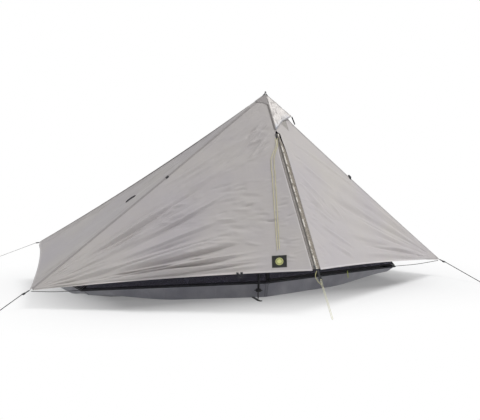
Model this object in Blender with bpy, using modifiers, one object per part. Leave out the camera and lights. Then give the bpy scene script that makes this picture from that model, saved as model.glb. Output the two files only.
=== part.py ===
"""One-person pyramid tent: a single-wall canopy over one trekking pole, with a zipped porch,
mesh walls, a bathtub floor and six pegged guylines.

Lengths are in metres and +Z is up. The porch faces -Y and the tent's length runs along X.
The origin is the middle of the floor's underside.
"""

import math

import bmesh
import bpy
from mathutils import Matrix, Vector

# Clearances shared by all the pieces
TOUCH_GAP = 0.0004
SEAM_INSET = 0.0008
SEAM_GAP = 0.0006
FOLD_INSET = 0.0004
MERGE = 0.000001

# Canopy: peak, corners and hem points
PEAK_HEIGHT = 1.250
PEAK_FORWARD = 0.660
FRONT_CORNER_SPAN = 1.428
FRONT_CORNER_FORWARD = 0.436
FRONT_CORNER_HEIGHT = 0.110
REAR_CORNER_SPAN = 1.102
REAR_CORNER_BACK = 0.487
REAR_CORNER_HEIGHT = 0.260
PORCH_FORWARD = 1.326
PORCH_HEIGHT = 0.259
REAR_POINT_BACK = 0.820
REAR_POINT_HEIGHT = 0.200

# Canopy cloth, its hems, its slack and its folds
CLOTH = 0.0010
CORNER_TRIM = 0.020
TOP_TRIM = 0.060
PEAK_TRIM = 0.008
DOOR_HEM_CUT = 0.014
END_HEM_CUT = 0.035
REAR_HEM_CUT = 0.040
FRONT_LEFT_RIDGE_SAG = 0.004
FRONT_RIGHT_RIDGE_SAG = 0.030
REAR_LEFT_RIDGE_SAG = 0.026
REAR_RIGHT_RIDGE_SAG = 0.026
REAR_MIDDLE_RIDGE_SAG = 0.018
DOOR_SLACK = 0.010
END_SLACK = 0.018
REAR_SLACK = 0.020
DOOR_FOLD = 0.0065
END_FOLD = 0.0045
REAR_FOLD = 0.0050
DOOR_FOLD_COUNT = 5
END_FOLD_COUNT = 3
REAR_FOLD_COUNT = 3
DOOR_FOLD_REACH_SHARE = 0.84
EARLY_SAG_START_SHARE = 0.045
EARLY_SAG_END_SHARE = 0.150
PEAK_FLAT_SHARE = 0.072
PEAK_FULL_SHARE = 0.300
TAPE_RISE_SHARE = 0.040
ROUND_SHARE = 0.48
PATCH_RISE_SHARE = 1.14
RIM_RISE_SHARE = 0.76

# Porch zip: where it starts below the peak, its tapes, coil and slider
ZIP_TOP_DROP = 0.256
ZIP_TOP_MARGIN = 0.026
ZIP_FOOT_MARGIN = 0.012
LEFT_TAPE_WIDTH = 0.018
RIGHT_TAPE_WIDTH = 0.030
TAPE_THICKNESS = 0.0010
COIL_GAP = 0.0016
COIL_RADIUS = 0.0022
SLIDER_LENGTH = 0.014
SLIDER_WIDTH = 0.0080
SLIDER_PLATE = 0.0012
SLIDER_WEB = 0.0008
SLIDER_PARK = 0.016
PULL_LEAN = 0.12
MESH_PULL_LENGTH = 0.045
PULL_WIDTH = 0.0070
PULL_LENGTH = 0.024
PULL_THICKNESS = 0.0012
PULL_EYE_RADIUS = 0.0020
PULL_BAR_RADIUS = 0.0009
BAR_RISE = 0.0027

# Vent: window under the hood, hood and strut
VENT_COLUMN_COUNT = 18
VENT_FIRST_ROW_COUNT = 1
VENT_LAST_ROW_COUNT = 2
TOP_COLUMN_COUNT = 20
TOP_ROW_COUNT = 5
HOOD_TIP_ALONG_RIDGE = 0.252
HOOD_TIP_RISE = 0.016
HOOD_LIFT = 0.0024
HOOD_TRIM = 0.024
HOOD_LIP = 0.016
HOOD_WRINKLE = 0.0022
HOOD_WRINKLE_COUNT = 3
STRUT_WIDTH = 0.0070
STRUT_THICKNESS = 0.0026
STRUT_LEAN = 0.016

# Peak: outer patch, loop, pocket over the pole's grip
PEAK_PATCH_REACH = 0.080
PEAK_PATCH_HOLE = 0.010
PEAK_PATCH_THICKNESS = 0.0008
PATCH_GAP = 0.0009
PEAK_LOOP_WIDTH = 0.008
PEAK_LOOP_HALF = 0.0030
PEAK_LOOP_RISE = 0.0145
PEAK_LOOP_FLANGE = 0.018
WEBBING = 0.0016
POCKET_WALL = 0.0012
POCKET_DEPTH = 0.045
POCKET_DROP = 0.049

# Ties, badge and door loop sewn to the canopy
RIDGE_TIE_SHARES = {-1: 0.425, 1: 0.455}
RIDGE_TIE_GAP = 0.0004
TIE_GAP = 0.0007
RIDGE_TIE_LENGTH = 0.026
RIDGE_TIE_WIDTH = 0.020
END_TIE_LENGTH = 0.075
END_TIE_WIDTH = 0.014
END_TIE_ACROSS_SHARE = 0.49
END_TIE_SHARE = 0.585
END_TIE_SKEW_SHARE = 0.03
BADGE_WIDTH = 0.088
BADGE_HEIGHT = 0.076
BADGE_FROM_ZIP = 0.150
BADGE_FROM_HEM = 0.064
BADGE_THICKNESS = 0.0012
HEM_TIE_SHARE = 0.745
HEM_TIE_LENGTH = 0.022
HEM_TIE_LAP = 0.008
HEM_TIE_WIDTH = 0.034
HEM_TIE_NARROW = 0.012
DOOR_LOOP_LENGTH = 0.036
DOOR_LOOP_WIDTH = 0.008
DOOR_LOOP_EDGE = 0.0035
DOOR_LOOP_DROP = 0.046
DOOR_LOOP_THICKNESS = 0.0020
DOOR_LOOP_EYE = 0.0028
TIE_CORD_STANDOFF = 0.0016
TIE_CORD_STEPS = 6
TIE_CORD_TOP = 0.160
TIE_CORD_FOOT = 0.700
TIE_CORD_TOP_ASIDE = 0.042
TIE_CORD_FOOT_ASIDE = 0.140
TIE_CORD_TOP_APART = 0.018
TIE_CORD_FOOT_APART = 0.012
TIE_CORD_TURN = 0.006
TIE_CORD_KNOTS = {-1: ((-0.030, 0.115), (-0.022, 0.076)), 1: ((-0.020, 0.115), (-0.0115, 0.076))}

# Corner straps, buckles, pegs and cords
STRAP_WIDTH = 0.014
STRAP_LENGTH = 0.034
BUCKLE_LENGTH = 0.020
BUCKLE_WIDTH = 0.022
BUCKLE_THICKNESS = 0.0040
BUCKLE_SLOT = 0.0042
BUCKLE_SLOT_WIDTH = 0.0152
BUCKLE_CORD_SLOT_WIDTH = 0.0130
BUCKLE_CORNER = 0.003
BUCKLE_BAR = 0.0036
STRAP_STARTS = {
    "front_left": 0.0006,
    "front_right": 0.0008,
    "rear_left": 0.0020,
    "rear_right": 0.0020,
    "rear": 0.0004,
}
STRAP_BITE = 0.0004
GUY_EYE_LENGTH = 0.030
PORCH_STRAP_ASIDE = 0.012
PORCH_STRAP_GAP = 0.0009
PORCH_BUCKLE_DROP = 0.050
PORCH_CORD_APART = 0.008
PORCH_BOW = (
    (0.010, -0.0088),
    (0.020, -0.016),
    (0.040, -0.027),
    (0.066, -0.024),
    (0.086, -0.013),
    (0.094, -0.0070),
)
GUY_RADIUS = 0.00125
TIE_CORD_RADIUS = 0.00125
FLOOR_CORD_RADIUS = 0.0015
GUY_EYE_RADIUS = 0.0060
GUY_TURN_HEIGHT = 0.0024

# Bathtub floor
FLOOR_SHEET = 0.0012
FLOOR_FRONT_POINT = 0.671
FLOOR_REAR_POINT = 0.600
FLOOR_HALF_LENGTH = 1.050
FLOOR_FRONT_CORNER = 0.380
FLOOR_REAR_CORNER = 0.370
FLOOR_POINT_RIM = 0.095
FRONT_CORNER_RIM = 0.082
REAR_CORNER_RIM = 0.090
FLOOR_CORNER_LIFT = 0.045
RIM_LEAN_OUT = 0.050
RIM_LEAN_FORWARD = 0.022
SIDE_STEPS = 6
FLAT_RING_SHARE = 0.62
LIFT_RING_SHARE = 0.84
LIFT_RING_RISE_SHARE = 0.25
LIFT_STEPS = 3
FLOOR_CORD_DROP = 0.0010
FLOOR_CORD_STARTS = {"front": 0.0008, "rear": 0.0012}
FLOOR_CORD_ASIDES = {"front": 0.0, "rear": 0.0018}
FLOOR_CORD_END = 0.010
FLOOR_CORD_UNDER = 0.006
FLOOR_CORD_SAG = 0.006

# Mesh walls and the inner zip
MESH = 0.0008
MESH_PEAK_DROP = 0.100
MESH_PEAK_SETBACK = 0.030
MESH_TRIM = 0.030
MESH_SEAM = 0.0012
TRACK_WIDTH = 0.009
TRACK_THICKNESS = 0.0022
TRACK_DROP = 0.0004
TRACK_ARM = 0.850
TRACK_SHARE = 0.88
MESH_SLIDER_SHARE = 0.60

# Trekking pole, tip down
POLE_FOOT_X = -0.095
POLE_FOOT_FORWARD = 0.760
POLE_LIFT = 0.0008
GRIP_SWELL_SHARE = 0.72
LOWER_SHAFT_RADIUS = 0.0068
SHAFT_WALL = 0.0008
SHAFT_RUNNING_GAP = 0.0004
TIP_LENGTH = 0.058
TIP_POINT_RADIUS = 0.0022
TIP_POINT_LENGTH = 0.014
TIP_NECK_RADIUS = 0.0048
BASKET_HEIGHT = 0.062
BASKET_RADIUS = 0.025
BASKET_THICKNESS = 0.0028
BASKET_HUB_HEIGHT = 0.011
BASKET_HUB_WALL = 0.0030
BASKET_HOLE_RADIUS = 0.0042
BASKET_HOLES = 6
MIDDLE_SHAFT_SHOWN = 0.380
UPPER_SHAFT_REACH = 0.358
SHAFT_OVERLAP = 0.075
GRIP_LENGTH = 0.170
GRIP_RADIUS = 0.0150
GRIP_WAIST_RADIUS = 0.0128
GRIP_HEAD_RADIUS = 0.0172
GRIP_CAP = 0.030
COLLAR_HEIGHT = 0.040
COLLAR_WALL = 0.0036
COLLAR_SHOULDER = 0.010
COLLAR_RIBS = 12
COLLAR_RIB_RISE = 0.0006

# Foot strap
FOOT_STRAP_WIDTH = 0.018
FOOT_STRAP_TAIL = 0.034
FOOT_STRAP_EDGE_X = 0.080
FOOT_STRAP_START = 0.0012
FOOT_STRAP_CURL = 0.010
FOOT_STRAP_HOLE = 0.0030

# Points on the centre line and at the corners
PEAK = Vector((0.0, -PEAK_FORWARD, PEAK_HEIGHT))
PORCH_POINT = Vector((0.0, -PORCH_FORWARD, PORCH_HEIGHT))
REAR_POINT = Vector((0.0, REAR_POINT_BACK, REAR_POINT_HEIGHT))
PORCH_LINE = (PORCH_POINT - PEAK).normalized()
ZIP_TOP = PEAK + PORCH_LINE * ZIP_TOP_DROP
ACROSS = Vector((1.0, 0.0, 0.0))
UP = Vector((0.0, 0.0, 1.0))
ZIP_OUTWARD = PORCH_LINE.cross(ACROSS).normalized()
LEFT = -1
RIGHT = 1
SIDES = {"left": LEFT, "right": RIGHT}

# Where the guylines are pegged to the ground
PEG_PLACES = {
    "front_left": Vector((-1.678, -0.513, 0.0)),
    "front_right": Vector((1.500, -0.880, 0.0)),
    "rear_left": Vector((-1.140, 1.600, 0.0)),
    "rear_right": Vector((1.140, 1.600, 0.0)),
    "rear": Vector((0.0, 1.350, 0.0)),
    "porch": Vector((0.030, -1.470, 0.0)),
}


def front_corner(side):
    """Canopy corner beside the porch."""
    return Vector((side * FRONT_CORNER_SPAN, -FRONT_CORNER_FORWARD, FRONT_CORNER_HEIGHT))


def rear_corner(side):
    """Canopy corner behind the sleeper."""
    return Vector((side * REAR_CORNER_SPAN, REAR_CORNER_BACK, REAR_CORNER_HEIGHT))


def clear_scene():
    """Removes whatever the scene holds."""
    for obj in list(bpy.data.objects):
        bpy.data.objects.remove(obj, do_unlink=True)


def make_collection(name, hidden=False):
    """A collection under the scene's own."""
    group = bpy.data.collections.new(name)
    group.hide_render = hidden
    bpy.context.scene.collection.children.link(group)
    return group


def make_material(name, colour, roughness, metallic=0.0, alpha=1.0):
    """A plain Principled material."""
    material = bpy.data.materials.new(name)
    material.use_nodes = True
    shader = material.node_tree.nodes["Principled BSDF"]
    shader.inputs["Base Color"].default_value = (*colour, 1.0)
    shader.inputs["Roughness"].default_value = roughness
    shader.inputs["Metallic"].default_value = metallic
    shader.inputs["Alpha"].default_value = alpha
    return material


clear_scene()
PARTS = make_collection("pyramid_tent")
CUTTERS = make_collection("pyramid_tent_cutters", hidden=True)


def canopy_cloth(name):
    """Warm light-grey coated nylon."""
    return make_material(name, (0.46, 0.44, 0.42), 0.5)


def floor_cloth(name):
    """Darker grey floor nylon."""
    return make_material(name, (0.18, 0.18, 0.19), 0.55)


def mesh_cloth(name):
    """Dark insect mesh."""
    return make_material(name, (0.035, 0.034, 0.045), 0.8, alpha=0.6)


def black_webbing(name):
    """Black woven tape."""
    return make_material(name, (0.02, 0.02, 0.022), 0.8)


def black_plastic(name):
    """Black moulded plastic."""
    return make_material(name, (0.025, 0.025, 0.027), 0.45)


def pale_cord(name):
    """Pale yellow-green guy cord."""
    return make_material(name, (0.62, 0.66, 0.36), 0.75)


def dark_cord(name):
    """Grey-black guy cord."""
    return make_material(name, (0.05, 0.05, 0.055), 0.75)


def anodised(name):
    """Anodised aluminium tube."""
    return make_material(name, (0.12, 0.12, 0.13), 0.35, metallic=0.9)


def bare_metal(name):
    """Bright metal."""
    return make_material(name, (0.55, 0.55, 0.56), 0.3, metallic=1.0)


def add_object(name, mesh, material):
    """A named mesh object in the tent's collection."""
    mesh.materials.clear()
    mesh.materials.append(material)
    obj = bpy.data.objects.new(name, mesh)
    PARTS.objects.link(obj)
    return obj


def hang_on(pivot, *objects):
    """Parents the objects to an empty without moving them."""
    bpy.context.view_layer.update()
    for obj in objects:
        obj.parent = pivot
        obj.matrix_parent_inverse = pivot.matrix_world.inverted()


def make_pivot(name, place, frame=None):
    """An empty that stands on a joint's axis."""
    pivot = bpy.data.objects.new(name, None)
    pivot.empty_display_size = PEAK_LOOP_RISE
    pivot.matrix_world = Matrix.Translation(place) @ (frame.to_4x4() if frame else Matrix())
    PARTS.objects.link(pivot)
    return pivot


def frame_of(x_axis, y_axis, z_axis, origin):
    """World matrix with the given unit axes at a place."""
    turn = Matrix((x_axis, y_axis, z_axis)).transposed()
    return Matrix.Translation(origin) @ turn.to_4x4()


def face_outward(bm, outward):
    """Turns every face so that the surface as a whole looks along a direction."""
    bm.normal_update()
    looks = sum((face.normal * face.calc_area() for face in bm.faces), Vector())
    if looks.dot(outward) < 0.0:
        bmesh.ops.reverse_faces(bm, faces=bm.faces[:])


def sheet(name, place, columns, rows, thickness, material, outward, window=None):
    """A cloth: a grid laid by place(p, q), its thickness on the side away from outward.

    A window of (first column, last column, first row, last row) is left out of it.
    """
    bm = bmesh.new()
    bmesh.ops.create_grid(bm, x_segments=columns, y_segments=rows, size=0.5)
    if window:
        first_column, last_column, first_row, last_row = window
        inside = []
        for face in bm.faces:
            middle = face.calc_center_median()
            column = int((middle.x + 0.5) * columns)
            row = int((middle.y + 0.5) * rows)
            if first_column <= column <= last_column and first_row <= row <= last_row:
                inside.append(face)
        bmesh.ops.delete(bm, geom=inside, context="FACES")
    for vert in bm.verts:
        vert.co = place(vert.co.x + 0.5, vert.co.y + 0.5)
    face_outward(bm, outward)
    mesh = bpy.data.meshes.new(name)
    bm.to_mesh(mesh)
    bm.free()
    obj = add_object(name, mesh, material)
    wall = obj.modifiers.new("cloth", "SOLIDIFY")
    wall.thickness = thickness
    wall.offset = -1.0
    return obj


def evaluated_mesh(obj):
    """The object's mesh with its modifiers and bevels worked out, in its own frame."""
    graph = bpy.context.evaluated_depsgraph_get()
    return bpy.data.meshes.new_from_object(obj.evaluated_get(graph))


def as_mesh(obj, collection=None):
    """The same solid as a mesh object, with its caps welded."""
    mesh = evaluated_mesh(obj)
    bm = bmesh.new()
    bm.from_mesh(mesh)
    bmesh.ops.remove_doubles(bm, verts=bm.verts[:], dist=MERGE)
    bmesh.ops.recalc_face_normals(bm, faces=bm.faces[:])
    bm.to_mesh(mesh)
    bm.free()
    name = obj.name
    world = obj.matrix_world.copy()
    bpy.data.objects.remove(obj, do_unlink=True)
    made = bpy.data.objects.new(name, mesh)
    made.matrix_world = world
    (collection or PARTS).objects.link(made)
    return made


def tube(name, points, radius, material, resolution=2):
    """A round cord along points, with filled ends."""
    curve = bpy.data.curves.new(name, "CURVE")
    curve.dimensions = "3D"
    curve.bevel_depth = radius
    curve.bevel_resolution = resolution
    curve.use_fill_caps = True
    spline = curve.splines.new("POLY")
    spline.points.add(len(points) - 1)
    for knot, point in zip(spline.points, points):
        knot.co = (*point, 1.0)
    curve.materials.append(material)
    obj = bpy.data.objects.new(name, curve)
    PARTS.objects.link(obj)
    return obj


def smooth_route(points, steps):
    """Points on a smooth curve through a cord's own points, with steps from each to the next."""
    knots = [Vector(point) for point in points]
    ends = [2 * knots[0] - knots[1], *knots, 2 * knots[-1] - knots[-2]]
    route = []
    for before, start, end, after in zip(ends, ends[1:], ends[2:], ends[3:]):
        for step in range(steps):
            t = step / steps
            route.append(
                0.5
                * (
                    2 * start
                    + (end - before) * t
                    + (2 * before - 5 * start + 4 * end - after) * t**2
                    + (3 * start - before - 3 * end + after) * t**3
                )
            )
    return [*route, knots[-1]]


def plate(name, outlines, thickness, material, place):
    """A flat piece of the given outlines in its own XY plane; the second outline on are holes."""
    curve = bpy.data.curves.new(name, "CURVE")
    curve.dimensions = "2D"
    curve.fill_mode = "BOTH"
    curve.extrude = thickness / 2
    for outline in outlines:
        spline = curve.splines.new("POLY")
        spline.points.add(len(outline) - 1)
        spline.use_cyclic_u = True
        for knot, (x, y) in zip(spline.points, outline):
            knot.co = (x, y, 0.0, 1.0)
    curve.materials.append(material)
    obj = bpy.data.objects.new(name, curve)
    obj.matrix_world = place
    PARTS.objects.link(obj)
    return obj


def rounded_box_outline(width, length, corner, steps=3):
    """A rectangle with round corners, counter-clockwise."""
    points = []
    for turn, (sx, sy) in enumerate(((1, 1), (-1, 1), (-1, -1), (1, -1))):
        for step in range(steps + 1):
            angle = math.pi / 2 * (turn + step / steps)
            points.append(
                (
                    sx * (width / 2 - corner) + corner * math.cos(angle),
                    sy * (length / 2 - corner) + corner * math.sin(angle),
                )
            )
    return points


def circle_outline(radius, x=0.0, y=0.0, steps=12):
    """A circle of points, counter-clockwise."""
    return [
        (x + radius * math.cos(2 * math.pi * k / steps), y + radius * math.sin(2 * math.pi * k / steps))
        for k in range(steps)
    ]


def turned(name, profile, material, steps=16):
    """A turned piece: a closed profile of (radius, height), outer side first going down."""
    mesh = bpy.data.meshes.new(name)
    bm = bmesh.new()
    verts = [bm.verts.new((radius, 0.0, height)) for radius, height in profile]
    on_axis = profile[0][0] == 0.0 and profile[-1][0] == 0.0
    ends = verts[1:] if on_axis else [*verts[1:], verts[0]]
    for first, second in zip(verts, ends):
        bm.edges.new((first, second))
    bm.to_mesh(mesh)
    bm.free()
    obj = add_object(name, mesh, material)
    screw = obj.modifiers.new("turn", "SCREW")
    screw.axis = "Z"
    screw.steps = steps
    screw.render_steps = steps
    screw.use_merge_vertices = True
    screw.merge_threshold = MERGE
    screw.use_smooth_shade = True
    return obj


def box(name, size, material, place, collection=None):
    """A box of the given size about its middle."""
    mesh = bpy.data.meshes.new(name)
    bm = bmesh.new()
    bmesh.ops.create_cube(bm, size=1.0)
    bmesh.ops.scale(bm, vec=Vector(size), verts=bm.verts[:])
    bm.to_mesh(mesh)
    bm.free()
    if material:
        mesh.materials.append(material)
    obj = bpy.data.objects.new(name, mesh)
    obj.matrix_world = place
    (collection or PARTS).objects.link(obj)
    return obj


def rod(name, radius, length, place, steps=16, collection=None):
    """A cylinder about its middle, along its own Z."""
    mesh = bpy.data.meshes.new(name)
    bm = bmesh.new()
    bmesh.ops.create_cone(
        bm, cap_ends=True, segments=steps, radius1=radius, radius2=radius, depth=length
    )
    bm.to_mesh(mesh)
    bm.free()
    obj = bpy.data.objects.new(name, mesh)
    obj.matrix_world = place
    (collection or PARTS).objects.link(obj)
    return obj


def combine(target, tool, operation):
    """Joins a solid to the target, or cuts it away, and leaves one plain mesh."""
    step = target.modifiers.new(operation.lower(), "BOOLEAN")
    step.object = tool
    step.operation = operation
    step.solver = "EXACT"
    bpy.context.view_layer.update()
    mesh = evaluated_mesh(target)
    target.modifiers.clear()
    target.data = mesh
    bpy.data.objects.remove(tool, do_unlink=True)


def smooth_step(value, low, high):
    """Rises from 0 to 1 between low and high with flat ends."""
    t = min(1.0, max(0.0, (value - low) / (high - low)))
    return t * t * (3.0 - 2.0 * t)


def even_sag(t):
    """Sag of a slack ridge, 0 at its ends and 1 in the middle; t runs from peak to corner."""
    return 4.0 * t * (1.0 - t)


def early_sag(t):
    """Sag of a ridge that drops soon after the peak and straightens towards the corner."""
    return smooth_step(t, EARLY_SAG_START_SHARE, EARLY_SAG_END_SHARE) * (1.0 - t * t)


RIDGE_SAGS = {
    ("front", LEFT): (FRONT_LEFT_RIDGE_SAG, even_sag),
    ("front", RIGHT): (FRONT_RIGHT_RIDGE_SAG, early_sag),
    ("rear", LEFT): (REAR_LEFT_RIDGE_SAG, even_sag),
    ("rear", RIGHT): (REAR_RIGHT_RIDGE_SAG, even_sag),
    ("middle", 0): (REAR_MIDDLE_RIDGE_SAG, even_sag),
}
RIDGE_ENDS = {
    ("front", LEFT): front_corner(LEFT),
    ("front", RIGHT): front_corner(RIGHT),
    ("rear", LEFT): rear_corner(LEFT),
    ("rear", RIGHT): rear_corner(RIGHT),
    ("middle", 0): REAR_POINT,
}
FRONT_RIDGE_LENGTH = (front_corner(LEFT) - PEAK).length
TOP_REACH_SHARE = 1.0 - TOP_TRIM / FRONT_RIDGE_LENGTH
FRONT_STOPS = [TOP_REACH_SHARE * k / TOP_COLUMN_COUNT for k in range(TOP_COLUMN_COUNT + 1)] + [1.0]


def ridge_drop(ridge, t):
    """How far a ridge hangs below its straight line at share t of its length."""
    depth, shape = RIDGE_SAGS[ridge]
    return depth * shape(t)


def ridge_spot(ridge, t):
    """The point at share t of a slack ridge."""
    return PEAK.lerp(RIDGE_ENDS[ridge], t) - UP * ridge_drop(ridge, t)


def inset_corner(vertex, edge_a, edge_b, from_a, from_b):
    """The point inside a corner at the given distances from its two edges."""
    sine = edge_a.cross(edge_b).length
    return vertex + edge_a * (from_b / sine) + edge_b * (from_a / sine)


class Panel:
    """A three-cornered cloth spanned by lines that fan out from its tip.

    p runs along a line from the tip to the far edge, and q across the fan from the first
    corner to the last. insets are the distances kept from the first edge, the last edge and
    the far edge. form(p, q) gives (along the outward normal, towards the tip, down). The
    cloth's knots stand at the stops along p and at even rows along q.
    """

    def __init__(self, tip, first, last, trim, insets, outward, form, columns, rows, stops=None):
        from_first, from_last, from_far = insets
        a = (first - tip).normalized()
        b = (last - tip).normalized()
        c = (last - first).normalized()
        off_a = (b - a * a.dot(b)).normalized()
        off_b = (a - b * a.dot(b)).normalized()
        self.normal = a.cross(b).normalized()
        if self.normal.dot(outward) < 0.0:
            self.normal = -self.normal
        self.near = (tip + a * trim + off_a * from_first, tip + b * trim + off_b * from_last)
        self.far = (
            inset_corner(first, -a, c, from_first, from_far),
            inset_corner(last, -b, -c, from_last, from_far),
        )
        self.tip = tip
        self.form = form
        self.rows = rows
        self.stops = stops or [k / columns for k in range(columns + 1)]
        self.columns = len(self.stops) - 1
        self.known = {}

    def flat(self, p, q):
        """The place on the cloth as if it were pulled flat."""
        near = self.near[0].lerp(self.near[1], q)
        far = self.far[0].lerp(self.far[1], q)
        return near.lerp(far, p)

    def place(self, p, q):
        """The place on the cloth's outer face."""
        spot = self.flat(p, q)
        out, back, down = self.form(p, q)
        return spot + self.normal * out + (self.tip - spot).normalized() * back - UP * down

    def knot(self, column, row):
        """A corner of one of the cloth's facets."""
        if (column, row) not in self.known:
            self.known[column, row] = self.place(self.stops[column], row / self.rows)
        return self.known[column, row]

    def cloth(self, p, q, height=0.0):
        """A place at a height above the cloth's facets."""
        column = sum(1 for stop in self.stops[1:-1] if stop <= p)
        row = max(0, min(int(q * self.rows), self.rows - 1))
        width = self.stops[column + 1] - self.stops[column]
        along = (p - self.stops[column]) / width
        across = q * self.rows - row
        low = self.knot(column, row).lerp(self.knot(column + 1, row), along)
        high = self.knot(column, row + 1).lerp(self.knot(column + 1, row + 1), along)
        return low.lerp(high, across) + self.normal * height


def outward_face(a, b, c):
    """Unit normal of the flat face through three points, on its upper side."""
    normal = (b - a).cross(c - a).normalized()
    return normal if normal.z > 0.0 else -normal


FRONT_FACES = {side: outward_face(PEAK, front_corner(side), PORCH_POINT) for side in (LEFT, RIGHT)}
END_FACES = {side: outward_face(PEAK, front_corner(side), rear_corner(side)) for side in (LEFT, RIGHT)}
REAR_FACES = {side: outward_face(PEAK, rear_corner(side), REAR_POINT) for side in (LEFT, RIGHT)}


def seam_inset(face, neighbour):
    """How far a cloth ends from a seam so that its inner edge clears the neighbour's."""
    turn = face.angle(neighbour) / 2
    return (SEAM_GAP / 2 + CLOTH * math.sin(turn)) / math.cos(turn)


CENTRE_SEAM = seam_inset(FRONT_FACES[LEFT], FRONT_FACES[RIGHT])
FRONT_SEAM = seam_inset(FRONT_FACES[LEFT], END_FACES[LEFT])
REAR_SEAM = seam_inset(END_FACES[LEFT], REAR_FACES[LEFT])
MIDDLE_SEAM = seam_inset(REAR_FACES[LEFT], REAR_FACES[RIGHT]) + SEAM_GAP / 2
TAPE_WIDTHS = {LEFT: LEFT_TAPE_WIDTH, RIGHT: RIGHT_TAPE_WIDTH}
FRONT_FACE_NORMAL = (ZIP_TOP - front_corner(LEFT)).cross(PORCH_LINE).normalized()
TAPE_TURN_COS = abs(FRONT_FACE_NORMAL.dot(ZIP_OUTWARD))
TAPE_TURN_SIN = math.sqrt(1.0 - TAPE_TURN_COS**2)


def beside_zip(side):
    """How far from the zip's middle a door's cloth ends, across the zip."""
    return TAPE_WIDTHS[side] + 2 * TOUCH_GAP + CLOTH * TAPE_TURN_SIN


def door_form(side):
    """Radial folds from the corner, a cut hem and a little slack; the zip edge stays straight."""

    def form(p, q):
        reach = math.sin(math.pi * min(1.0, p / DOOR_FOLD_REACH_SHARE))
        folds = DOOR_FOLD * reach * math.sin(2 * math.pi * DOOR_FOLD_COUNT * q)
        slack = DOOR_SLACK * math.sin(math.pi * p) * math.sin(math.pi * q)
        hem = DOOR_HEM_CUT * 4.0 * p * (1.0 - p) * q**3
        tape = beside_zip(side) * TAPE_TURN_SIN * p * smooth_step(q, 0.0, TAPE_RISE_SHARE)
        return folds - slack + tape, 0.0, -hem

    return form


def top_form(ridge):
    """The fixed cloth above the door follows its ridge and is straight at the door's fold line."""

    def form(p, q):
        return 0.0, 0.0, ridge_drop(ridge, (1.0 - p) * TOP_REACH_SHARE) * (1.0 - q)

    return form


def end_form(side):
    """The end cloth follows both ridges, with slack, long folds from the peak and a cut hem."""

    def form(p, q):
        drop = ridge_drop(("front", side), p) * (1.0 - q) + ridge_drop(("rear", side), p) * q
        swell = math.sin(math.pi * p) * smooth_step(p, PEAK_FLAT_SHARE, PEAK_FULL_SHARE)
        folds = END_FOLD * swell * math.sin(2 * math.pi * END_FOLD_COUNT * q)
        slack = END_SLACK * swell * math.sin(math.pi * q)
        hem = END_HEM_CUT * 4.0 * q * (1.0 - q) * p**3
        return folds - slack, hem, drop

    return form


def rear_form(side):
    """The rear cloth follows the rear corner's ridge and the middle ridge."""

    def form(p, q):
        drop = ridge_drop(("rear", side), p) * (1.0 - q) + ridge_drop(("middle", 0), p) * q
        swell = math.sin(math.pi * p) * smooth_step(p, PEAK_FLAT_SHARE, PEAK_FULL_SHARE)
        folds = REAR_FOLD * swell * math.sin(2 * math.pi * REAR_FOLD_COUNT * q)
        slack = REAR_SLACK * swell * math.sin(math.pi * q)
        hem = REAR_HEM_CUT * 4.0 * q * (1.0 - q) * p**3
        return folds - slack, hem, drop

    return form


def make_door_panel(side):
    """The zipped half of the porch, which folds back along the line from zip top to corner."""
    return Panel(
        front_corner(side),
        ZIP_TOP.copy(),
        PORCH_POINT.copy(),
        CORNER_TRIM,
        (FOLD_INSET, 0.0, beside_zip(side) * TAPE_TURN_COS),
        Vector((side, -1.0, 1.0)),
        door_form(side),
        12,
        20,
    )


def make_top_panel(side):
    """The fixed cloth between the ridge, the centre seam and the door's fold line."""
    return Panel(
        front_corner(side),
        PEAK.copy(),
        ZIP_TOP.copy(),
        TOP_TRIM,
        (FRONT_SEAM, FOLD_INSET, CENTRE_SEAM),
        Vector((side, -1.0, 1.0)),
        top_form(("front", side)),
        TOP_COLUMN_COUNT,
        TOP_ROW_COUNT,
    )


def make_end_panel(side):
    """The cloth at one end of the tent."""
    return Panel(
        PEAK.copy(),
        front_corner(side),
        rear_corner(side),
        PEAK_TRIM,
        (FRONT_SEAM, REAR_SEAM, 0.0),
        Vector((side, 0.0, 1.0)),
        end_form(side),
        0,
        12,
        FRONT_STOPS,
    )


def make_rear_panel(side):
    """One half of the rear wall."""
    return Panel(
        PEAK.copy(),
        rear_corner(side),
        REAR_POINT.copy(),
        PEAK_TRIM,
        (REAR_SEAM, MIDDLE_SEAM, 0.0),
        Vector((side, 1.0, 1.0)),
        rear_form(side),
        10,
        12,
    )


DOORS = {side: make_door_panel(side) for side in (LEFT, RIGHT)}
TOPS = {side: make_top_panel(side) for side in (LEFT, RIGHT)}
ENDS = {side: make_end_panel(side) for side in (LEFT, RIGHT)}
REARS = {side: make_rear_panel(side) for side in (LEFT, RIGHT)}


def panel_cloth(name, panel, thickness, material, window=None):
    """The sheet of a panel."""

    def place(u, q):
        return panel.knot(round(u * panel.columns), round(q * panel.rows))

    return sheet(
        name, place, panel.columns, panel.rows, thickness, material, panel.normal, window
    )


def build_canopy():
    """The eight cloth panels."""
    made = {}
    for word, side in SIDES.items():
        window = None
        if side == RIGHT:
            columns = (VENT_COLUMN_COUNT, VENT_COLUMN_COUNT)
            window = (*columns, VENT_FIRST_ROW_COUNT, VENT_LAST_ROW_COUNT)
        for kind, panel, hole in (
            ("door", DOORS[side], None),
            ("front_top", TOPS[side], window),
            ("end_panel", ENDS[side], None),
            ("rear_panel", REARS[side], None),
        ):
            name = f"{kind}_{word}"
            made[name] = panel_cloth(name, panel, CLOTH, canopy_cloth(name), hole)
    return made


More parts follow.
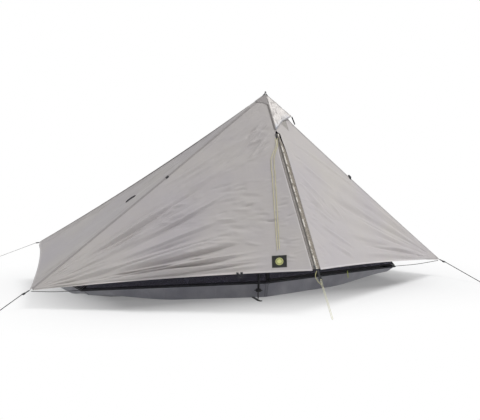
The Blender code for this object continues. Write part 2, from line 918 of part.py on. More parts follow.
def build_vent_mesh():
    """Insect mesh in the window under the hood."""
    top = TOPS[RIGHT]
    p_ends = (top.stops[VENT_COLUMN_COUNT], top.stops[VENT_COLUMN_COUNT + 1])
    q_ends = (VENT_FIRST_ROW_COUNT / top.rows, (VENT_LAST_ROW_COUNT + 1) / top.rows)
    span = (top.cloth(p_ends[1], q_ends[0]) - top.cloth(p_ends[0], q_ends[0])).length
    rise = (top.cloth(p_ends[0], q_ends[1]) - top.cloth(p_ends[0], q_ends[0])).length
    p_gap = SEAM_GAP / span
    q_gap = SEAM_GAP / rise

    def place(p, q):
        along = p_ends[0] + (p_ends[1] - p_ends[0]) * (p_gap + p * (1 - 2 * p_gap))
        down = q_ends[0] + (q_ends[1] - q_ends[0]) * (q_gap + q * (1 - 2 * q_gap))
        return top.cloth(along, down)

    rows = VENT_LAST_ROW_COUNT - VENT_FIRST_ROW_COUNT + 1
    return sheet("vent_mesh", place, 1, rows, MESH, mesh_cloth("vent_mesh"), top.normal)


def hood_form(p, q):
    """Small wrinkles and a drooping lower lip."""
    wrinkle = HOOD_WRINKLE * math.sin(math.pi * q) * math.sin(2 * math.pi * HOOD_WRINKLE_COUNT * p)
    lip = HOOD_LIP * math.sin(math.pi * q) * p**2
    return wrinkle * math.sin(math.pi * p), -lip, 0.0


def make_hood_panel():
    """The hood: hinged along the centre seam and held up at its free corner."""
    lift = TOPS[RIGHT].normal * HOOD_LIFT
    tip = PEAK.lerp(front_corner(RIGHT), HOOD_TIP_ALONG_RIDGE / FRONT_RIDGE_LENGTH)
    return Panel(
        PEAK + lift,
        ZIP_TOP + lift,
        tip + UP * HOOD_TIP_RISE,
        HOOD_TRIM,
        (SEAM_INSET, 0.0, 0.0),
        TOPS[RIGHT].normal,
        hood_form,
        10,
        8,
    )


HOOD = make_hood_panel()


def outward_at(side):
    """The direction straight out from a front ridge."""
    return (TOPS[side].normal + ENDS[side].normal).normalized()


def build_vent():
    """Hood, and the strut on its own pivot."""
    panel_cloth("vent_hood", HOOD, CLOTH, canopy_cloth("vent_hood"))
    corner = HOOD.knot(HOOD.columns, HOOD.rows)
    ridge = ("front", RIGHT)
    share = (corner.x + STRUT_LEAN) / front_corner(RIGHT).x
    standing = ridge_spot(ridge, share) + outward_at(RIGHT) * (STRUT_WIDTH + STRUT_THICKNESS)
    along = (standing - corner).normalized()
    ridge_line = (front_corner(RIGHT) - PEAK).normalized()
    axis = along.cross(ridge_line).normalized()
    hanger = corner + along * (STRUT_WIDTH / 2 + 2 * TOUCH_GAP)
    length = (standing - hanger).length + STRUT_WIDTH
    outline = rounded_box_outline(STRUT_WIDTH, length, STRUT_WIDTH * ROUND_SHARE)
    middle = (hanger + standing) / 2
    strut = plate(
        "vent_strut",
        [outline],
        STRUT_THICKNESS,
        black_plastic("vent_strut"),
        frame_of(along.cross(axis), along, axis, middle),
    )
    strut_pivot = make_pivot("vent_strut_hinge", hanger)
    hang_on(strut_pivot, strut)


def tape_profile(side):
    """Cross-section of one zip tape with its half of the coil, seen along the zip."""
    width = TAPE_WIDTHS[side]
    inner = COIL_GAP / 2
    steps = 6
    arch = [
        (
            inner + COIL_RADIUS * (1.0 + math.cos(math.pi * k / steps)),
            COIL_RADIUS * math.sin(math.pi * k / steps),
        )
        for k in range(steps + 1)
    ]
    outline = [(width, 0.0), *arch, (inner, -TAPE_THICKNESS), (width, -TAPE_THICKNESS)]
    return [(side * x, y) for x, y in outline]


def zip_frame(distance):
    """Frame on the zip line, a distance below the zip's top: X across, Y outward, Z down the zip."""
    return frame_of(ACROSS, ZIP_OUTWARD, PORCH_LINE, ZIP_TOP + PORCH_LINE * distance)


ZIP_LENGTH = (PORCH_POINT - ZIP_TOP).length - ZIP_TOP_MARGIN - ZIP_FOOT_MARGIN


def slider_at(name, frame, side, material, coil_height, bar_turn=0.0):
    """A zip slider round one half of a zip: two plates, a web in the gap and a bar for the pull.

    In its frame X points across the zip, Y outward and Z along it. bar_turn turns the bar,
    which lies across the zip, about Y. It returns the slider and the bar's frame.
    """
    reach = COIL_GAP / 2 + SLIDER_WIDTH
    across = side * (reach - SLIDER_WEB) / 2
    outer = coil_height + TOUCH_GAP + SLIDER_PLATE / 2
    inner = -TAPE_THICKNESS - TOUCH_GAP - SLIDER_PLATE / 2
    flat = Matrix.Rotation(math.pi / 2, 4, "X")
    outline = rounded_box_outline(reach + SLIDER_WEB, SLIDER_LENGTH, SLIDER_WEB)
    plates = []
    for level in (outer, inner):
        spot = frame @ Matrix.Translation((across, level, 0.0)) @ flat
        plates.append(as_mesh(plate(name, [outline], SLIDER_PLATE, material, spot)))
    slider, back = plates
    combine(slider, back, "UNION")
    web = box(
        name + "_web",
        (SLIDER_WEB, outer - inner, SLIDER_LENGTH / 2),
        None,
        frame @ Matrix.Translation((0.0, (outer + inner) / 2, 0.0)),
        CUTTERS,
    )
    combine(slider, web, "UNION")
    bar_height = outer + SLIDER_PLATE / 2 + BAR_RISE
    hanger = frame @ Matrix.Translation((across, bar_height, 0.0)) @ Matrix.Rotation(bar_turn, 4, "Y")
    for end in (-1, 1):
        aside = end * (PULL_WIDTH / 2 + TOUCH_GAP + PULL_BAR_RADIUS)
        post = box(
            name + "_post",
            (PULL_BAR_RADIUS * 2, BAR_RISE + SLIDER_PLATE, PULL_BAR_RADIUS * 2),
            None,
            hanger @ Matrix.Translation((aside, -BAR_RISE / 2, 0.0)),
            CUTTERS,
        )
        combine(slider, post, "UNION")
    bar = rod(
        name + "_bar",
        PULL_BAR_RADIUS,
        PULL_WIDTH + 2 * TOUCH_GAP + 3 * PULL_BAR_RADIUS,
        hanger @ Matrix.Rotation(math.pi / 2, 4, "Y"),
        8,
        CUTTERS,
    )
    combine(slider, bar, "UNION")
    slider.name = name
    slider.data.name = name
    slider.data.materials.clear()
    slider.data.materials.append(material)
    return slider, hanger


def pull_at(name, hanger, length, material):
    """A pull tab with a round eye on a slider's bar, hanging along the bar frame's Z."""
    outline = rounded_box_outline(PULL_THICKNESS, length, PULL_THICKNESS * ROUND_SHARE, 1)
    eye_drop = length / 2 - PULL_EYE_RADIUS
    knob = circle_outline(PULL_EYE_RADIUS, 0.0, -eye_drop, 16)
    hole = circle_outline(PULL_BAR_RADIUS + TOUCH_GAP, 0.0, -eye_drop, 12)
    side_on = Matrix.Rotation(math.pi / 2, 4, "Y") @ Matrix.Rotation(math.pi / 2, 4, "Z")
    lean = Matrix.Rotation(-PULL_LEAN, 4, "X")
    spot = hanger @ lean @ side_on @ Matrix.Translation((0.0, eye_drop, 0.0))
    tab = as_mesh(plate(name, [outline], PULL_WIDTH, material, spot))
    ring = as_mesh(plate(name + "_ring", [knob], PULL_WIDTH, material, spot), CUTTERS)
    combine(tab, ring, "UNION")
    bore = as_mesh(plate(name + "_bore", [hole], PULL_WIDTH * 2, material, spot), CUTTERS)
    combine(tab, bore, "DIFFERENCE")
    tab.name = name
    tab.data.name = name
    tab.data.materials.clear()
    tab.data.materials.append(material)
    return tab


def build_porch_zip():
    """Tapes with their coils, the slider at the foot of the zip and its pull."""
    made = {}
    middle = zip_frame(ZIP_TOP_MARGIN + ZIP_LENGTH / 2)
    for word, side in SIDES.items():
        name = f"porch_zip_{word}"
        cloth = make_material(name, (0.07, 0.07, 0.075), 0.7)
        made[name] = plate(name, [tape_profile(side)], ZIP_LENGTH, cloth, middle)
    frame = zip_frame(ZIP_TOP_MARGIN + ZIP_LENGTH - SLIDER_PARK)
    metal = bare_metal("porch_zip_slider")
    slider, hanger = slider_at("porch_zip_slider", frame, LEFT, metal, COIL_RADIUS)
    pull = pull_at("porch_zip_pull", hanger, PULL_LENGTH, black_webbing("porch_zip_pull"))
    pivot = make_pivot("porch_zip_pull_hinge", hanger.to_translation())
    slide = make_pivot("porch_zip_slide", frame.to_translation())
    hang_on(slide, slider, pivot)
    hang_on(pivot, pull)
    made["porch_zip_slider"] = slide
    return made


def strip_outline(path, thickness):
    """Outline of a bent strip: the path set off by half the thickness to both sides."""
    points = [Vector(point) for point in path]
    sides = []
    for index, point in enumerate(points):
        before = points[max(0, index - 1)]
        after = points[min(len(points) - 1, index + 1)]
        into = (point - before).normalized() if index else (after - point).normalized()
        out_of = (after - point).normalized() if index < len(points) - 1 else into
        normal_in = Vector((-into.y, into.x))
        normal_out = Vector((-out_of.y, out_of.x))
        mitre = (normal_in + normal_out).normalized()
        sides.append(mitre * (thickness / 2 / mitre.dot(normal_in)))
    left = [tuple(point + side) for point, side in zip(points, sides)]
    right = [tuple(point - side) for point, side in zip(points, sides)]
    return [*left, *reversed(right)]


def bent_strip(name, path, thickness, width, material, place):
    """A strip bent along a path in its frame's XY plane, as wide as given along Z."""
    return plate(name, [strip_outline(path, thickness)], width, material, place)


def build_peak():
    """Outer patch, loop and the pocket that takes the grip."""
    lines = [
        (PEAK, PORCH_POINT, TOPS[LEFT].normal, None, ACROSS * LEFT * SEAM_INSET),
        (PEAK, front_corner(LEFT), TOPS[LEFT].normal, ENDS[LEFT].normal, None),
        (PEAK, rear_corner(LEFT), ENDS[LEFT].normal, REARS[LEFT].normal, None),
        (PEAK, REAR_POINT, REARS[LEFT].normal, REARS[RIGHT].normal, None),
        (PEAK, rear_corner(RIGHT), REARS[RIGHT].normal, ENDS[RIGHT].normal, None),
        (PEAK, front_corner(RIGHT), ENDS[RIGHT].normal, None, None),
    ]
    ridges = [
        None,
        ("front", LEFT),
        ("rear", LEFT),
        ("middle", 0),
        ("rear", RIGHT),
        ("front", RIGHT),
    ]
    height = PATCH_GAP + PEAK_PATCH_THICKNESS

    def edge(index, reach):
        start, end, first, second, _ = lines[index]
        line = (end - start).normalized()
        spot = start + line * reach
        if ridges[index]:
            spot -= UP * ridge_drop(ridges[index], reach / (end - start).length)
        if second is None:
            return spot + first * height
        return spot + (first + second) * (height / (1.0 + first.dot(second)))

    faces = len(lines) - 1

    def place(p, q):
        reach = PEAK_PATCH_HOLE + (PEAK_PATCH_REACH - PEAK_PATCH_HOLE) * p
        at = min(faces - 1, int(q * faces + MERGE))
        share = q * faces - at
        spot = edge(at, reach).lerp(edge(at + 1, reach), share)
        if at == 0:
            spot += lines[0][4] * (1.0 - share) * 2
        return spot

    patch = sheet(
        "peak_patch", place, 2, 2 * faces, PEAK_PATCH_THICKNESS, canopy_cloth("peak_patch"), UP
    )

    ridge = (front_corner(RIGHT) - PEAK).normalized()
    upright = Vector((0.0, -ridge.y, -ridge.z)).normalized()
    slope = Vector((ridge.x, ridge.dot(upright)))
    off = Vector((-slope.y, slope.x)) * (height * PATCH_RISE_SHARE + TOUCH_GAP + WEBBING / 2)
    flange = slope * PEAK_LOOP_FLANGE + off
    foot = slope * (PEAK_LOOP_HALF * 2) + off
    half = [
        flange,
        foot,
        Vector((PEAK_LOOP_HALF, foot.y + PEAK_LOOP_HALF)),
        Vector((PEAK_LOOP_HALF, PEAK_LOOP_RISE - PEAK_LOOP_HALF / 2)),
        Vector((PEAK_LOOP_HALF / 2, PEAK_LOOP_RISE)),
    ]
    path = [(-point.x, point.y) for point in half] + [tuple(point) for point in reversed(half)]
    place_loop = frame_of(ACROSS, upright, ACROSS.cross(upright), PEAK)
    bent_strip("peak_loop", path, WEBBING, PEAK_LOOP_WIDTH, black_webbing("peak_loop"), place_loop)
    return patch


POLE_FOOT = Vector((POLE_FOOT_X, -POLE_FOOT_FORWARD, POLE_LIFT))
POLE_LINE = (PEAK - POLE_FOOT).normalized()
POCKET_TOP = (PEAK - POLE_FOOT).length - POCKET_DROP
GRIP_TOP = POCKET_TOP - POCKET_WALL - TOUCH_GAP
UPPER_SHAFT_BOTTOM = POCKET_TOP - UPPER_SHAFT_REACH
MIDDLE_SHAFT_BOTTOM = UPPER_SHAFT_BOTTOM - MIDDLE_SHAFT_SHOWN


def pole_place(height=0.0):
    """Frame on the pole at a height along it: Z along the pole, Y towards the mesh."""
    side_axis = (ACROSS - POLE_LINE * ACROSS.dot(POLE_LINE)).normalized()
    return frame_of(side_axis, POLE_LINE.cross(side_axis), POLE_LINE, POLE_FOOT + POLE_LINE * height)


def pole_piece(name, profile, material, steps=20):
    """A turned piece on the pole's axis, its heights measured from the pole's foot."""
    piece = turned(name, profile, material, steps)
    piece.matrix_world = pole_place()
    return piece


def shaft(name, outer, low, high):
    """One tube of the pole."""
    inner = outer - SHAFT_WALL
    profile = [(outer, high), (outer, low), (inner, low), (inner, high)]
    return pole_piece(name, profile, anodised(name), 24)


MIDDLE_SHAFT_RADIUS = LOWER_SHAFT_RADIUS + SHAFT_RUNNING_GAP + SHAFT_WALL
UPPER_SHAFT_RADIUS = MIDDLE_SHAFT_RADIUS + SHAFT_RUNNING_GAP + SHAFT_WALL
LOWER_SHAFT_TOP = MIDDLE_SHAFT_BOTTOM + SHAFT_OVERLAP
MIDDLE_SHAFT_TOP = UPPER_SHAFT_BOTTOM + SHAFT_OVERLAP
UPPER_SHAFT_TOP = GRIP_TOP - GRIP_CAP


def build_collar(name, bottom, tube_radius):
    """A ribbed twist collar round the foot of an outer tube; turning it locks the inner one."""
    bore = tube_radius + TOUCH_GAP
    outer = bore + COLLAR_WALL
    count = COLLAR_RIBS * 6
    scallops = []
    for k in range(count):
        angle = 2 * math.pi * k / count
        radius = outer + COLLAR_RIB_RISE * math.cos(COLLAR_RIBS * angle)
        scallops.append((radius * math.cos(angle), radius * math.sin(angle)))
    spot = pole_place(bottom - COLLAR_SHOULDER + COLLAR_HEIGHT / 2)
    collar = plate(
        name, [scallops, circle_outline(bore, steps=24)], COLLAR_HEIGHT, black_plastic(name), spot
    )
    return collar


def build_pole():
    """The three-section pole that holds the peak up, tip down."""
    tip_profile = [
        (0.0, TIP_LENGTH),
        (LOWER_SHAFT_RADIUS, TIP_LENGTH),
        (LOWER_SHAFT_RADIUS - SHAFT_WALL, TIP_LENGTH / 2),
        (TIP_NECK_RADIUS, TIP_POINT_LENGTH + TIP_POINT_RADIUS),
        (TIP_POINT_RADIUS, TIP_POINT_LENGTH),
        (TIP_POINT_RADIUS, 0.0),
        (0.0, 0.0),
    ]
    pole_piece("pole_tip", tip_profile, black_plastic("pole_tip"), 16)

    hub_bore = LOWER_SHAFT_RADIUS + TOUCH_GAP
    hub = hub_bore + BASKET_HUB_WALL
    low = BASKET_HEIGHT - BASKET_HUB_HEIGHT / 2
    high = BASKET_HEIGHT + BASKET_HUB_HEIGHT / 2
    flat_low = BASKET_HEIGHT - BASKET_THICKNESS / 2
    flat_high = BASKET_HEIGHT + BASKET_THICKNESS / 2
    profile = [
        (hub_bore, high),
        (hub, high),
        (hub, flat_high),
        (BASKET_RADIUS, flat_high),
        (BASKET_RADIUS, flat_low),
        (hub, flat_low),
        (hub, low),
        (hub_bore, low),
    ]
    plastic = black_plastic("pole_basket")
    basket = as_mesh(pole_piece("pole_basket", profile, plastic, 24))
    for k in range(BASKET_HOLES):
        angle = 2 * math.pi * k / BASKET_HOLES
        ring = (hub + BASKET_RADIUS) / 2
        hole = rod(
            "basket_hole",
            BASKET_HOLE_RADIUS,
            BASKET_HUB_HEIGHT * 2,
            pole_place()
            @ Matrix.Translation((ring * math.cos(angle), ring * math.sin(angle), BASKET_HEIGHT)),
            12,
            CUTTERS,
        )
        combine(basket, hole, "DIFFERENCE")
    basket.name = "pole_basket"
    basket.data.materials.clear()
    basket.data.materials.append(plastic)

    shaft("pole_lower_shaft", LOWER_SHAFT_RADIUS, TIP_LENGTH + TOUCH_GAP, LOWER_SHAFT_TOP)
    middle = shaft("pole_middle_shaft", MIDDLE_SHAFT_RADIUS, MIDDLE_SHAFT_BOTTOM, MIDDLE_SHAFT_TOP)
    upper = shaft("pole_upper_shaft", UPPER_SHAFT_RADIUS, UPPER_SHAFT_BOTTOM, UPPER_SHAFT_TOP)
    bore = UPPER_SHAFT_RADIUS + TOUCH_GAP
    grip_foot = GRIP_TOP - GRIP_LENGTH
    grip_profile = [
        (0.0, GRIP_TOP),
        (GRIP_WAIST_RADIUS, GRIP_TOP),
        (GRIP_HEAD_RADIUS, GRIP_TOP - (GRIP_HEAD_RADIUS - GRIP_WAIST_RADIUS)),
        (GRIP_HEAD_RADIUS, GRIP_TOP - GRIP_CAP),
        (GRIP_WAIST_RADIUS, GRIP_TOP - GRIP_CAP * 2),
        (GRIP_RADIUS, GRIP_TOP - GRIP_LENGTH * GRIP_SWELL_SHARE),
        (GRIP_WAIST_RADIUS, grip_foot),
        (bore, grip_foot),
        (bore, UPPER_SHAFT_TOP + TOUCH_GAP),
        (0.0, UPPER_SHAFT_TOP + TOUCH_GAP),
    ]
    grip = pole_piece("pole_grip", grip_profile, make_material("pole_grip", (0.05, 0.05, 0.05), 0.9), 24)
    pocket_outer = GRIP_HEAD_RADIUS + TOUCH_GAP + POCKET_WALL
    pocket_inner = GRIP_HEAD_RADIUS + TOUCH_GAP
    pocket_profile = [
        (0.0, POCKET_TOP),
        (pocket_outer, POCKET_TOP),
        (pocket_outer, POCKET_TOP - POCKET_DEPTH),
        (pocket_inner, POCKET_TOP - POCKET_DEPTH),
        (pocket_inner, POCKET_TOP - POCKET_WALL),
        (0.0, POCKET_TOP - POCKET_WALL),
    ]
    pole_piece("peak_pocket", pocket_profile, canopy_cloth("peak_pocket"), 24)
    upper_collar = build_collar("upper_collar", UPPER_SHAFT_BOTTOM, UPPER_SHAFT_RADIUS)
    middle_collar = build_collar("middle_collar", MIDDLE_SHAFT_BOTTOM, MIDDLE_SHAFT_RADIUS)
    middle_pivot = make_pivot("pole_middle_slide", pole_place(MIDDLE_SHAFT_BOTTOM).to_translation())
    upper_pivot = make_pivot("pole_upper_slide", pole_place(UPPER_SHAFT_BOTTOM).to_translation())
    hang_on(upper_pivot, upper, grip, upper_collar)
    hang_on(middle_pivot, middle, middle_collar, upper_pivot)


FLOOR_CORNERS = [
    Vector((0.0, -FLOOR_FRONT_POINT, 0.0)),
    Vector((FLOOR_HALF_LENGTH, -FLOOR_FRONT_CORNER, 0.0)),
    Vector((FLOOR_HALF_LENGTH, FLOOR_REAR_CORNER, 0.0)),
    Vector((0.0, FLOOR_REAR_POINT, 0.0)),
    Vector((-FLOOR_HALF_LENGTH, FLOOR_REAR_CORNER, 0.0)),
    Vector((-FLOOR_HALF_LENGTH, -FLOOR_FRONT_CORNER, 0.0)),
]
RIM_CORNERS = [
    Vector((0.0, -FLOOR_FRONT_POINT - RIM_LEAN_FORWARD, FLOOR_POINT_RIM)),
    Vector((FLOOR_HALF_LENGTH + RIM_LEAN_OUT, -FLOOR_FRONT_CORNER - RIM_LEAN_FORWARD, FRONT_CORNER_RIM)),
    Vector((FLOOR_HALF_LENGTH + RIM_LEAN_OUT, FLOOR_REAR_CORNER + RIM_LEAN_FORWARD, REAR_CORNER_RIM)),
    Vector((0.0, FLOOR_REAR_POINT + RIM_LEAN_FORWARD, FLOOR_POINT_RIM)),
    Vector((-FLOOR_HALF_LENGTH - RIM_LEAN_OUT, FLOOR_REAR_CORNER + RIM_LEAN_FORWARD, REAR_CORNER_RIM)),
    Vector((-FLOOR_HALF_LENGTH - RIM_LEAN_OUT, -FLOOR_FRONT_CORNER - RIM_LEAN_FORWARD, FRONT_CORNER_RIM)),
]
LIFTED_CORNERS = (1, 5)


def round_the_floor(corners, step):
    """A point on the floor's outline after a number of steps from its front point."""
    count = len(corners)
    index = step // SIDE_STEPS % count
    share = step % SIDE_STEPS / SIDE_STEPS
    return corners[index].lerp(corners[(index + 1) % count], share)


def floor_lift(step):
    """How far the floor's edge is held off the ground by the cords at the front corners."""
    count = len(FLOOR_CORNERS) * SIDE_STEPS
    lift = 0.0
    for corner in LIFTED_CORNERS:
        away = abs(step - corner * SIDE_STEPS)
        away = min(away, count - away)
        lift = max(lift, 1.0 - away / LIFT_STEPS)
    return FLOOR_CORNER_LIFT * smooth_step(lift, 0.0, 1.0)


def build_floor():
    """The bathtub: a capped circle spread to the floor's outline, with its walls drawn up."""
    bm = bmesh.new()
    count = len(FLOOR_CORNERS) * SIDE_STEPS
    bmesh.ops.create_circle(bm, cap_ends=True, segments=count, radius=1.0)
    ring = sorted(bm.verts, key=lambda vert: math.atan2(vert.co.x, -vert.co.y) % (2 * math.pi))
    rings = [(FLAT_RING_SHARE, 0.0), (LIFT_RING_SHARE, LIFT_RING_RISE_SHARE), (1.0, 1.0)]
    levels = []
    for share, lift_share in rings:
        points = []
        for step in range(count):
            spot = round_the_floor(FLOOR_CORNERS, step) * share
            points.append(spot + UP * floor_lift(step) * lift_share)
        levels.append(points)
    levels.append([round_the_floor(RIM_CORNERS, step) for step in range(count)])
    for vert, point in zip(ring, levels[0]):
        vert.co = point
    for points in levels[1:]:
        edges = [edge for edge in bm.edges if edge.is_boundary]
        made = bmesh.ops.extrude_edge_only(bm, edges=edges)["geom"]
        fresh = [item for item in made if isinstance(item, bmesh.types.BMVert)]
        known = {tuple(round(value, 6) for value in vert.co): vert for vert in fresh}
        ring = [known[tuple(round(value, 6) for value in vert.co)] for vert in ring]
        for vert, point in zip(ring, points):
            vert.co = point
    bmesh.ops.recalc_face_normals(bm, faces=bm.faces[:])
    face_outward(bm, -UP)
    mesh = bpy.data.meshes.new("bathtub_floor")
    bm.to_mesh(mesh)
    bm.free()
    tub = add_object("bathtub_floor", mesh, floor_cloth("bathtub_floor"))
    wall = tub.modifiers.new("cloth", "SOLIDIFY")
    wall.thickness = FLOOR_SHEET
    wall.offset = -1.0
    wall.use_even_offset = True
    return tub


RIM_CLEARANCE = TOUCH_GAP + (MESH + FLOOR_SHEET) * RIM_RISE_SHARE
MESH_PEAK = PEAK + Vector((0.0, MESH_PEAK_SETBACK, -MESH_PEAK_DROP))


def mesh_wall(name, first, last, insets):
    """A flat mesh wall from a side of the rim to the top."""
    lift = UP * RIM_CLEARANCE
    ends = (RIM_CORNERS[first] + lift, RIM_CORNERS[last] + lift)
    outward = (ends[0] + ends[1]) / 2
    outward.z = 0.0
    panel = Panel(
        MESH_PEAK, ends[0], ends[1], MESH_TRIM, insets, outward, lambda p, q: (0.0, 0.0, 0.0), 4, 4
    )
    return panel, panel_cloth(name, panel, MESH, mesh_cloth(name))


def build_mesh():
    """Six mesh walls round the sleeper, the right front one zipped along its foot and middle."""
    plain = (MESH_SEAM, MESH_SEAM, 0.0)
    mesh_wall("mesh_front_left", 0, 5, plain)
    around = [RIM_CORNERS[index] + UP * RIM_CLEARANCE for index in (5, 4, 3, 2, 1)]
    spans = len(around) - 1
    edges = {
        0.0: (around[1] - around[0]).normalized() * MESH_SEAM * 2,
        1.0: (around[-2] - around[-1]).normalized() * MESH_SEAM * 2,
    }

    def back(p, q):
        at = min(spans - 1, int(q * spans + MERGE))
        low = around[at].lerp(around[at + 1], q * spans - at)
        trim = MESH_TRIM / (low - MESH_PEAK).length
        return MESH_PEAK.lerp(low, trim + (1.0 - trim) * p) + edges.get(round(q, 6), Vector())

    sheet("mesh_back", back, 3, 4 * spans, MESH, mesh_cloth("mesh_back"), Vector((0.0, 1.0, 0.0)))
    door_inset = MESH_SEAM + TRACK_WIDTH + COIL_GAP
    door, cloth = mesh_wall(
        "mesh_door", 0, 1, (door_inset, MESH_SEAM, TRACK_WIDTH + COIL_GAP)
    )
    foot = RIM_CORNERS[0] + UP * RIM_CLEARANCE
    rim = RIM_CORNERS[1] + UP * RIM_CLEARANCE - foot
    along = rim.normalized()
    rise = (MESH_PEAK - foot).normalized()
    outward = door.normal
    upward = outward.cross(along).normalized()
    if upward.z < 0.0:
        upward = -upward
    turn = frame_of(along, upward, along.cross(upward), foot)
    lean = rise.dot(along)
    climb = rise.dot(upward)
    across_seam = Vector((climb, -lean)) * MESH_SEAM
    arm_top = Vector((lean, climb)) * TRACK_ARM
    arm_side = Vector((climb, -lean)) * TRACK_WIDTH
    inner = (across_seam + arm_side) + Vector((lean, climb)) * (
        (TRACK_WIDTH - (across_seam + arm_side).y) / climb
    )
    far = Vector((rim.length * TRACK_SHARE, 0.0))
    outline = [
        tuple(across_seam - Vector((lean, climb)) * (across_seam.y / climb)),
        tuple(far),
        tuple(far + Vector((0.0, TRACK_WIDTH))),
        tuple(inner),
        tuple(across_seam + arm_side + arm_top),
        tuple(across_seam + arm_top),
    ]
    raise_track = Matrix.Translation(outward * (TRACK_THICKNESS / 2 - MESH) - upward * TRACK_DROP)
    plate(
        "mesh_zip_track",
        [outline],
        TRACK_THICKNESS,
        make_material("mesh_zip_track", (0.02, 0.02, 0.022), 0.7),
        raise_track @ turn,
    )
    spot = foot + along * (rim.length * MESH_SLIDER_SHARE) + upward * (TRACK_WIDTH + COIL_GAP / 2)
    spot += outward * (TAPE_THICKNESS - MESH)
    frame = frame_of(upward, outward, upward.cross(outward), spot)
    metal = bare_metal("mesh_zip_slider")
    slider, hanger = slider_at(
        "mesh_zip_slider", frame, LEFT, metal, TRACK_THICKNESS - TAPE_THICKNESS, -math.pi / 2
    )
    lime = make_material("mesh_zip_pull", (0.62, 0.75, 0.08), 0.6)
    pull = pull_at("mesh_zip_pull", hanger, MESH_PULL_LENGTH, lime)
    bar_spot = hanger.to_translation()
    door_pivot = make_pivot("mesh_door_hinge", MESH_PEAK)
    slide = make_pivot("mesh_zip_slide", spot)
    pull_pivot = make_pivot("mesh_zip_pull_hinge", bar_spot)
    hang_on(door_pivot, cloth)
    hang_on(slide, slider, pull_pivot)
    hang_on(pull_pivot, pull)


def build_ties():
    """Ridge tabs, end tie strips, the hem tie, the badge patch and the door loop."""
    for word, side in SIDES.items():
        top, end = TOPS[side], ENDS[side]
        share = RIDGE_TIE_SHARES[side]
        p_top = 1.0 - share / TOP_REACH_SHARE
        spot = (top.cloth(p_top, 0.0) + end.cloth(share, 0.0)) / 2
        along = (end.cloth(share + 1 / TOP_COLUMN_COUNT, 0.0) - end.cloth(share, 0.0)).normalized()
        down_top = top.cloth(p_top, 1 / TOP_ROW_COUNT) - top.cloth(p_top, 0.0)
        down_end = end.cloth(share, 1 / end.rows) - end.cloth(share, 0.0)
        leg_top = (down_top - along * down_top.dot(along)).normalized()
        leg_end = (down_end - along * down_end.dot(along)).normalized()
        outward = -(leg_top + leg_end).normalized()
        spread = along.cross(outward)
        if spread.dot(leg_top) < 0.0:
            spread = -spread
        rise = RIDGE_TIE_GAP + WEBBING
        path = [
            (leg_end.dot(spread) * RIDGE_TIE_LENGTH / 2, leg_end.dot(outward) * RIDGE_TIE_LENGTH / 2 + rise),
            (0.0, rise),
            (leg_top.dot(spread) * RIDGE_TIE_LENGTH / 2, leg_top.dot(outward) * RIDGE_TIE_LENGTH / 2 + rise),
        ]
        place = frame_of(spread, outward, spread.cross(outward), spot)
        name = f"ridge_tie_{word}"
        bent_strip(name, path, WEBBING, RIDGE_TIE_WIDTH, black_webbing(name), place)

    for word, side in SIDES.items():
        end = ENDS[side]

        def on_end(u, v, end=end):
            p = END_TIE_SHARE - (u - 0.5) * END_TIE_LENGTH / FRONT_RIDGE_LENGTH
            wide = (v - 0.5) * END_TIE_WIDTH / (end.far[0] - end.far[1]).length / END_TIE_SHARE
            q = END_TIE_ACROSS_SHARE + wide - (u - 0.5) * END_TIE_SKEW_SHARE
            return end.cloth(p, q, TIE_GAP + WEBBING)

        name = f"end_tie_{word}"
        sheet(name, on_end, 3, 1, WEBBING, black_webbing(name), end.normal)

    door = DOORS[LEFT]
    line = (PORCH_POINT - front_corner(LEFT)).length
    drop = (PORCH_POINT - ZIP_TOP).length

    def on_hem(u, v):
        wide = HEM_TIE_WIDTH + (HEM_TIE_NARROW - HEM_TIE_WIDTH) * v
        p = HEM_TIE_SHARE + (u - 0.5) * wide / line
        q = 1.0 + (v * HEM_TIE_LENGTH - HEM_TIE_LAP) / (drop * HEM_TIE_SHARE)
        return door.cloth(p, q, TIE_GAP + WEBBING)

    sheet("hem_tie", on_hem, 1, 2, WEBBING, canopy_cloth("hem_tie"), door.normal)

    p_mid = 1.0 - BADGE_FROM_ZIP / FRONT_CORNER_SPAN
    q_mid = 1.0 - BADGE_FROM_HEM / (drop * p_mid)

    def on_door(u, v):
        p = p_mid + (u - 0.5) * BADGE_WIDTH / line
        q = q_mid + (v - 0.5) * BADGE_HEIGHT / (drop * p_mid)
        return door.cloth(p, q, TIE_GAP + BADGE_THICKNESS)

    sheet("badge_patch", on_door, 3, 3, BADGE_THICKNESS, black_webbing("badge_patch"), door.normal)

    frame = zip_frame(DOOR_LOOP_DROP)
    aside = -(LEFT_TAPE_WIDTH + COIL_GAP / 2 + 2 * COIL_RADIUS) / 2
    outline = rounded_box_outline(DOOR_LOOP_WIDTH, DOOR_LOOP_LENGTH, DOOR_LOOP_EDGE)
    eye = circle_outline(DOOR_LOOP_EYE, 0.0, DOOR_LOOP_LENGTH / 2 - DOOR_LOOP_WIDTH / 2, 12)
    turn = frame_of(ZIP_OUTWARD, PORCH_LINE, ZIP_OUTWARD.cross(PORCH_LINE), Vector())
    shift = frame @ Matrix.Translation((aside, DOOR_LOOP_WIDTH / 2 + TOUCH_GAP, 0.0))
    place = Matrix.Translation(shift.to_translation()) @ turn
    plate("door_loop", [outline, eye], DOOR_LOOP_THICKNESS, black_webbing("door_loop"), place)
    middle = Matrix.Translation((0.0, DOOR_LOOP_LENGTH / 2 - DOOR_LOOP_WIDTH / 2, 0.0))
    return (place @ middle).to_translation()


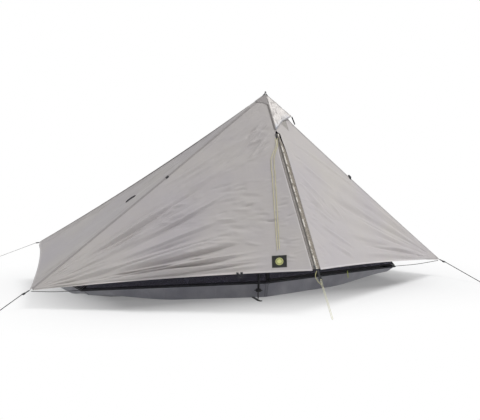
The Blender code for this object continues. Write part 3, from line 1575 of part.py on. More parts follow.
def build_tie_cord(eye):
    """The doubled cord that hangs from the door loop down the left door."""
    door = DOORS[LEFT]
    drop = (PORCH_POINT - ZIP_TOP).length
    height = TIE_CORD_RADIUS + TIE_CORD_STANDOFF
    strands = []
    for spread in (-1, 1):
        strand = []
        for k in range(TIE_CORD_STEPS + 1):
            share = k / TIE_CORD_STEPS
            aside = TIE_CORD_TOP_ASIDE + (TIE_CORD_FOOT_ASIDE - TIE_CORD_TOP_ASIDE) * share
            apart = TIE_CORD_TOP_APART + (TIE_CORD_FOOT_APART - TIE_CORD_TOP_APART) * share
            p = 1.0 - (aside - spread * apart / 2) / FRONT_CORNER_SPAN
            level = TIE_CORD_TOP + (TIE_CORD_FOOT - TIE_CORD_TOP) * share
            q = level / (drop * p)
            strand.append(door.cloth(p, q, height))
        strands.append(strand)
    for side, strand in zip((LEFT, RIGHT), strands):
        for x, level in TIE_CORD_KNOTS[side]:
            strand.insert(0, ZIP_TOP + ACROSS * x + PORCH_LINE * level + ZIP_OUTWARD * height)
    left, right = strands
    rest = eye + PORCH_LINE * (DOOR_LOOP_EYE - TIE_CORD_RADIUS - 2 * TOUCH_GAP)
    high = rest + ACROSS * TIE_CORD_TURN
    low = rest - ACROSS * TIE_CORD_TURN
    middle = [low, rest, high]
    route = smooth_route([*reversed(left), *middle, *right], 2)
    return tube("tie_cord", route, TIE_CORD_RADIUS, pale_cord("tie_cord"))


def ladder_buckle(name, place):
    """A two-slot buckle lying in its frame's XY plane, X along the strap."""
    outline = rounded_box_outline(BUCKLE_LENGTH, BUCKLE_WIDTH, BUCKLE_CORNER)
    slots = []
    for end, width in ((-1, BUCKLE_SLOT_WIDTH), (1, BUCKLE_CORD_SLOT_WIDTH)):
        middle = end * (BUCKLE_LENGTH / 2 - BUCKLE_BAR - BUCKLE_SLOT / 2)
        corners = ((-1, -1), (1, -1), (1, 1), (-1, 1))
        slots.append([(middle + sx * BUCKLE_SLOT / 2, sy * width / 2) for sx, sy in corners])
    return plate(name, [outline, *slots], BUCKLE_THICKNESS, black_plastic(name), place)


def strap_frame(start, peg):
    """Frame at a hem corner: X towards the peg, Y level, Z the strap's upper side."""
    along = (peg - start).normalized()
    level = UP.cross(along).normalized()
    return frame_of(along, level, along.cross(level), start)


def strap_round_bar(name, frame, length, gap):
    """A strap that runs out to a buckle, over its near bar, down the slot and back under it."""
    bar_start = length
    slot_middle = bar_start + BUCKLE_BAR + BUCKLE_SLOT / 2
    clear = BUCKLE_THICKNESS / 2 + gap + WEBBING / 2
    path = [
        (0.0, 0.0),
        (bar_start - clear * 2, 0.0),
        (bar_start - clear / 2, clear),
        (slot_middle - WEBBING / 2, clear),
        (slot_middle, clear - WEBBING / 2),
        (slot_middle, WEBBING / 2 - clear),
        (slot_middle - WEBBING / 2, -clear),
        (bar_start - clear, -clear),
    ]
    side_on = Matrix.Rotation(math.pi / 2, 4, "X")
    return bent_strip(name, path, WEBBING, STRAP_WIDTH, black_webbing(name), frame @ side_on)


def buckle_place(frame, length):
    """Where the buckle sits on a strap of the given length."""
    return frame @ Matrix.Translation((length + BUCKLE_LENGTH / 2, 0.0, 0.0))


def over_bar(slot, clear):
    """How a cord comes up through a slot and over the buckle's outer bar: along and above."""
    past = slot + BUCKLE_SLOT / 2 + BUCKLE_BAR
    return [
        (slot - GUY_RADIUS, -clear - GUY_RADIUS),
        (slot, -clear / 2),
        (slot, clear / 2),
        (slot + GUY_RADIUS / 2, clear + GUY_RADIUS / 4),
        (slot + BUCKLE_SLOT, clear + GUY_RADIUS / 2),
        (past + GUY_RADIUS / 2, clear + GUY_RADIUS / 4),
        (past + GUY_RADIUS * 3, clear * 2 / 3),
    ]


def guy_route(frame, length, peg):
    """A guyline from its buckle's far slot over the bar and to the eye that takes its peg."""
    slot = length + BUCKLE_LENGTH - BUCKLE_BAR - BUCKLE_SLOT / 2
    clear = BUCKLE_THICKNESS / 2 + TOUCH_GAP + GUY_RADIUS
    start = [frame @ Vector((x, 0.0, z)) for x, z in over_bar(slot, clear)]
    hold = peg + UP * GUY_TURN_HEIGHT
    heading = hold - start[-1]
    heading.z = 0.0
    heading.normalize()
    aside = UP.cross(heading)
    turn = GUY_EYE_RADIUS
    leave = hold - heading * GUY_EYE_LENGTH
    loop = [leave, hold - heading * turn * 2 + aside * turn]
    for k in range(5):
        angle = math.pi * k / 4
        loop.append(hold + aside * (turn * math.cos(angle)) + heading * (turn * math.sin(angle)))
    loop += [hold - heading * turn * 2 - aside * turn, leave - aside * (GUY_RADIUS * 2 + TOUCH_GAP)]
    run = loop[0] - start[-1]
    lead = run.normalized() * GUY_EYE_LENGTH / 2
    near = smooth_route([*start, start[-1] + lead], 2)
    far = smooth_route([loop[0] - lead, *loop], 2)
    between = [near[-1].lerp(far[0], share) for share in (0.25, 0.5, 0.75)]
    return [*near, *between, *far]


def build_corners():
    """Straps with their buckles, and guylines, at the five hem corners."""
    starts = {
        "front_left": ENDS[LEFT].far[0],
        "front_right": ENDS[RIGHT].far[0],
        "rear_left": rear_corner(LEFT),
        "rear_right": rear_corner(RIGHT),
        "rear": REAR_POINT.copy(),
    }
    for word, corner in starts.items():
        peg = PEG_PLACES[word]
        hold = peg + UP * GUY_TURN_HEIGHT
        start = corner + (hold - corner).normalized() * STRAP_STARTS[word]
        frame = strap_frame(start, hold)
        name = f"corner_strap_{word}"
        strap = as_mesh(strap_round_bar(name, frame, STRAP_LENGTH, -STRAP_BITE))
        buckle = as_mesh(ladder_buckle("buckle", buckle_place(frame, STRAP_LENGTH)), CUTTERS)
        combine(strap, buckle, "UNION")
        strap.name = name
        strap.data.materials.clear()
        strap.data.materials.append(black_webbing(name))
        name = f"guyline_{word}"
        tube(name, guy_route(frame, STRAP_LENGTH, peg), GUY_RADIUS, dark_cord(name))


def build_porch_tie():
    """Strap, buckle, guyline and pale cord at the foot of the zip."""
    start = PORCH_POINT - PORCH_LINE * (ZIP_FOOT_MARGIN - PORCH_STRAP_GAP)
    start += ACROSS * PORCH_STRAP_ASIDE - ZIP_OUTWARD * TAPE_THICKNESS / 2
    peg = PEG_PLACES["porch"]
    end = peg + UP * GUY_TURN_HEIGHT
    frame = strap_frame(start, end)
    side_on = Matrix.Rotation(math.pi / 2, 4, "X")
    length = PORCH_BUCKLE_DROP
    strap_round_bar("porch_strap", frame, length, TOUCH_GAP)
    ladder_buckle("porch_buckle", buckle_place(frame, length))
    slot = length + BUCKLE_LENGTH - BUCKLE_BAR - BUCKLE_SLOT / 2
    clear = BUCKLE_THICKNESS / 2 + TOUCH_GAP + GUY_RADIUS
    half = PORCH_CORD_APART / 2
    reach = (end - start).length
    bar = [(x, half, z) for x, z in over_bar(slot, clear)[1:]]
    lead = GUY_EYE_LENGTH / 2
    near = [*bar, (bar[-1][0] + lead, half, 0.0), (bar[-1][0] + 2 * lead, half, 0.0)]
    far = [(reach - 3 * lead, half, 0.0), (reach - 2 * lead, half, 0.0), (reach - half, half, 0.0)]
    far += [
        (reach - half + half * math.sin(math.pi * k / 8), half * math.cos(math.pi * k / 8), 0.0)
        for k in (2, 4)
    ]
    strand = [*smooth_route(near, 2), *smooth_route(far, 2)]
    mirrored = [Vector((point.x, -point.y, point.z)) for point in reversed(strand[:-1])]
    route = [frame @ point for point in [*strand, *mirrored]]
    tube("guyline_porch", route, GUY_RADIUS, pale_cord("guyline_porch"))

    bow = [frame @ Vector((along, aside, 0.0)) for along, aside in PORCH_BOW]
    tube("porch_cord", smooth_route(bow, 4), TIE_CORD_RADIUS, pale_cord("porch_cord"))


def build_floor_cords():
    """Cords from the floor's corners to the canopy's corners."""
    for word, side in SIDES.items():
        for place, ring_index, corner in (
            ("front", 5 if side == LEFT else 1, ENDS[side].far[0]),
            ("rear", 4 if side == LEFT else 2, ENDS[side].far[1]),
        ):
            rim = RIM_CORNERS[ring_index] - UP * FLOOR_CORD_DROP
            heading = (corner - rim).normalized()
            aside = Vector((rim.x, rim.y, 0.0)).normalized() * FLOOR_CORD_ASIDES[place]
            low = rim + heading * FLOOR_CORD_STARTS[place] + aside
            high = corner - heading * FLOOR_CORD_END - UP * FLOOR_CORD_UNDER
            middle = (low + high) / 2 - UP * FLOOR_CORD_SAG
            name = f"floor_cord_{place}_{word}"
            tube(name, smooth_route([low, middle, high], 4), FLOOR_CORD_RADIUS, dark_cord(name))


def build_foot_strap():
    """The strap on the ground under the pole, with a hole for the tip."""
    foot = Vector((POLE_FOOT.x, POLE_FOOT.y))
    edge_share = abs(FOOT_STRAP_EDGE_X) / FLOOR_HALF_LENGTH
    edge = FLOOR_CORNERS[0].lerp(FLOOR_CORNERS[5], edge_share)
    away = (foot - edge.to_2d()).normalized()
    normal = Vector((-away.y, away.x))
    front = (FLOOR_CORNERS[5] - FLOOR_CORNERS[0]).to_2d().normalized()
    slant = front.dot(away) / front.dot(normal)
    clear = FOOT_STRAP_START / abs(normal.dot(front))
    half = FOOT_STRAP_WIDTH / 2
    reach = (foot - edge.to_2d()).length

    def spot(along, across):
        point = edge.to_2d() + away * along + normal * across - foot
        return (point.x, point.y)

    bend = [
        (reach + FOOT_STRAP_TAIL * share, FOOT_STRAP_CURL * share**2) for share in (0.4, 0.7, 1.0)
    ]
    outline = [spot(clear + half * slant, half)]
    outline += [spot(reach, half)]
    outline += [spot(along, half + shift) for along, shift in bend]
    outline += [spot(along, shift - half) for along, shift in reversed(bend)]
    outline += [spot(reach, -half), spot(clear - half * slant, -half)]
    hole = circle_outline(FOOT_STRAP_HOLE, steps=24)
    lift = Matrix.Translation((foot.x, foot.y, WEBBING / 2))
    return plate("foot_strap", [outline, hole], WEBBING, black_webbing("foot_strap"), lift)


def build_all():
    """The whole tent."""
    canopy = build_canopy()
    build_vent_mesh()
    build_vent()
    porch = build_porch_zip()
    build_peak()
    build_pole()
    build_floor()
    build_mesh()
    build_foot_strap()
    build_floor_cords()
    build_corners()
    eye = build_ties()
    build_tie_cord(eye)
    build_porch_tie()
    left = make_pivot("door_left_hinge", ZIP_TOP)
    right = make_pivot("door_right_hinge", ZIP_TOP)
    on_left = ("door_loop", "tie_cord", "badge_patch", "hem_tie")
    on_right = ("porch_strap", "porch_buckle", "guyline_porch", "porch_cord")
    hang_on(left, canopy["door_left"], porch["porch_zip_left"], porch["porch_zip_slider"])
    hang_on(left, *(bpy.data.objects[name] for name in on_left))
    hang_on(right, canopy["door_right"], porch["porch_zip_right"])
    hang_on(right, *(bpy.data.objects[name] for name in on_right))


build_all()
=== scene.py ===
"""Looks of a one-person pyramid tent: cloth, zips, webbing, cords, floor, mesh and pole.

Lengths are in metres and +Z is up. The porch faces -Y and the tent's length runs along X.
"""

from __future__ import annotations

import logging
import math
from dataclasses import dataclass, field
from enum import Enum
from typing import Callable, Sequence

import bmesh
import bpy
import numpy as np
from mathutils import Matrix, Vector


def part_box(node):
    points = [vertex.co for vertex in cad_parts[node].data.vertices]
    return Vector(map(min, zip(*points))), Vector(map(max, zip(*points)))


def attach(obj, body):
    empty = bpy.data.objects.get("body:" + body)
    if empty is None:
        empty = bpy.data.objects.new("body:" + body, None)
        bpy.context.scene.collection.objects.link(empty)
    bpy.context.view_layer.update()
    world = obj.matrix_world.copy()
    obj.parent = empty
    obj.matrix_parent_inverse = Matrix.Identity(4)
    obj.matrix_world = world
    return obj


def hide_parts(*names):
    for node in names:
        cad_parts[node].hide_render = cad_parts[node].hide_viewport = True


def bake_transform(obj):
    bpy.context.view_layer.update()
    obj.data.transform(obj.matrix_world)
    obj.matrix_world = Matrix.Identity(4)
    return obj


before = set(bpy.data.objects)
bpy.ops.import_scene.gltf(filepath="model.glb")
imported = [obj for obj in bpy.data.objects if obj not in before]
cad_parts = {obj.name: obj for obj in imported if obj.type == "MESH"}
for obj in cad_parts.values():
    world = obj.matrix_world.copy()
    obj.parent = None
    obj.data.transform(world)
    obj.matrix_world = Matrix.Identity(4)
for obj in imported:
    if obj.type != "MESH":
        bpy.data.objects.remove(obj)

Array = np.ndarray
Object = bpy.types.Object
Material = bpy.types.Material

LOG = logging.getLogger("tent")

PEAK = np.array((0.0, -0.660, 1.250))
PORCH_POINT = np.array((0.0, -1.326, 0.259))
REAR_POINT = np.array((0.0, 0.820, 0.200))
UP = np.array((0.0, 0.0, 1.0))
ACROSS = np.array((1.0, 0.0, 0.0))
ZIP_TOP_DROP = 0.256
ZIP_TAPE_DROP = 0.282
FRONT_RIDGE_LENGTH = 1.8409
POLE_FOOT = np.array((-0.095, -0.760, 0.0008))
MIRROR = np.array((-1.0, 1.0, 1.0))
HEM_WIDTH = 0.012
BADGE_WIDTH, BADGE_HEIGHT = 0.088, 0.076


class Side(Enum):
    """The two ends of the tent."""

    LEFT = -1
    RIGHT = 1

    @property
    def word(self) -> str:
        """Name used in the names of pieces."""
        return self.name.lower()

    @property
    def door(self) -> str:
        """Body that carries this side's door."""
        return f"{self.word}_door"


class Held(Enum):
    """How a cloth is held up."""

    STRETCHED = "stretched"
    HUNG = "hung"
    LAID = "laid"
    FOLDED = "folded"


def unit(vector: Array) -> Array:
    """The vector, or each row of an array of them, at length 1."""
    vector = np.asarray(vector, float)
    return vector / np.maximum(np.linalg.norm(vector, axis=-1, keepdims=True), 1e-12)


def distance(a: Array, b: Array) -> float:
    """Distance between two points."""
    return float(np.linalg.norm(a - b))


def lerp(a: Array, b: Array, share: Array) -> Array:
    """Straight blend from a to b, with one share for each point."""
    share = np.asarray(share, float)[..., None]
    return np.asarray(a) * (1.0 - share) + np.asarray(b) * share


def smooth(value: Array, low: float, high: float) -> Array:
    """Rises from 0 to 1 between low and high, as 3t^2 - 2t^3."""
    t = np.clip((np.asarray(value, float) - low) / (high - low), 0.0, 1.0)
    return t * t * (3.0 - 2.0 * t)


def front_corner(side: Side) -> Array:
    """Canopy corner beside the porch."""
    return np.array((side.value * 1.428, -0.436, 0.110))


def rear_corner(side: Side) -> Array:
    """Canopy corner behind the sleeper."""
    return np.array((side.value * 1.102, 0.487, 0.260))


PORCH_LINE = unit(PORCH_POINT - PEAK)
PORCH_LENGTH = distance(PORCH_POINT, PEAK)
ZIP_TOP = PEAK + PORCH_LINE * ZIP_TOP_DROP
ZIP_SHARE = ZIP_TOP_DROP / PORCH_LENGTH
ZIP_OUTWARD = unit(np.cross(PORCH_LINE, ACROSS))


def rounded_route(points: Array, step: float) -> Array:
    """A route through the points, as evenly spaced as step asks.

    Each span is a Catmull-Rom cubic: it passes through its two points and leaves each of
    them along the line between that point's neighbours.

    Args:
        points: The points in order, as rows.
        step: Spacing wanted between the points of the result.

    Returns:
        The route's points, as rows.
    """
    points = np.asarray(points, float)
    ends = np.vstack([2 * points[:1] - points[1:2], points, 2 * points[-1:] - points[-2:-1]])
    parts = []
    for k in range(len(points) - 1):
        p0, p1, p2, p3 = ends[k : k + 4]
        count = max(1, round(distance(p2, p1) / step))
        t = (np.arange(count) / count)[:, None]
        parts.append(
            0.5
            * (
                2 * p1
                + (p2 - p0) * t
                + (2 * p0 - 5 * p1 + 4 * p2 - p3) * t**2
                + (3 * p1 - p0 - 3 * p2 + p3) * t**3
            )
        )
    return np.vstack([*parts, points[-1:]])


def route_length(points: Array) -> float:
    """Length of a route."""
    return float(np.linalg.norm(np.diff(points, axis=0), axis=1).sum())


def tangents(points: Array) -> Array:
    """Unit direction of a route at each of its points."""
    return unit(np.gradient(np.asarray(points, float), axis=0))


def grid_faces(rows: int, columns: int, round_columns: bool = False) -> Array:
    """Quads of a grid of points stored row by row.

    Args:
        rows: Number of rows of points.
        columns: Number of points in a row.
        round_columns: Whether the last column joins the first again.

    Returns:
        The four corner numbers of each quad, as rows.
    """
    across = np.arange(columns if round_columns else columns - 1)
    down = np.arange(rows - 1)[:, None]
    beside = (across + 1) % columns
    quads = np.stack(
        [
            down * columns + across, down * columns + beside, (down + 1) * columns + beside,
            (down + 1) * columns + across,
        ],
        axis=-1,
    )
    return quads.reshape(-1, 4)


def new_object(
    name: str,
    points: Array,
    faces: Array | list,
    uv: Array | None = None,
    layers: dict[str, Array] | None = None,
) -> Object:
    """A smooth-shaded mesh object at the origin.

    Args:
        name: Name of the piece.
        points: Its points, as rows.
        faces: Corner numbers of its faces.
        uv: A pair of map coordinates for each point, in metres.
        layers: Values for each point, by name, that its material reads.

    Returns:
        The object.
    """
    mesh = bpy.data.meshes.new(name)
    mesh.from_pydata(np.asarray(points, float).tolist(), [], faces.tolist() if isinstance(faces, Array) else faces)
    if uv is not None:
        corner_points = np.empty(len(mesh.loops), np.int32)
        mesh.loops.foreach_get("vertex_index", corner_points)
        layer = mesh.uv_layers.new(name="UVMap")
        layer.data.foreach_set("uv", np.asarray(uv, np.float32)[corner_points].ravel())
    for word, values in (layers or {}).items():
        mesh.attributes.new(word, "FLOAT", "POINT").data.foreach_set("value", np.asarray(values, np.float32).ravel())
    mesh.polygons.foreach_set("use_smooth", np.ones(len(mesh.polygons), bool))
    mesh.update()
    obj = bpy.data.objects.new(name, mesh)
    bpy.context.scene.collection.objects.link(obj)
    return obj


def grid_object(
    name: str,
    spots: Array,
    uv: Array | None = None,
    layers: dict[str, Array] | None = None,
    closed: bool = False,
) -> Object:
    """A sheet whose points lie on a grid.

    Args:
        name: Name of the piece.
        spots: Its points, by row, column and axis.
        uv: A pair of map coordinates for each point, in metres.
        layers: Values for each point, by name, that its material reads.
        closed: Whether the last column joins the first again.

    Returns:
        The object.
    """
    faces = grid_faces(*spots.shape[:2], closed)
    return new_object(name, spots.reshape(-1, 3), faces, None if uv is None else uv.reshape(-1, 2), layers)


def outward_faces(obj: Object, sharp: float | None = 40.0) -> Object:
    """Turns a closed mesh's faces outwards and marks its sharp edges.

    Args:
        obj: The object with the closed mesh.
        sharp: Angle in degrees past which an edge is sharp, or None for none.

    Returns:
        The same object.
    """
    bm = bmesh.new()
    bm.from_mesh(obj.data)
    bmesh.ops.remove_doubles(bm, verts=bm.verts[:], dist=1e-6)
    bmesh.ops.recalc_face_normals(bm, faces=bm.faces[:])
    bm.to_mesh(obj.data)
    bm.free()
    if sharp is not None:
        obj.data.set_sharp_from_angle(angle=math.radians(sharp))
    return obj


def sweep(
    name: str,
    path: Array,
    across: Array,
    upward: Array,
    profile: Array,
    scale: Array | None = None,
    sharp: float | None = 40.0,
) -> Object:
    """A closed bar: a profile carried along a path and capped at both ends.

    A point is path + across * profile x * scale + upward * profile y * scale.

    Args:
        name: Name of the piece.
        path: Points of the path, as rows.
        across: The profile's X direction at each point, or one for all.
        upward: The profile's Y direction at each point, or one for all.
        profile: Corners of the closed profile, as rows of two numbers.
        scale: Size of the profile at each point of the path.
        sharp: Angle in degrees past which an edge is sharp.

    Returns:
        The object, whose UV map is metres round the profile and along the path.
    """
    path = np.asarray(path, float)
    profile = np.asarray(profile, float)
    rows, columns = len(path), len(profile)
    across = np.broadcast_to(across, path.shape)
    upward = np.broadcast_to(upward, path.shape)
    size = np.ones(rows) if scale is None else np.asarray(scale, float)
    points = (
        path[:, None]
        + across[:, None] * (profile[None, :, 0, None] * size[:, None, None])
        + upward[:, None] * (profile[None, :, 1, None] * size[:, None, None])
    )
    steps = np.linalg.norm(profile - np.roll(profile, 1, axis=0), axis=1)
    round_it = np.cumsum(steps) - steps[0]
    along = np.concatenate([[0.0], np.cumsum(np.linalg.norm(np.diff(path, axis=0), axis=1))])
    uv = np.stack(np.broadcast_arrays(round_it[None, :], along[:, None]), axis=-1)
    faces = grid_faces(rows, columns, True).tolist()
    faces.append(list(range(columns))[::-1])
    faces.append([(rows - 1) * columns + k for k in range(columns)])
    obj = new_object(name, points.reshape(-1, 3), faces, uv.reshape(-1, 2))
    return outward_faces(obj, sharp)


def strip_profile(width: float, thickness: float, round_off: float = 0.3) -> Array:
    """Cross-section of a flat strip: a box whose corners are cut at 45 degrees."""
    w, t = width / 2, thickness / 2
    c = thickness * round_off
    x = (-w + c, 0.0, w - c, w, w, w - c, 0.0, -w + c, -w, -w)
    y = (-t, -t, -t, -t + c, t - c, t, t, t, t - c, -t + c)
    return np.column_stack([x, y])


def tube(name: str, path: Array, radius: float, sides: int = 8) -> Object:
    """A round bar along a path, its profile kept level with a reference that never turns."""
    path = np.asarray(path, float)
    along = tangents(path)
    mean = unit(path[-1] - path[0])
    spare = ACROSS if abs(mean @ ACROSS) < 0.7 else np.array((0.0, 1.0, 0.0))
    side = unit(np.cross(along, spare))
    # Carries each side vector on from the one before, so that the tube never twists
    for k in range(1, len(side)):
        carried = side[k - 1] - along[k] * (side[k - 1] @ along[k])
        side[k] = carried / np.linalg.norm(carried)
    turn = 2 * np.pi * np.arange(sides) / sides
    profile = radius * np.column_stack([np.cos(turn), np.sin(turn)])
    return sweep(name, path, side, np.cross(along, side), profile, sharp=60.0)


def give_thickness(obj: Object, thickness: float, offset: float = -1.0) -> None:
    """A cloth's thickness, on the side away from its faces."""
    wall = obj.modifiers.new("cloth", "SOLIDIFY")
    wall.thickness = thickness
    wall.offset = offset


class Signal:
    """A shader socket that takes part in Python expressions, each of which adds a node."""

    def __init__(self, recipe: "Recipe", socket: bpy.types.NodeSocket) -> None:
        """Wraps a socket of a recipe's nodes."""
        self.recipe = recipe
        self.socket = socket

    def math(self, operation: str, *values: "Signal | float") -> "Signal":
        """The result of a Math node whose first value is this one."""
        numbers = dict(enumerate((self, *values)))
        return self.recipe.node("ShaderNodeMath", {"operation": operation}, numbers)

    def __add__(self, other: "Signal | float") -> "Signal":
        """Sum."""
        return self.math("ADD", other)

    __radd__ = __add__

    def __mul__(self, other: "Signal | float") -> "Signal":
        """Product."""
        return self.math("MULTIPLY", other)

    __rmul__ = __mul__

    def __sub__(self, other: "Signal | float") -> "Signal":
        """Difference."""
        return self.math("SUBTRACT", other)

    def __rsub__(self, other: float) -> "Signal":
        """Difference from a number."""
        return (self * -1.0) + other

    def __truediv__(self, other: "Signal | float") -> "Signal":
        """Quotient."""
        return self.math("DIVIDE", other)

    def __pow__(self, other: float) -> "Signal":
        """Power."""
        return self.math("POWER", other)

    def __abs__(self) -> "Signal":
        """Absolute value."""
        return self.math("ABSOLUTE")

    def __or__(self, other: "Signal | float") -> "Signal":
        """The larger of the two."""
        return self.math("MAXIMUM", other)

    def clamp(self) -> "Signal":
        """Held between 0 and 1."""
        return self.math("MINIMUM", 1.0) | 0.0

    def ramp(self, low: float, high: float) -> "Signal":
        """Rises straight from 0 at low to 1 at high."""
        return ((self - low) / (high - low)).clamp()

    def wave(self, pitch: float) -> "Signal":
        """A sine from -1 to 1 that comes round once to each pitch."""
        return (self * (2 * math.pi / pitch)).math("SINE")

    def line(self, pitch: float, width: float) -> "Signal":
        """1 on lines of a width, one to each pitch, with soft edges."""
        off_middle = abs((self / pitch).math("FRACT") - 0.5)
        return off_middle.ramp(0.5 - width / pitch, 0.5 - 0.5 * width / pitch)

    def band(self, middle: float, half: float, soft: float) -> "Signal":
        """1 within half of the middle, falling to 0 over the soft distance."""
        return 1.0 - abs(self - middle).ramp(half, half + soft)


Value = "Signal | float | tuple"


class Recipe:
    """The nodes of one material."""

    def __init__(self, name: str) -> None:
        """Starts a material with a Principled shader.

        Args:
            name: Name of the material.
        """
        self.material = bpy.data.materials.new(name)
        self.material.use_nodes = True
        self.tree = self.material.node_tree
        self.tree.nodes.clear()
        self.shader = self.tree.nodes.new("ShaderNodeBsdfPrincipled")
        output = self.tree.nodes.new("ShaderNodeOutputMaterial")
        self.tree.links.new(self.shader.outputs[0], output.inputs[0])

    def feed(self, socket: bpy.types.NodeSocket, value: Value) -> None:
        """Links a signal to a socket, or sets the socket's own value."""
        if isinstance(value, Signal):
            self.tree.links.new(value.socket, socket)
        elif isinstance(value, tuple) and len(value) == 3 and socket.type == "RGBA":
            socket.default_value = (*value, 1.0)
        else:
            socket.default_value = value

    def node(
        self, kind: str, settings: dict | None = None, values: dict | None = None, output: int | str = 0,
    ) -> Signal:
        """Any node: its settings first, then the values or links of its sockets.

        Args:
            kind: The node's type.
            settings: Its properties.
            values: What its inputs take, by name or number.
            output: Which output is wanted.

        Returns:
            That output as a signal.
        """
        made = self.tree.nodes.new(kind)
        for word, value in (settings or {}).items():
            setattr(made, word, value)
        for word, value in (values or {}).items():
            self.feed(made.inputs[word], value)
        return Signal(self, made.outputs[output])

    def place(self) -> Signal:
        """Object coordinates."""
        return self.node("ShaderNodeTexCoord", output="Object")

    def map(self) -> tuple[Signal, Signal]:
        """The two coordinates of the piece's own UV map, in metres."""
        uv = self.node("ShaderNodeTexCoord", output="UV")
        axes = [self.node("ShaderNodeSeparateXYZ", {}, {0: uv}, axis) for axis in (0, 1)]
        return axes[0], axes[1]

    def layer(self, name: str) -> Signal:
        """A number stored at the mesh's points."""
        return self.node("ShaderNodeAttribute", {"attribute_name": name}, output="Fac")

    def noise(self, scale: float, detail: float = 3.0, where: Signal | None = None, rough: float = 0.55) -> Signal:
        """Noise of so many cells to the metre, from 0 to 1."""
        values = {"Vector": where or self.place(), "Scale": scale, "Detail": detail, "Roughness": rough}
        return self.node("ShaderNodeTexNoise", {}, values, "Fac")

    def mix(self, first: Value, second: Value, share: Signal | float) -> Signal:
        """Colour between two colours."""
        settings = {"data_type": "RGBA", "clamp_factor": True}
        return self.node("ShaderNodeMix", settings, {0: share, 6: first, 7: second}, 2)

    def shade(self, colour: Value, amount: Signal) -> Signal:
        """A colour made brighter or darker by a factor."""
        values = {0: colour, "Scale": amount}
        return self.node("ShaderNodeVectorMath", {"operation": "SCALE"}, values)

    def bump(self, height: Signal, distance: float, strength: float = 1.0, under: Signal | None = None) -> Signal:
        """A normal bent by a height from 0 to 1 that stands for a distance in metres."""
        values = {"Height": height, "Distance": distance, "Strength": strength}
        if under is not None:
            values["Normal"] = under
        return self.node("ShaderNodeBump", {}, values, "Normal")

    def finish(self, varying: dict[str, Value], constant: dict[str, float | tuple] | None = None) -> Material:
        """Feeds the shader and returns the material.

        Args:
            varying: What feeds the shader's inputs.
            constant: What is the same all over, set on the shader's own inputs.

        Returns:
            The finished material.
        """
        for word, value in (constant or {}).items():
            self.feed(self.shader.inputs[word], value)
        for word, value in varying.items():
            self.feed(self.shader.inputs[word], value)
        return self.material


def srgb(red: int, green: int, blue: int) -> tuple[float, float, float]:
    """A colour given as screen values from 0 to 255, as linear light."""
    values = [c / 255 for c in (red, green, blue)]
    linear = [c / 12.92 if c <= 0.04045 else ((c + 0.055) / 1.055) ** 2.4 for c in values]
    return linear[0], linear[1], linear[2]


Colour = tuple[float, float, float]


@dataclass(frozen=True)
class CanopyCloth:
    """Coated ripstop cloth: a fine grid, doubled seams with two rows of stitches, and handling wear."""

    name: str = "canopy_cloth"
    colour: Colour = srgb(183, 178, 174)
    cool: Colour = srgb(175, 170, 172)
    grid: float = 0.005
    band: float = 0.011
    band_shade: float = 0.88
    crinkle: float = 0.0016

    def make(self) -> Material:
        """The material."""
        r = Recipe(self.name)
        u, v = r.map()
        edge, along = r.layer("edge"), r.layer("along")
        ripstop = u.line(self.grid, 0.0006) | v.line(self.grid, 0.0006)
        cloudy = r.noise(2.2, 4.0)
        handled = r.noise(26.0, 5.0, rough=0.7)
        seam = 1.0 - edge.ramp(self.band - 0.0012, self.band)
        stitches = edge.band(0.0022, 0.0004, 0.0003) | edge.band(self.band - 0.0025, 0.0004, 0.0003)
        stitches = stitches * along.line(0.0036, 0.0022)
        colour = r.mix(self.colour, self.cool, cloudy.ramp(0.35, 0.68))
        light = 0.955 + cloudy * 0.05 + handled * 0.045 + ripstop * 0.03
        light = light * (1.0 - seam * (1.0 - self.band_shade))
        colour = r.mix(r.shade(colour, light), srgb(128, 124, 120), stitches * 0.7)
        weave = u.wave(0.00062) + v.wave(0.00062)
        fine = r.bump(weave * 0.25 + 0.5 + ripstop * 0.5, 0.00005, 0.5)
        stretched = r.node("ShaderNodeCombineXYZ", {}, {0: u, 1: v * 0.32, 2: 0.0})
        soft = r.bump(r.noise(46.0, 4.0, stretched, 0.5) + r.noise(14.0, 3.0) * 1.2, self.crinkle, 0.9, fine)
        ridge = r.bump(seam * 0.6 - stitches * 0.5, 0.0007, 0.8, soft)
        return r.finish(
            {"Base Color": colour, "Roughness": 0.50 + handled * 0.14 - seam * 0.03, "Normal": ridge},
            {"Sheen Weight": 0.12, "Sheen Roughness": 0.5, "Specular IOR Level": 0.35},
        )


@dataclass(frozen=True)
class HoodCloth:
    """Near-white crinkled cloth of the vent hood, blue-grey where the light passes through its lip."""

    name: str = "hood_cloth"
    colour: Colour = srgb(222, 217, 213)
    lip: Colour = srgb(186, 192, 204)
    centre: Colour = srgb(104, 100, 98)

    def make(self) -> Material:
        """The material."""
        r = Recipe(self.name)
        u, v = r.map()
        edge, lip = r.layer("edge"), r.layer("lip")
        crease = r.node(
            "ShaderNodeTexVoronoi", {"feature": "DISTANCE_TO_EDGE"},
            {"Vector": r.place(), "Scale": 34.0, "Randomness": 1.0}, "Distance",
        )
        crease = crease.ramp(0.0, 0.16)
        cloudy = r.noise(18.0, 4.0)
        seam = 1.0 - edge.ramp(0.0085, 0.0100)
        colour = r.mix(self.colour, self.lip, (lip.ramp(0.80, 0.97) * cloudy.ramp(0.36, 0.58)) * 0.85)
        # Painted shade: the cloth is darker along its creases.
        colour = r.mix(r.shade(colour, 0.90 + crease * 0.07 + cloudy * 0.06), self.centre, seam * 0.55)
        weave = u.wave(0.0006) + v.wave(0.0006)
        normal = r.bump(weave * 0.25 + 0.5, 0.00004, 0.4)
        normal = r.bump(crease + cloudy, 0.0018, 0.7, normal)
        return r.finish(
            {"Base Color": colour, "Roughness": 0.46 + cloudy * 0.16, "Normal": normal},
            {"Sheen Weight": 0.1, "Specular IOR Level": 0.35},
        )


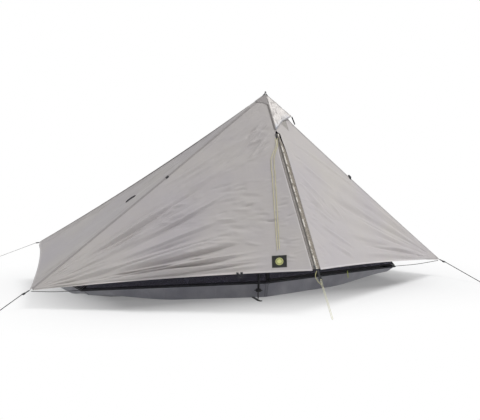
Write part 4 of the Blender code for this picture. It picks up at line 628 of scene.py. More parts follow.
@dataclass(frozen=True)
class FloorCloth:
    """Coated floor cloth: grey, creased where it was packed, stitched along its rim and corners."""

    name: str = "floor_cloth"
    colour: Colour = srgb(196, 196, 202)
    dark: Colour = srgb(168, 168, 178)

    def make(self) -> Material:
        """The material."""
        r = Recipe(self.name)
        edge, along = r.layer("edge"), r.layer("along")
        x, y = (r.node("ShaderNodeSeparateXYZ", {}, {0: r.place()}, axis) for axis in (0, 1))
        packed = x.line(0.305, 0.004) | y.line(0.240, 0.004)
        cloudy, fine = r.noise(5.0, 5.0), r.noise(120.0, 3.0)
        seam = 1.0 - edge.ramp(0.009, 0.0102)
        stitches = edge.band(0.0065, 0.0004, 0.0003) * along.line(0.0036, 0.0022)
        colour = r.mix(self.colour, self.dark, cloudy.ramp(0.36, 0.66))
        colour = r.mix(
            r.shade(colour, 0.93 + fine * 0.08 + packed * 0.05 - seam * 0.22), srgb(60, 60, 64), stitches * 0.8,
        )
        normal = r.bump(fine, 0.0001, 0.5)
        normal = r.bump(r.noise(22.0, 4.0) * 0.8 + packed * 0.4, 0.0016, 0.8, normal)
        return r.finish(
            {"Base Color": colour, "Roughness": 0.40 + fine * 0.14 + cloudy * 0.08, "Normal": normal},
            {"Specular IOR Level": 0.4},
        )


@dataclass(frozen=True)
class InsectMesh:
    """Insect mesh: cells of a millimetre, see-through, closed along its seams."""

    name: str = "insect_mesh"
    colour: Colour = srgb(90, 88, 101)
    cell: float = 0.0012
    alpha: float = 0.66

    def make(self) -> Material:
        """The material."""
        r = Recipe(self.name)
        u, v = r.map()
        edge = r.layer("edge")
        threads = u.line(self.cell, 0.00045) | v.line(self.cell, 0.00045)
        cloudy = r.noise(7.0, 4.0)
        seam = 1.0 - edge.ramp(0.0075, 0.0088)
        light = 0.80 + cloudy * 0.30 + threads * 0.12
        colour = r.mix(r.shade(self.colour, light), srgb(20, 20, 23), seam * 0.9)
        alpha = (self.alpha - 0.06 + cloudy * 0.08 + threads * 0.06 + seam).clamp()
        normal = r.bump(threads, 0.0001, 0.5)
        return r.finish(
            {"Base Color": colour, "Alpha": alpha, "Roughness": 0.72 + cloudy * 0.1, "Normal": normal},
            {"Specular IOR Level": 0.25, "Sheen Weight": 0.15},
        )


@dataclass(frozen=True)
class Webbing:
    """Woven webbing: ribs across, a plain edge, fuzz and faded wear."""

    name: str = "black_webbing"
    colour: Colour = srgb(30, 30, 33)
    worn: Colour = srgb(64, 64, 68)
    rib: float = 0.0011
    rise: float = 0.00035

    def make(self) -> Material:
        """The material."""
        r = Recipe(self.name)
        u, v = r.map()
        ribs = (v * (2 * math.pi / self.rib) + u.wave(0.0022) * 1.1).math("SINE") * 0.5 + 0.5
        fuzz = r.noise(900.0, 2.0)
        faded = r.noise(60.0, 4.0)
        # The rib crests take the lighter worn colour as a painted highlight; the faded patches are wear.
        colour = r.mix(self.colour, self.worn, (ribs * 0.35 + faded.ramp(0.45, 0.75) * 0.5).clamp())
        normal = r.bump(ribs * 0.8 + fuzz * 0.3, self.rise, 0.8)
        return r.finish(
            {"Base Color": r.shade(colour, 0.85 + fuzz * 0.3), "Roughness": 0.70 + faded * 0.15, "Normal": normal},
            {"Sheen Weight": 0.2, "Specular IOR Level": 0.3},
        )


@dataclass(frozen=True)
class Braid:
    """Braided cord: crossing strands with a tracer thread."""

    name: str
    colour: Colour
    tracer: Colour
    strand: float = 0.0016

    def make(self) -> Material:
        """The material."""
        r = Recipe(self.name)
        u, v = r.map()
        one = (u + v).wave(self.strand) * 0.5 + 0.5
        two = (u - v).wave(self.strand) * 0.5 + 0.5
        strands = one | two
        tracer = ((u - v) / (self.strand * 4)).math("FRACT").band(0.5, 0.10, 0.05) * two
        faded = r.noise(40.0, 3.0)
        colour = r.mix(r.shade(self.colour, 0.72 + strands * 0.26 + faded * 0.12), self.tracer, tracer * 0.8)
        return r.finish(
            {"Base Color": colour, "Roughness": 0.62 + faded * 0.15, "Normal": r.bump(strands, 0.0003, 0.9)},
            {"Sheen Weight": 0.15, "Specular IOR Level": 0.3},
        )


@dataclass(frozen=True)
class ZipTape:
    """Woven zip tape: a mottled field, a light wavy stitched line and painted shade along its edge by the coil."""

    name: str
    colour: Colour
    mottle: Colour
    light: Colour
    line_at: float
    dark_to: float

    def make(self) -> Material:
        """The material."""
        r = Recipe(self.name)
        across, v = r.layer("across"), r.map()[1]
        weave = v.wave(0.0008) * 0.5 + 0.5
        blotch = r.noise(150.0, 4.0, rough=0.65)
        drift = r.noise(26.0, 2.0)
        wavy = across + (v.wave(0.021) * 0.0007) + (drift - 0.5) * 0.0018
        colour = r.mix(self.colour, self.mottle, blotch.ramp(0.36, 0.66))
        # Painted shade: the tape darkens towards the coil.
        colour = r.mix(colour, srgb(58, 56, 55), (1.0 - across.ramp(self.dark_to, self.dark_to + 0.0014)) * 0.75)
        worn_through = r.noise(34.0, 2.0).ramp(0.49, 0.53)
        colour = r.mix(colour, self.light, wavy.band(self.line_at, 0.0024, 0.0014) * worn_through)
        stitches = across.band(self.line_at + 0.0052, 0.0004, 0.0003) * v.line(0.0034, 0.002)
        colour = r.mix(r.shade(colour, 0.86 + weave * 0.18 + drift * 0.06), srgb(206, 200, 190), stitches * 0.7)
        normal = r.bump(weave * 0.6 + blotch * 0.5, 0.00025, 0.8)
        return r.finish(
            {"Base Color": colour, "Roughness": 0.66 + blotch * 0.14, "Normal": normal},
            {"Sheen Weight": 0.15, "Specular IOR Level": 0.3},
        )


@dataclass(frozen=True)
class Coil:
    """Nylon zip coil: slanted turns, painted lighter on their crests and darker between them, with a sheen."""

    name: str
    colour: Colour
    pitch: float = 0.0018

    def make(self) -> Material:
        """The material."""
        r = Recipe(self.name)
        u, v = r.map()
        turns = (v + u * 0.35).wave(self.pitch) * 0.5 + 0.5
        dust = r.noise(300.0, 3.0)
        # Painted highlight and shade: each turn is lighter on its crest and darker between turns.
        colour = r.shade(self.colour, 0.55 + turns * 0.55 + dust * 0.15)
        return r.finish(
            {"Base Color": colour, "Roughness": 0.36 + dust * 0.2, "Normal": r.bump(turns, 0.0006, 1.0)},
            {"Specular IOR Level": 0.5},
        )


@dataclass(frozen=True)
class Moulded:
    """Moulded plastic: a fine eroded grain, scuffs, and dust in the hollows."""

    name: str
    colour: Colour
    scuff: Colour
    roughness: float = 0.42
    grain: float = 900.0

    def make(self) -> Material:
        """The material."""
        r = Recipe(self.name)
        grain, scuffs, dust = r.noise(self.grain, 3.0), r.noise(110.0, 6.0, rough=0.75), r.noise(30.0, 3.0)
        worn = scuffs.ramp(0.56, 0.70)
        colour = r.mix(self.colour, self.scuff, worn * 0.45 + dust.ramp(0.5, 0.8) * 0.12)
        normal = r.bump(grain - worn * 0.3, 0.00009, 0.7)
        return r.finish(
            {"Base Color": colour, "Roughness": self.roughness + grain * 0.10 + worn * 0.14, "Normal": normal},
            {"Specular IOR Level": 0.5},
        )


@dataclass(frozen=True)
class Metal:
    """Metal with drawing lines along the pole, fine scratches and worn spots."""

    name: str
    colour: Colour
    bright: Colour
    roughness: float = 0.34
    metallic: float = 0.85

    def make(self) -> Material:
        """The material."""
        r = Recipe(self.name)
        stretch = r.node("ShaderNodeMapping", {}, {"Vector": r.place(), "Scale": (900.0, 900.0, 14.0)})
        drawn = r.noise(1.0, 3.0, stretch)
        worn = r.noise(70.0, 6.0, rough=0.8).ramp(0.58, 0.72)
        colour = r.mix(r.shade(self.colour, 0.88 + drawn * 0.22), self.bright, worn * 0.5)
        normal = r.bump(drawn, 0.00004, 0.5)
        return r.finish(
            {
                "Base Color": colour, "Roughness": self.roughness + drawn * 0.12 - worn * 0.08,
                "Metallic": self.metallic - worn * 0.05, "Normal": normal,
            }
        )


@dataclass(frozen=True)
class Foam:
    """Grip foam: a pebbled skin with darker pores."""

    name: str = "grip_foam"
    colour: Colour = srgb(58, 58, 60)
    pore: Colour = srgb(30, 30, 32)

    def make(self) -> Material:
        """The material."""
        r = Recipe(self.name)
        pores = r.node("ShaderNodeTexVoronoi", {}, {"Vector": r.place(), "Scale": 700.0}, "Distance")
        handled = r.noise(45.0, 4.0)
        colour = r.mix(self.pore, self.colour, pores.ramp(0.1, 0.45))
        return r.finish(
            {
                "Base Color": r.shade(colour, 0.85 + handled * 0.3), "Roughness": 0.74 + handled * 0.12,
                "Normal": r.bump(pores, 0.0003, 0.8),
            },
            {"Specular IOR Level": 0.3},
        )


@dataclass(frozen=True)
class PlainBadge:
    """Woven patch: dark, with a plain yellow-green round spot and a stitched rim, and nothing written."""

    name: str = "plain_badge"
    ground: Colour = srgb(24, 25, 24)
    spot: Colour = srgb(206, 208, 138)
    radius: float = 0.023

    def make(self) -> Material:
        """The material."""
        r = Recipe(self.name)
        u, v = r.map()
        x, y = u - BADGE_WIDTH / 2, v - BADGE_HEIGHT / 2
        away = (x * x + y * y).math("SQRT")
        threads = u.wave(0.0009) * v.wave(0.0009) * 0.5 + 0.5
        ring = away.band(self.radius * 0.72, self.radius * 0.07, 0.0005)
        disc = 1.0 - away.ramp(self.radius - 0.0006, self.radius + 0.0006)
        fuzz = r.noise(260.0, 4.0)
        to_sides = abs(x).ramp(BADGE_WIDTH / 2 - 0.0042, BADGE_WIDTH / 2 - 0.0034)
        to_ends = abs(y).ramp(BADGE_HEIGHT / 2 - 0.0042, BADGE_HEIGHT / 2 - 0.0034)
        rim = to_sides | to_ends
        colour = r.mix(self.ground, self.spot, disc * (1.0 - ring * 0.85) * (0.82 + fuzz * 0.2))
        colour = r.mix(colour, srgb(52, 56, 46), rim * 0.7)
        normal = r.bump(threads * 0.5 + disc * 0.8 + rim * 0.8, 0.0003, 0.8)
        return r.finish(
            {
                "Base Color": r.shade(colour, 0.82 + threads * 0.22 + fuzz * 0.1), "Roughness": 0.64 + fuzz * 0.15,
                "Normal": normal,
            },
            {"Sheen Weight": 0.15},
        )


# Centre lines of the cords as the CAD part routes them, in hundredths of a millimetre
ROUTES = {
    name: np.array(points) / 100_000
    for name, points in {
        "guyline_front_left": (
            (-146803, -44774, 8748), (-146920, -44811, 8860), (-147025, -44843, 8985), (-147097, -44866, 9158),
            (-147158, -44885, 9322), (-147212, -44901, 9437), (-147290, -44926, 9496), (-147451, -44976, 9461),
            (-147618, -45028, 9389), (-147712, -45057, 9344), (-147794, -45082, 9280), (-147835, -45095, 9184),
            (-148014, -45151, 9019), (-148590, -45330, 8712), (-149298, -45550, 8354), (-152886, -46665, 6492),
            (-156475, -47780, 4630), (-160063, -48895, 2768), (-163652, -50011, 906), (-164277, -50166, 531),
            (-164935, -50410, 240), (-165714, -50966, 198), (-166476, -51517, 240), (-167117, -51767, 240),
            (-167622, -51873, 240), (-167904, -51896, 240), (-168079, -51831, 240), (-168257, -51681, 240),
            (-168373, -51478, 240), (-168392, -51246, 240), (-168331, -51021, 240), (-168224, -50868, 240),
            (-167978, -50727, 240), (-167496, -50545, 240), (-166832, -50371, 240), (-165968, -50244, 240),
            (-165021, -50133, 240),
        ),
        "guyline_front_right": (
            (143501, -48003, 9424), (143517, -48105, 9553), (143531, -48193, 9694), (143539, -48240, 9876),
            (143545, -48277, 10049), (143551, -48315, 10171), (143563, -48386, 10242), (143590, -48556, 10233),
            (143620, -48737, 10189), (143637, -48840, 10160), (143652, -48933, 10109), (143661, -48989, 10018),
            (143695, -49198, 9888), (143799, -49841, 9706), (143927, -50629, 9503), (145267, -58874, 7283),
            (146607, -67119, 5064), (147947, -75363, 2845), (149286, -83608, 625), (149362, -84308, 409),
            (149519, -85039, 240), (149962, -85894, 216), (150400, -86719, 240), (150558, -87389, 240),
            (150592, -87904, 240), (150576, -88186, 240), (150487, -88351, 240), (150313, -88506, 240),
            (150096, -88592, 240), (149863, -88579, 240), (149649, -88487, 240), (149513, -88359, 240),
            (149408, -88096, 240), (149295, -87594, 240), (149215, -86912, 240), (149211, -86039, 240),
            (149233, -85085, 240),
        ),
        "guyline_rear_left": (
            (-110359, 53366, 24417), (-110363, 53468, 24548), (-110366, 53557, 24689), (-110367, 53603, 24871),
            (-110369, 53639, 25044), (-110370, 53676, 25167), (-110372, 53748, 25238), (-110378, 53920, 25230),
            (-110384, 54103, 25188), (-110388, 54208, 25160), (-110391, 54303, 25110), (-110393, 54359, 25017),
            (-110401, 54573, 24891), (-110423, 55227, 24723), (-110450, 56030, 24540), (-111300, 80909, 18553),
            (-112149, 105787, 12565), (-112998, 130666, 6578), (-113848, 155544, 591), (-113835, 156253, 393),
            (-113898, 157002, 240), (-114229, 157907, 218), (-114559, 158780, 240), (-114631, 159464, 240),
            (-114600, 159980, 240), (-114548, 160258, 240), (-114438, 160410, 240), (-114246, 160542, 240),
            (-114020, 160600, 240), (-113791, 160557, 240), (-113590, 160438, 240), (-113471, 160294, 240),
            (-113400, 160020, 240), (-113352, 159508, 240), (-113359, 158821, 240), (-113466, 157955, 240),
            (-113608, 157012, 240),
        ),
        "guyline_rear_right": (
            (113909, 156250, 393), (113898, 157002, 240), (113629, 157928, 218), (113359, 158821, 240),
            (113334, 159508, 240), (113400, 160020, 240), (113471, 160294, 240), (113590, 160438, 240),
            (113791, 160557, 240), (114020, 160600, 240), (114246, 160542, 240), (114438, 160410, 240),
            (114548, 160258, 240), (114600, 159980, 240), (114612, 159465, 240), (114559, 158780, 240),
            (114394, 157923, 240), (114187, 156992, 240),
        ),
        "guyline_rear": (
            (0, 86275, 17883), (0, 86393, 17999), (0, 86499, 18128), (0, 86569, 18303), (0, 86627, 18470),
            (0, 86680, 18586), (0, 86760, 18648), (0, 86930, 18618), (0, 87106, 18553), (0, 87207, 18511),
            (0, 87294, 18449), (0, 87339, 18351), (0, 87534, 18197), (0, 88157, 17935), (0, 88925, 17635),
            (0, 99346, 13427), (0, 109767, 9218), (0, 120188, 5010), (0, 130609, 802), (37, 131279, 486),
            (0, 132000, 240), (-300, 132912, 205), (-600, 133800, 240), (-648, 134486, 240), (-600, 135000, 240),
            (-539, 135276, 240), (-424, 135424, 240), (-228, 135550, 240), (0, 135600, 240), (228, 135550, 240),
            (424, 135424, 240), (539, 135276, 240), (600, 135000, 240), (630, 134486, 240), (600, 133800, 240),
            (464, 132938, 240), (290, 132000, 240),
        ),
        "guyline_porch": (
            (1957, -134901, 21120), (1976, -135065, 21218), (1994, -135216, 21301), (2008, -135331, 21356),
            (2020, -135431, 21352), (2033, -135541, 21221), (2044, -135634, 21057), (2050, -135684, 20961),
            (2054, -135712, 20857), (2052, -135695, 20760), (2056, -135734, 20510), (2083, -135954, 19858),
            (2120, -136263, 19087), (2162, -136619, 18428), (2208, -137002, 17785), (3132, -144736, 4147),
            (3172, -145072, 3556), (3221, -145475, 2845), (3309, -146152, 1650), (3374, -146756, 587),
            (3350, -146906, 330), (3274, -146909, 342), (3148, -146958, 282), (3000, -147000, 240),
            (2846, -146994, 282), (2712, -146976, 342), (2637, -146992, 330), (2579, -146850, 587),
            (2500, -146249, 1650), (2426, -145570, 2845), (2378, -145167, 3556), (2338, -144831, 4147),
            (1414, -137096, 17785), (1368, -136714, 18428), (1325, -136358, 19087), (1288, -136048, 19858),
            (1262, -135829, 20510), (1257, -135790, 20760), (1259, -135807, 20857), (1256, -135779, 20961),
            (1250, -135729, 21057), (1239, -135636, 21221), (1226, -135526, 21352), (1214, -135425, 21356),
            (1200, -135311, 21301), (1182, -135160, 21218), (1163, -134996, 21120),
        ),
        "porch_cord": (
            (385, -132536, 25925), (229, -132668, 25728), (77, -132792, 25545), (-85, -132932, 25335),
            (-271, -133114, 25057), (-526, -133352, 24696), (-827, -133630, 24275), (-1095, -133929, 23811),
            (-1245, -134230, 23320), (-1251, -134541, 22780), (-1157, -134869, 22191), (-994, -135188, 21602),
            (-795, -135475, 21062), (-532, -135728, 20567), (-202, -135960, 20096), (135, -136162, 19675),
            (415, -136329, 19326), (616, -136447, 19079), (772, -136524, 18913), (911, -136584, 18780),
            (1058, -136652, 18631),
        ),
        "tie_cord": (
            (-16225, -115659, 36715), (-15436, -113348, 40844), (-14650, -111040, 44980), (-13872, -108744, 49138),
            (-13099, -106457, 53310), (-12331, -104177, 57493), (-11567, -101903, 61687), (-10806, -99633, 65888),
            (-10047, -97367, 70096), (-9289, -95104, 74307), (-8532, -92841, 78521), (-7929, -90381, 82799),
            (-7015, -88314, 86950), (-4963, -87475, 90983), (-3000, -86931, 94367), (-2377, -85802, 96364),
            (-2200, -84755, 97604), (-1967, -84258, 98482), (-1760, -84033, 98956), (-1470, -83988, 99040),
            (-1160, -84033, 98956), (-786, -83988, 99040), (-560, -84033, 98956), (-764, -84258, 98482),
            (-1150, -84755, 97604), (-1407, -85772, 96292), (-2000, -86931, 94367), (-3587, -87714, 91567),
            (-5271, -88788, 88111), (-6183, -90876, 84006), (-6889, -93295, 79622), (-7696, -95547, 75377),
            (-8504, -97798, 71134), (-9312, -100051, 66893), (-10121, -102307, 62658), (-10933, -104567, 58429),
            (-11748, -106831, 54209), (-12568, -109103, 50001), (-13392, -111382, 45806), (-14223, -113671, 41631),
            (-15058, -115965, 37463),
        ),
        "floor_cord_front_left": (
            (-110079, -40208, 8107), (-114042, -40610, 8206), (-118005, -41011, 8286), (-121968, -41413, 8404),
            (-125930, -41815, 8616), (-129893, -42216, 8959), (-133856, -42618, 9395), (-137819, -43020, 9869),
            (-141781, -43421, 10325),
        ),
        "floor_cord_rear_left": (
            (-110171, 39318, 9005), (-110176, 40422, 10766), (-110181, 41526, 12507), (-110186, 42630, 14286),
            (-110192, 43734, 16159), (-110197, 44838, 18164), (-110202, 45942, 20262), (-110207, 47046, 22397),
            (-110212, 48150, 24514),
        ),
    }.items()
}
# This guyline mirrors the left one as far as its eye, which is wound the same way round on both
ROUTES["guyline_rear_right"] = np.vstack([ROUTES["guyline_rear_left"][:19] * MIRROR, ROUTES["guyline_rear_right"]])
TIE_CORD_LINE = ROUTES["tie_cord"][::2]


def zip_taper(down: Array) -> Array:
    """Share of its full width that the zip's tape shows, which grows over its first 0.16 m."""
    return 0.40 + 0.60 * smooth(down, 0.0, 0.16)


@dataclass(frozen=True)
class Fold:
    """One crease in a cloth, from start to end.

    The ends are shares of the cloth: along its fan lines from the tip, and across the fan.
    """

    start: tuple[float, float]
    end: tuple[float, float]
    width: float = 0.016
    height: float = 0.004


Form = Callable[[Array, Array], tuple[Array, Array, Array]]


@dataclass
class Cloth:
    """A three-cornered cloth spanned by lines that fan out from its tip.

    p runs along a line from the tip to the far edge, and q across the fan from the first corner
    to the last. form(p, q) gives how far the cloth stands out, back towards the tip, and down.
    """

    tip: Array
    first: Array
    last: Array
    outward: Array
    form: Form
    trim: float = 0.008
    far_inset: Callable[[Array], Array] = lambda q: q * 0.0
    side_inset: float = 0.0
    folds: Sequence[Fold] = ()
    free_edges: tuple[int, ...] = ()
    quiet: Array | None = None
    boldness: float = 1.0
    window: tuple[float, float, float, float] | None = None

    def __post_init__(self) -> None:
        """Works out the cloth's plane."""
        a, b = unit(self.first - self.tip), unit(self.last - self.tip)
        self.normal = unit(np.cross(a, b))
        if self.normal @ self.outward < 0.0:
            self.normal = -self.normal
        self.axis_u = unit(self.last - self.first)
        self.axis_v = np.cross(self.normal, self.axis_u)
        self.off = (unit(b - a * (a @ b)), unit(a - b * (a @ b)))
        self.near = (self.tip + a * self.trim, self.tip + b * self.trim)

    def flat(self, p: Array, q: Array) -> Array:
        """The place on the cloth as if it were pulled flat."""
        far = lerp(self.first, self.last, q)
        home = unit(self.tip - far)
        square = np.abs(home @ np.cross(self.normal, self.axis_u))
        far = far + home * (self.far_inset(q) / square)[..., None]
        spot = lerp(lerp(self.near[0], self.near[1], q), far, p)
        shift = self.off[0] * (1.0 - np.asarray(q))[..., None] + self.off[1] * np.asarray(q)[..., None]
        return spot + shift * (self.side_inset * (1.0 - 2.0 * np.minimum(q, 1.0 - q)))[..., None]

    def chart(self, spot: Array) -> Array:
        """Two coordinates in the cloth's plane, in metres."""
        away = spot - self.tip
        return np.stack([away @ self.axis_u, away @ self.axis_v], axis=-1)

    def edges(self, spot: Array) -> tuple[Array, Array]:
        """Distance to the cloth's three edges, and the coordinate along each of them."""
        corners = [(self.tip, self.first), (self.tip, self.last), (self.first, self.last)]
        away, along = [], []
        for a, b in corners:
            line = unit(b - a)
            off = spot - a
            run = off @ line
            away.append(np.linalg.norm(off - run[..., None] * line, axis=-1))
            along.append(run)
        return np.stack(away), np.stack(along)

    def relief(self, spot: Array) -> Array:
        """Height of all the creases at flat places.

        Across a crease the height is (1 - 0.7 d/w) exp(-(d/w)^2), a crest with a hollow at its
        side, where d is the distance from its line and w its width; along it the height fades
        to nothing at both ends.
        """
        xy = self.chart(spot)
        total = np.zeros(xy.shape[:-1])
        for fold in self.folds:
            ends = self.chart(
                self.flat(np.array([fold.start[0], fold.end[0]]), np.array([fold.start[1], fold.end[1]]))
            )
            line = ends[1] - ends[0]
            length = float(np.linalg.norm(line))
            along = (xy - ends[0]) @ line / length**2
            across = ((xy[..., 0] - ends[0, 0]) * line[1] - (xy[..., 1] - ends[0, 1]) * line[0]) / length
            bend = across / fold.width - 0.35 * np.sin(np.pi * np.clip(along, 0, 1)) * np.sign(fold.height)
            body = (1.0 - 0.7 * bend) * np.exp(-(bend**2))
            total += fold.height * body * smooth(along, -0.04, 0.30) * (1.0 - smooth(along, 0.70, 1.04))
        return total

    def surface(self, p: Array, q: Array, height: float = 0.0) -> Array:
        """Places on the cloth's outer face, or at a height over it.

        A place is flat(p, q) + normal * (out + relief) + towards the tip * back - UP * down.
        """
        p, q = np.broadcast_arrays(np.asarray(p, float), np.asarray(q, float))
        spot = self.flat(p, q)
        out, back, down = self.form(p, q)
        away, _ = self.edges(spot)
        fade = np.ones(p.shape)
        for k in range(3):
            if k not in self.free_edges:
                fade = fade * smooth(away[k], 0.002, 0.030)
        detail = self.relief(spot) * fade * self.boldness
        if self.quiet is not None:
            gap = np.min(np.linalg.norm(spot[..., None, :] - self.quiet, axis=-1), axis=-1)
            calm = smooth(gap, 0.020, 0.070)
            detail = np.where(detail > 0, detail * calm, detail)
        home = unit(self.tip - spot)
        return (
            spot + self.normal * (out + detail + height)[..., None] + home * np.asarray(back)[..., None]
            - UP * np.asarray(down)[..., None]
        )

    def shares(self, points: Array) -> tuple[Array, Array]:
        """The p and q of the flat places under points, which are sums of the two side edges."""
        ends = np.array([self.first - self.tip, self.last - self.tip])
        parts = (points - self.tip) @ np.linalg.pinv(ends)
        total = parts[..., 0] + parts[..., 1]
        return total, parts[..., 1] / total

    def build(
        self, name: str, columns: int, rows: int, thickness: float, first: float = 0.0, last: float = 1.0,
    ) -> Object:
        """The cloth's mesh: a grid over p and q, with its map in metres and its edge layers.

        Args:
            name: Name of the piece.
            columns: Grid steps along p.
            rows: Grid steps along q.
            thickness: Thickness of the cloth.
            first: First q.
            last: Last q.

        Returns:
            The object.
        """
        q, p = np.meshgrid(np.linspace(first, last, rows + 1), np.linspace(0, 1, columns + 1), indexing="ij")
        spot = self.flat(p, q)
        away, along = self.edges(spot)
        nearest = np.argmin(away, axis=0)[None]
        layers = {
            "edge": np.take_along_axis(away, nearest, 0)[0],
            "along": np.take_along_axis(along, nearest, 0)[0],
            "lip": p,
        }
        points = self.surface(p, q).reshape(-1, 3)
        faces = grid_faces(rows + 1, columns + 1)
        if self.window is not None:
            middle = [share.ravel()[faces].mean(axis=1) for share in (p, q)]
            low_p, high_p, low_q, high_q = self.window
            inside = (middle[0] > low_p) & (middle[0] < high_p) & (middle[1] > low_q) & (middle[1] < high_q)
            faces = faces[~inside]
        a, b, c, d = (points[faces[:, k]] for k in range(4))
        looks = np.cross(c - a, d - b).sum(axis=0)
        if looks @ self.outward < 0.0:
            faces = faces[:, ::-1]
        obj = new_object(name, points, faces, self.chart(spot).reshape(-1, 2), layers)
        give_thickness(obj, thickness)
        return obj

    def area(self) -> float:
        """Flat area of the cut."""
        return float(np.linalg.norm(np.cross(self.first - self.tip, self.last - self.tip))) / 2


def strewn(
    seed: int, count: int, p: tuple[float, float], q: tuple[float, float], lean: tuple[float, float],
    reach: tuple[float, float], width: tuple[float, float], height: float,
) -> list[Fold]:
    """Small creases scattered over part of a cloth.

    Args:
        seed: Seed of the scatter.
        count: How many.
        p: Range of their starts along the fan lines.
        q: Range of their starts across the fan.
        lean: Range of how much q changes over one p.
        reach: Range of their length in p.
        width: Range of their widths.
        height: Their greatest height.

    Returns:
        The creases.
    """
    rng = np.random.default_rng(seed)
    made = []
    for _ in range(count):
        start = (rng.uniform(*p), rng.uniform(*q))
        run = rng.uniform(*reach)
        end = (start[0] + run, start[1] + run * rng.uniform(*lean))
        made.append(Fold(start, end, rng.uniform(*width), height * rng.uniform(0.35, 1.0) * rng.choice((-1, 1))))
    return made


def turned_hem(name: str, cloth: Cloth, edge: Array, inner: Array) -> Object:
    """A flattened loop of cloth along a cloth's edge.

    Args:
        name: Name of the piece.
        cloth: The cloth that it hems.
        edge: Points along the edge, as rows.
        inner: A point inside the cloth for each of them.

    Returns:
        The object.
    """
    across = unit(inner - edge)
    out = unit(np.cross(tangents(edge), across))
    out = out * np.sign(out @ cloth.normal)[:, None]
    path = edge + across * (HEM_WIDTH / 2 - 0.0010) - out * 0.0002
    loop = [
        (-0.5, -0.30), (-0.42, -0.9), (0.46, -0.62), (0.5, 0.0), (0.46, 0.62), (0.1, 0.95), (-0.42, 0.9),
        (-0.5, 0.30),
    ]
    return sweep(name, path, across, out, np.array(loop) * (HEM_WIDTH, 0.0009))


@dataclass(frozen=True)
class Ridge:
    """A slack seam from the peak to a corner: its end, the depth of its sag and whether it drops early."""

    end: Array
    depth: float
    early: bool = False

    def drop(self, t: Array) -> Array:
        """How far the ridge hangs below its straight line: depth * 4t(1 - t), or, where it drops
        early, depth * smooth(t) * (1 - t^2)."""
        t = np.asarray(t, float)
        if self.early:
            return self.depth * smooth(t, 0.045, 0.150) * (1.0 - t * t)
        return self.depth * 4.0 * t * (1.0 - t)

    def spot(self, t: Array) -> Array:
        """Points of the slack ridge."""
        return lerp(PEAK, self.end, t) - UP * self.drop(t)[..., None]


RIDGES = {
    ("front", Side.LEFT): Ridge(front_corner(Side.LEFT), 0.004),
    ("front", Side.RIGHT): Ridge(front_corner(Side.RIGHT), 0.030, True),
    ("rear", Side.LEFT): Ridge(rear_corner(Side.LEFT), 0.026),
    ("rear", Side.RIGHT): Ridge(rear_corner(Side.RIGHT), 0.026),
    ("middle", None): Ridge(REAR_POINT, 0.018),
}

LEFT_FOLDS = [
    Fold((0.157, 0.354), (0.649, 0.274), 0.020, 0.0050),
    Fold((0.205, 0.529), (0.711, 0.393), 0.022, 0.0060),
    Fold((0.251, 0.676), (0.762, 0.568), 0.022, 0.0062),
    Fold((0.260, 0.808), (0.781, 0.689), 0.020, 0.0055),
    Fold((0.195, 0.871), (0.835, 0.754), 0.018, 0.0048),
    Fold((0.300, 0.851), (0.772, 0.806), 0.015, -0.0042),
    Fold((0.350, 0.946), (0.874, 0.901), 0.014, 0.0062),
    Fold((0.441, 0.985), (0.859, 0.951), 0.012, 0.0056),
    Fold((0.432, 0.518), (0.741, 0.451), 0.014, -0.0036),
    Fold((0.347, 0.464), (0.616, 0.297), 0.015, 0.0036),
    Fold((0.515, 0.051), (0.849, 0.137), 0.012, 0.0032),
    Fold((0.649, 0.002), (0.840, 0.046), 0.010, 0.0024),
    Fold((0.455, 0.197), (0.868, 0.262), 0.016, 0.0040),
    Fold((0.930, 0.155), (0.984, 0.230), 0.006, 0.0020),
    Fold((0.925, 0.131), (0.995, 0.216), 0.006, -0.0016),
    Fold((0.811, 0.429), (0.851, 0.456), 0.008, -0.0024),
    Fold((0.821, 0.556), (0.857, 0.561), 0.008, -0.0024),
    Fold((0.880, 0.689), (0.933, 0.703), 0.008, -0.0026),
]
RIGHT_FOLDS = [
    Fold((0.060, 0.520), (0.560, 0.180), 0.022, 0.0042),
    Fold((0.070, 0.600), (0.480, 0.400), 0.020, 0.0045),
    Fold((0.080, 0.800), (0.520, 0.660), 0.018, 0.0040),
    Fold((0.100, 0.930), (0.640, 0.900), 0.014, 0.0040),
    Fold((0.930, 0.720), (0.700, 0.860), 0.012, 0.0042),
    Fold((0.900, 0.820), (0.720, 0.950), 0.012, 0.0040),
    Fold((0.950, 0.610), (0.780, 0.700), 0.012, 0.0034),
    Fold((0.955, 0.450), (0.800, 0.560), 0.014, 0.0032),
    Fold((0.950, 0.340), (0.700, 0.400), 0.014, 0.0030),
    Fold((0.450, 0.080), (0.900, 0.190), 0.014, 0.0028),
    Fold((0.400, 0.430), (0.780, 0.470), 0.020, -0.0036),
    Fold((0.350, 0.720), (0.720, 0.760), 0.018, -0.0034),
]


VENT_WINDOW = (0.905, 0.945, 0.2 * ZIP_SHARE, 0.6 * ZIP_SHARE)
LEFT_SEED, RIGHT_SEED = 12, 24
LEFT_STREWN = [
    (26, (0.13, 0.34), (0.30, 0.80), (-0.24, -0.14), (0.28, 0.50), (0.008, 0.014), 0.0042),
    (16, (0.25, 0.45), (0.80, 0.98), (-0.10, -0.02), (0.25, 0.45), (0.007, 0.012), 0.0042),
    (60, (0.50, 0.88), (0.28, 0.82), (0.2, 0.9), (0.04, 0.10), (0.008, 0.013), 0.0022),
    (36, (0.90, 0.955), (0.24, 0.97), (-0.5, 0.5), (0.025, 0.055), (0.006, 0.009), 0.0018),
    (22, (0.45, 0.85), (0.03, 0.28), (-0.10, 0.25), (0.10, 0.25), (0.010, 0.018), 0.0022),
    (16, (0.86, 0.93), (0.16, 0.34), (-1.0, 0.5), (0.05, 0.09), (0.006, 0.009), 0.0026),
    (22, (0.20, 0.50), (0.86, 0.985), (-0.06, 0.02), (0.20, 0.40), (0.006, 0.010), 0.0040),
    (26, (0.04, 0.12), (0.04, 0.96), (-0.1, 0.1), (0.08, 0.22), (0.004, 0.010), 0.0020),
]
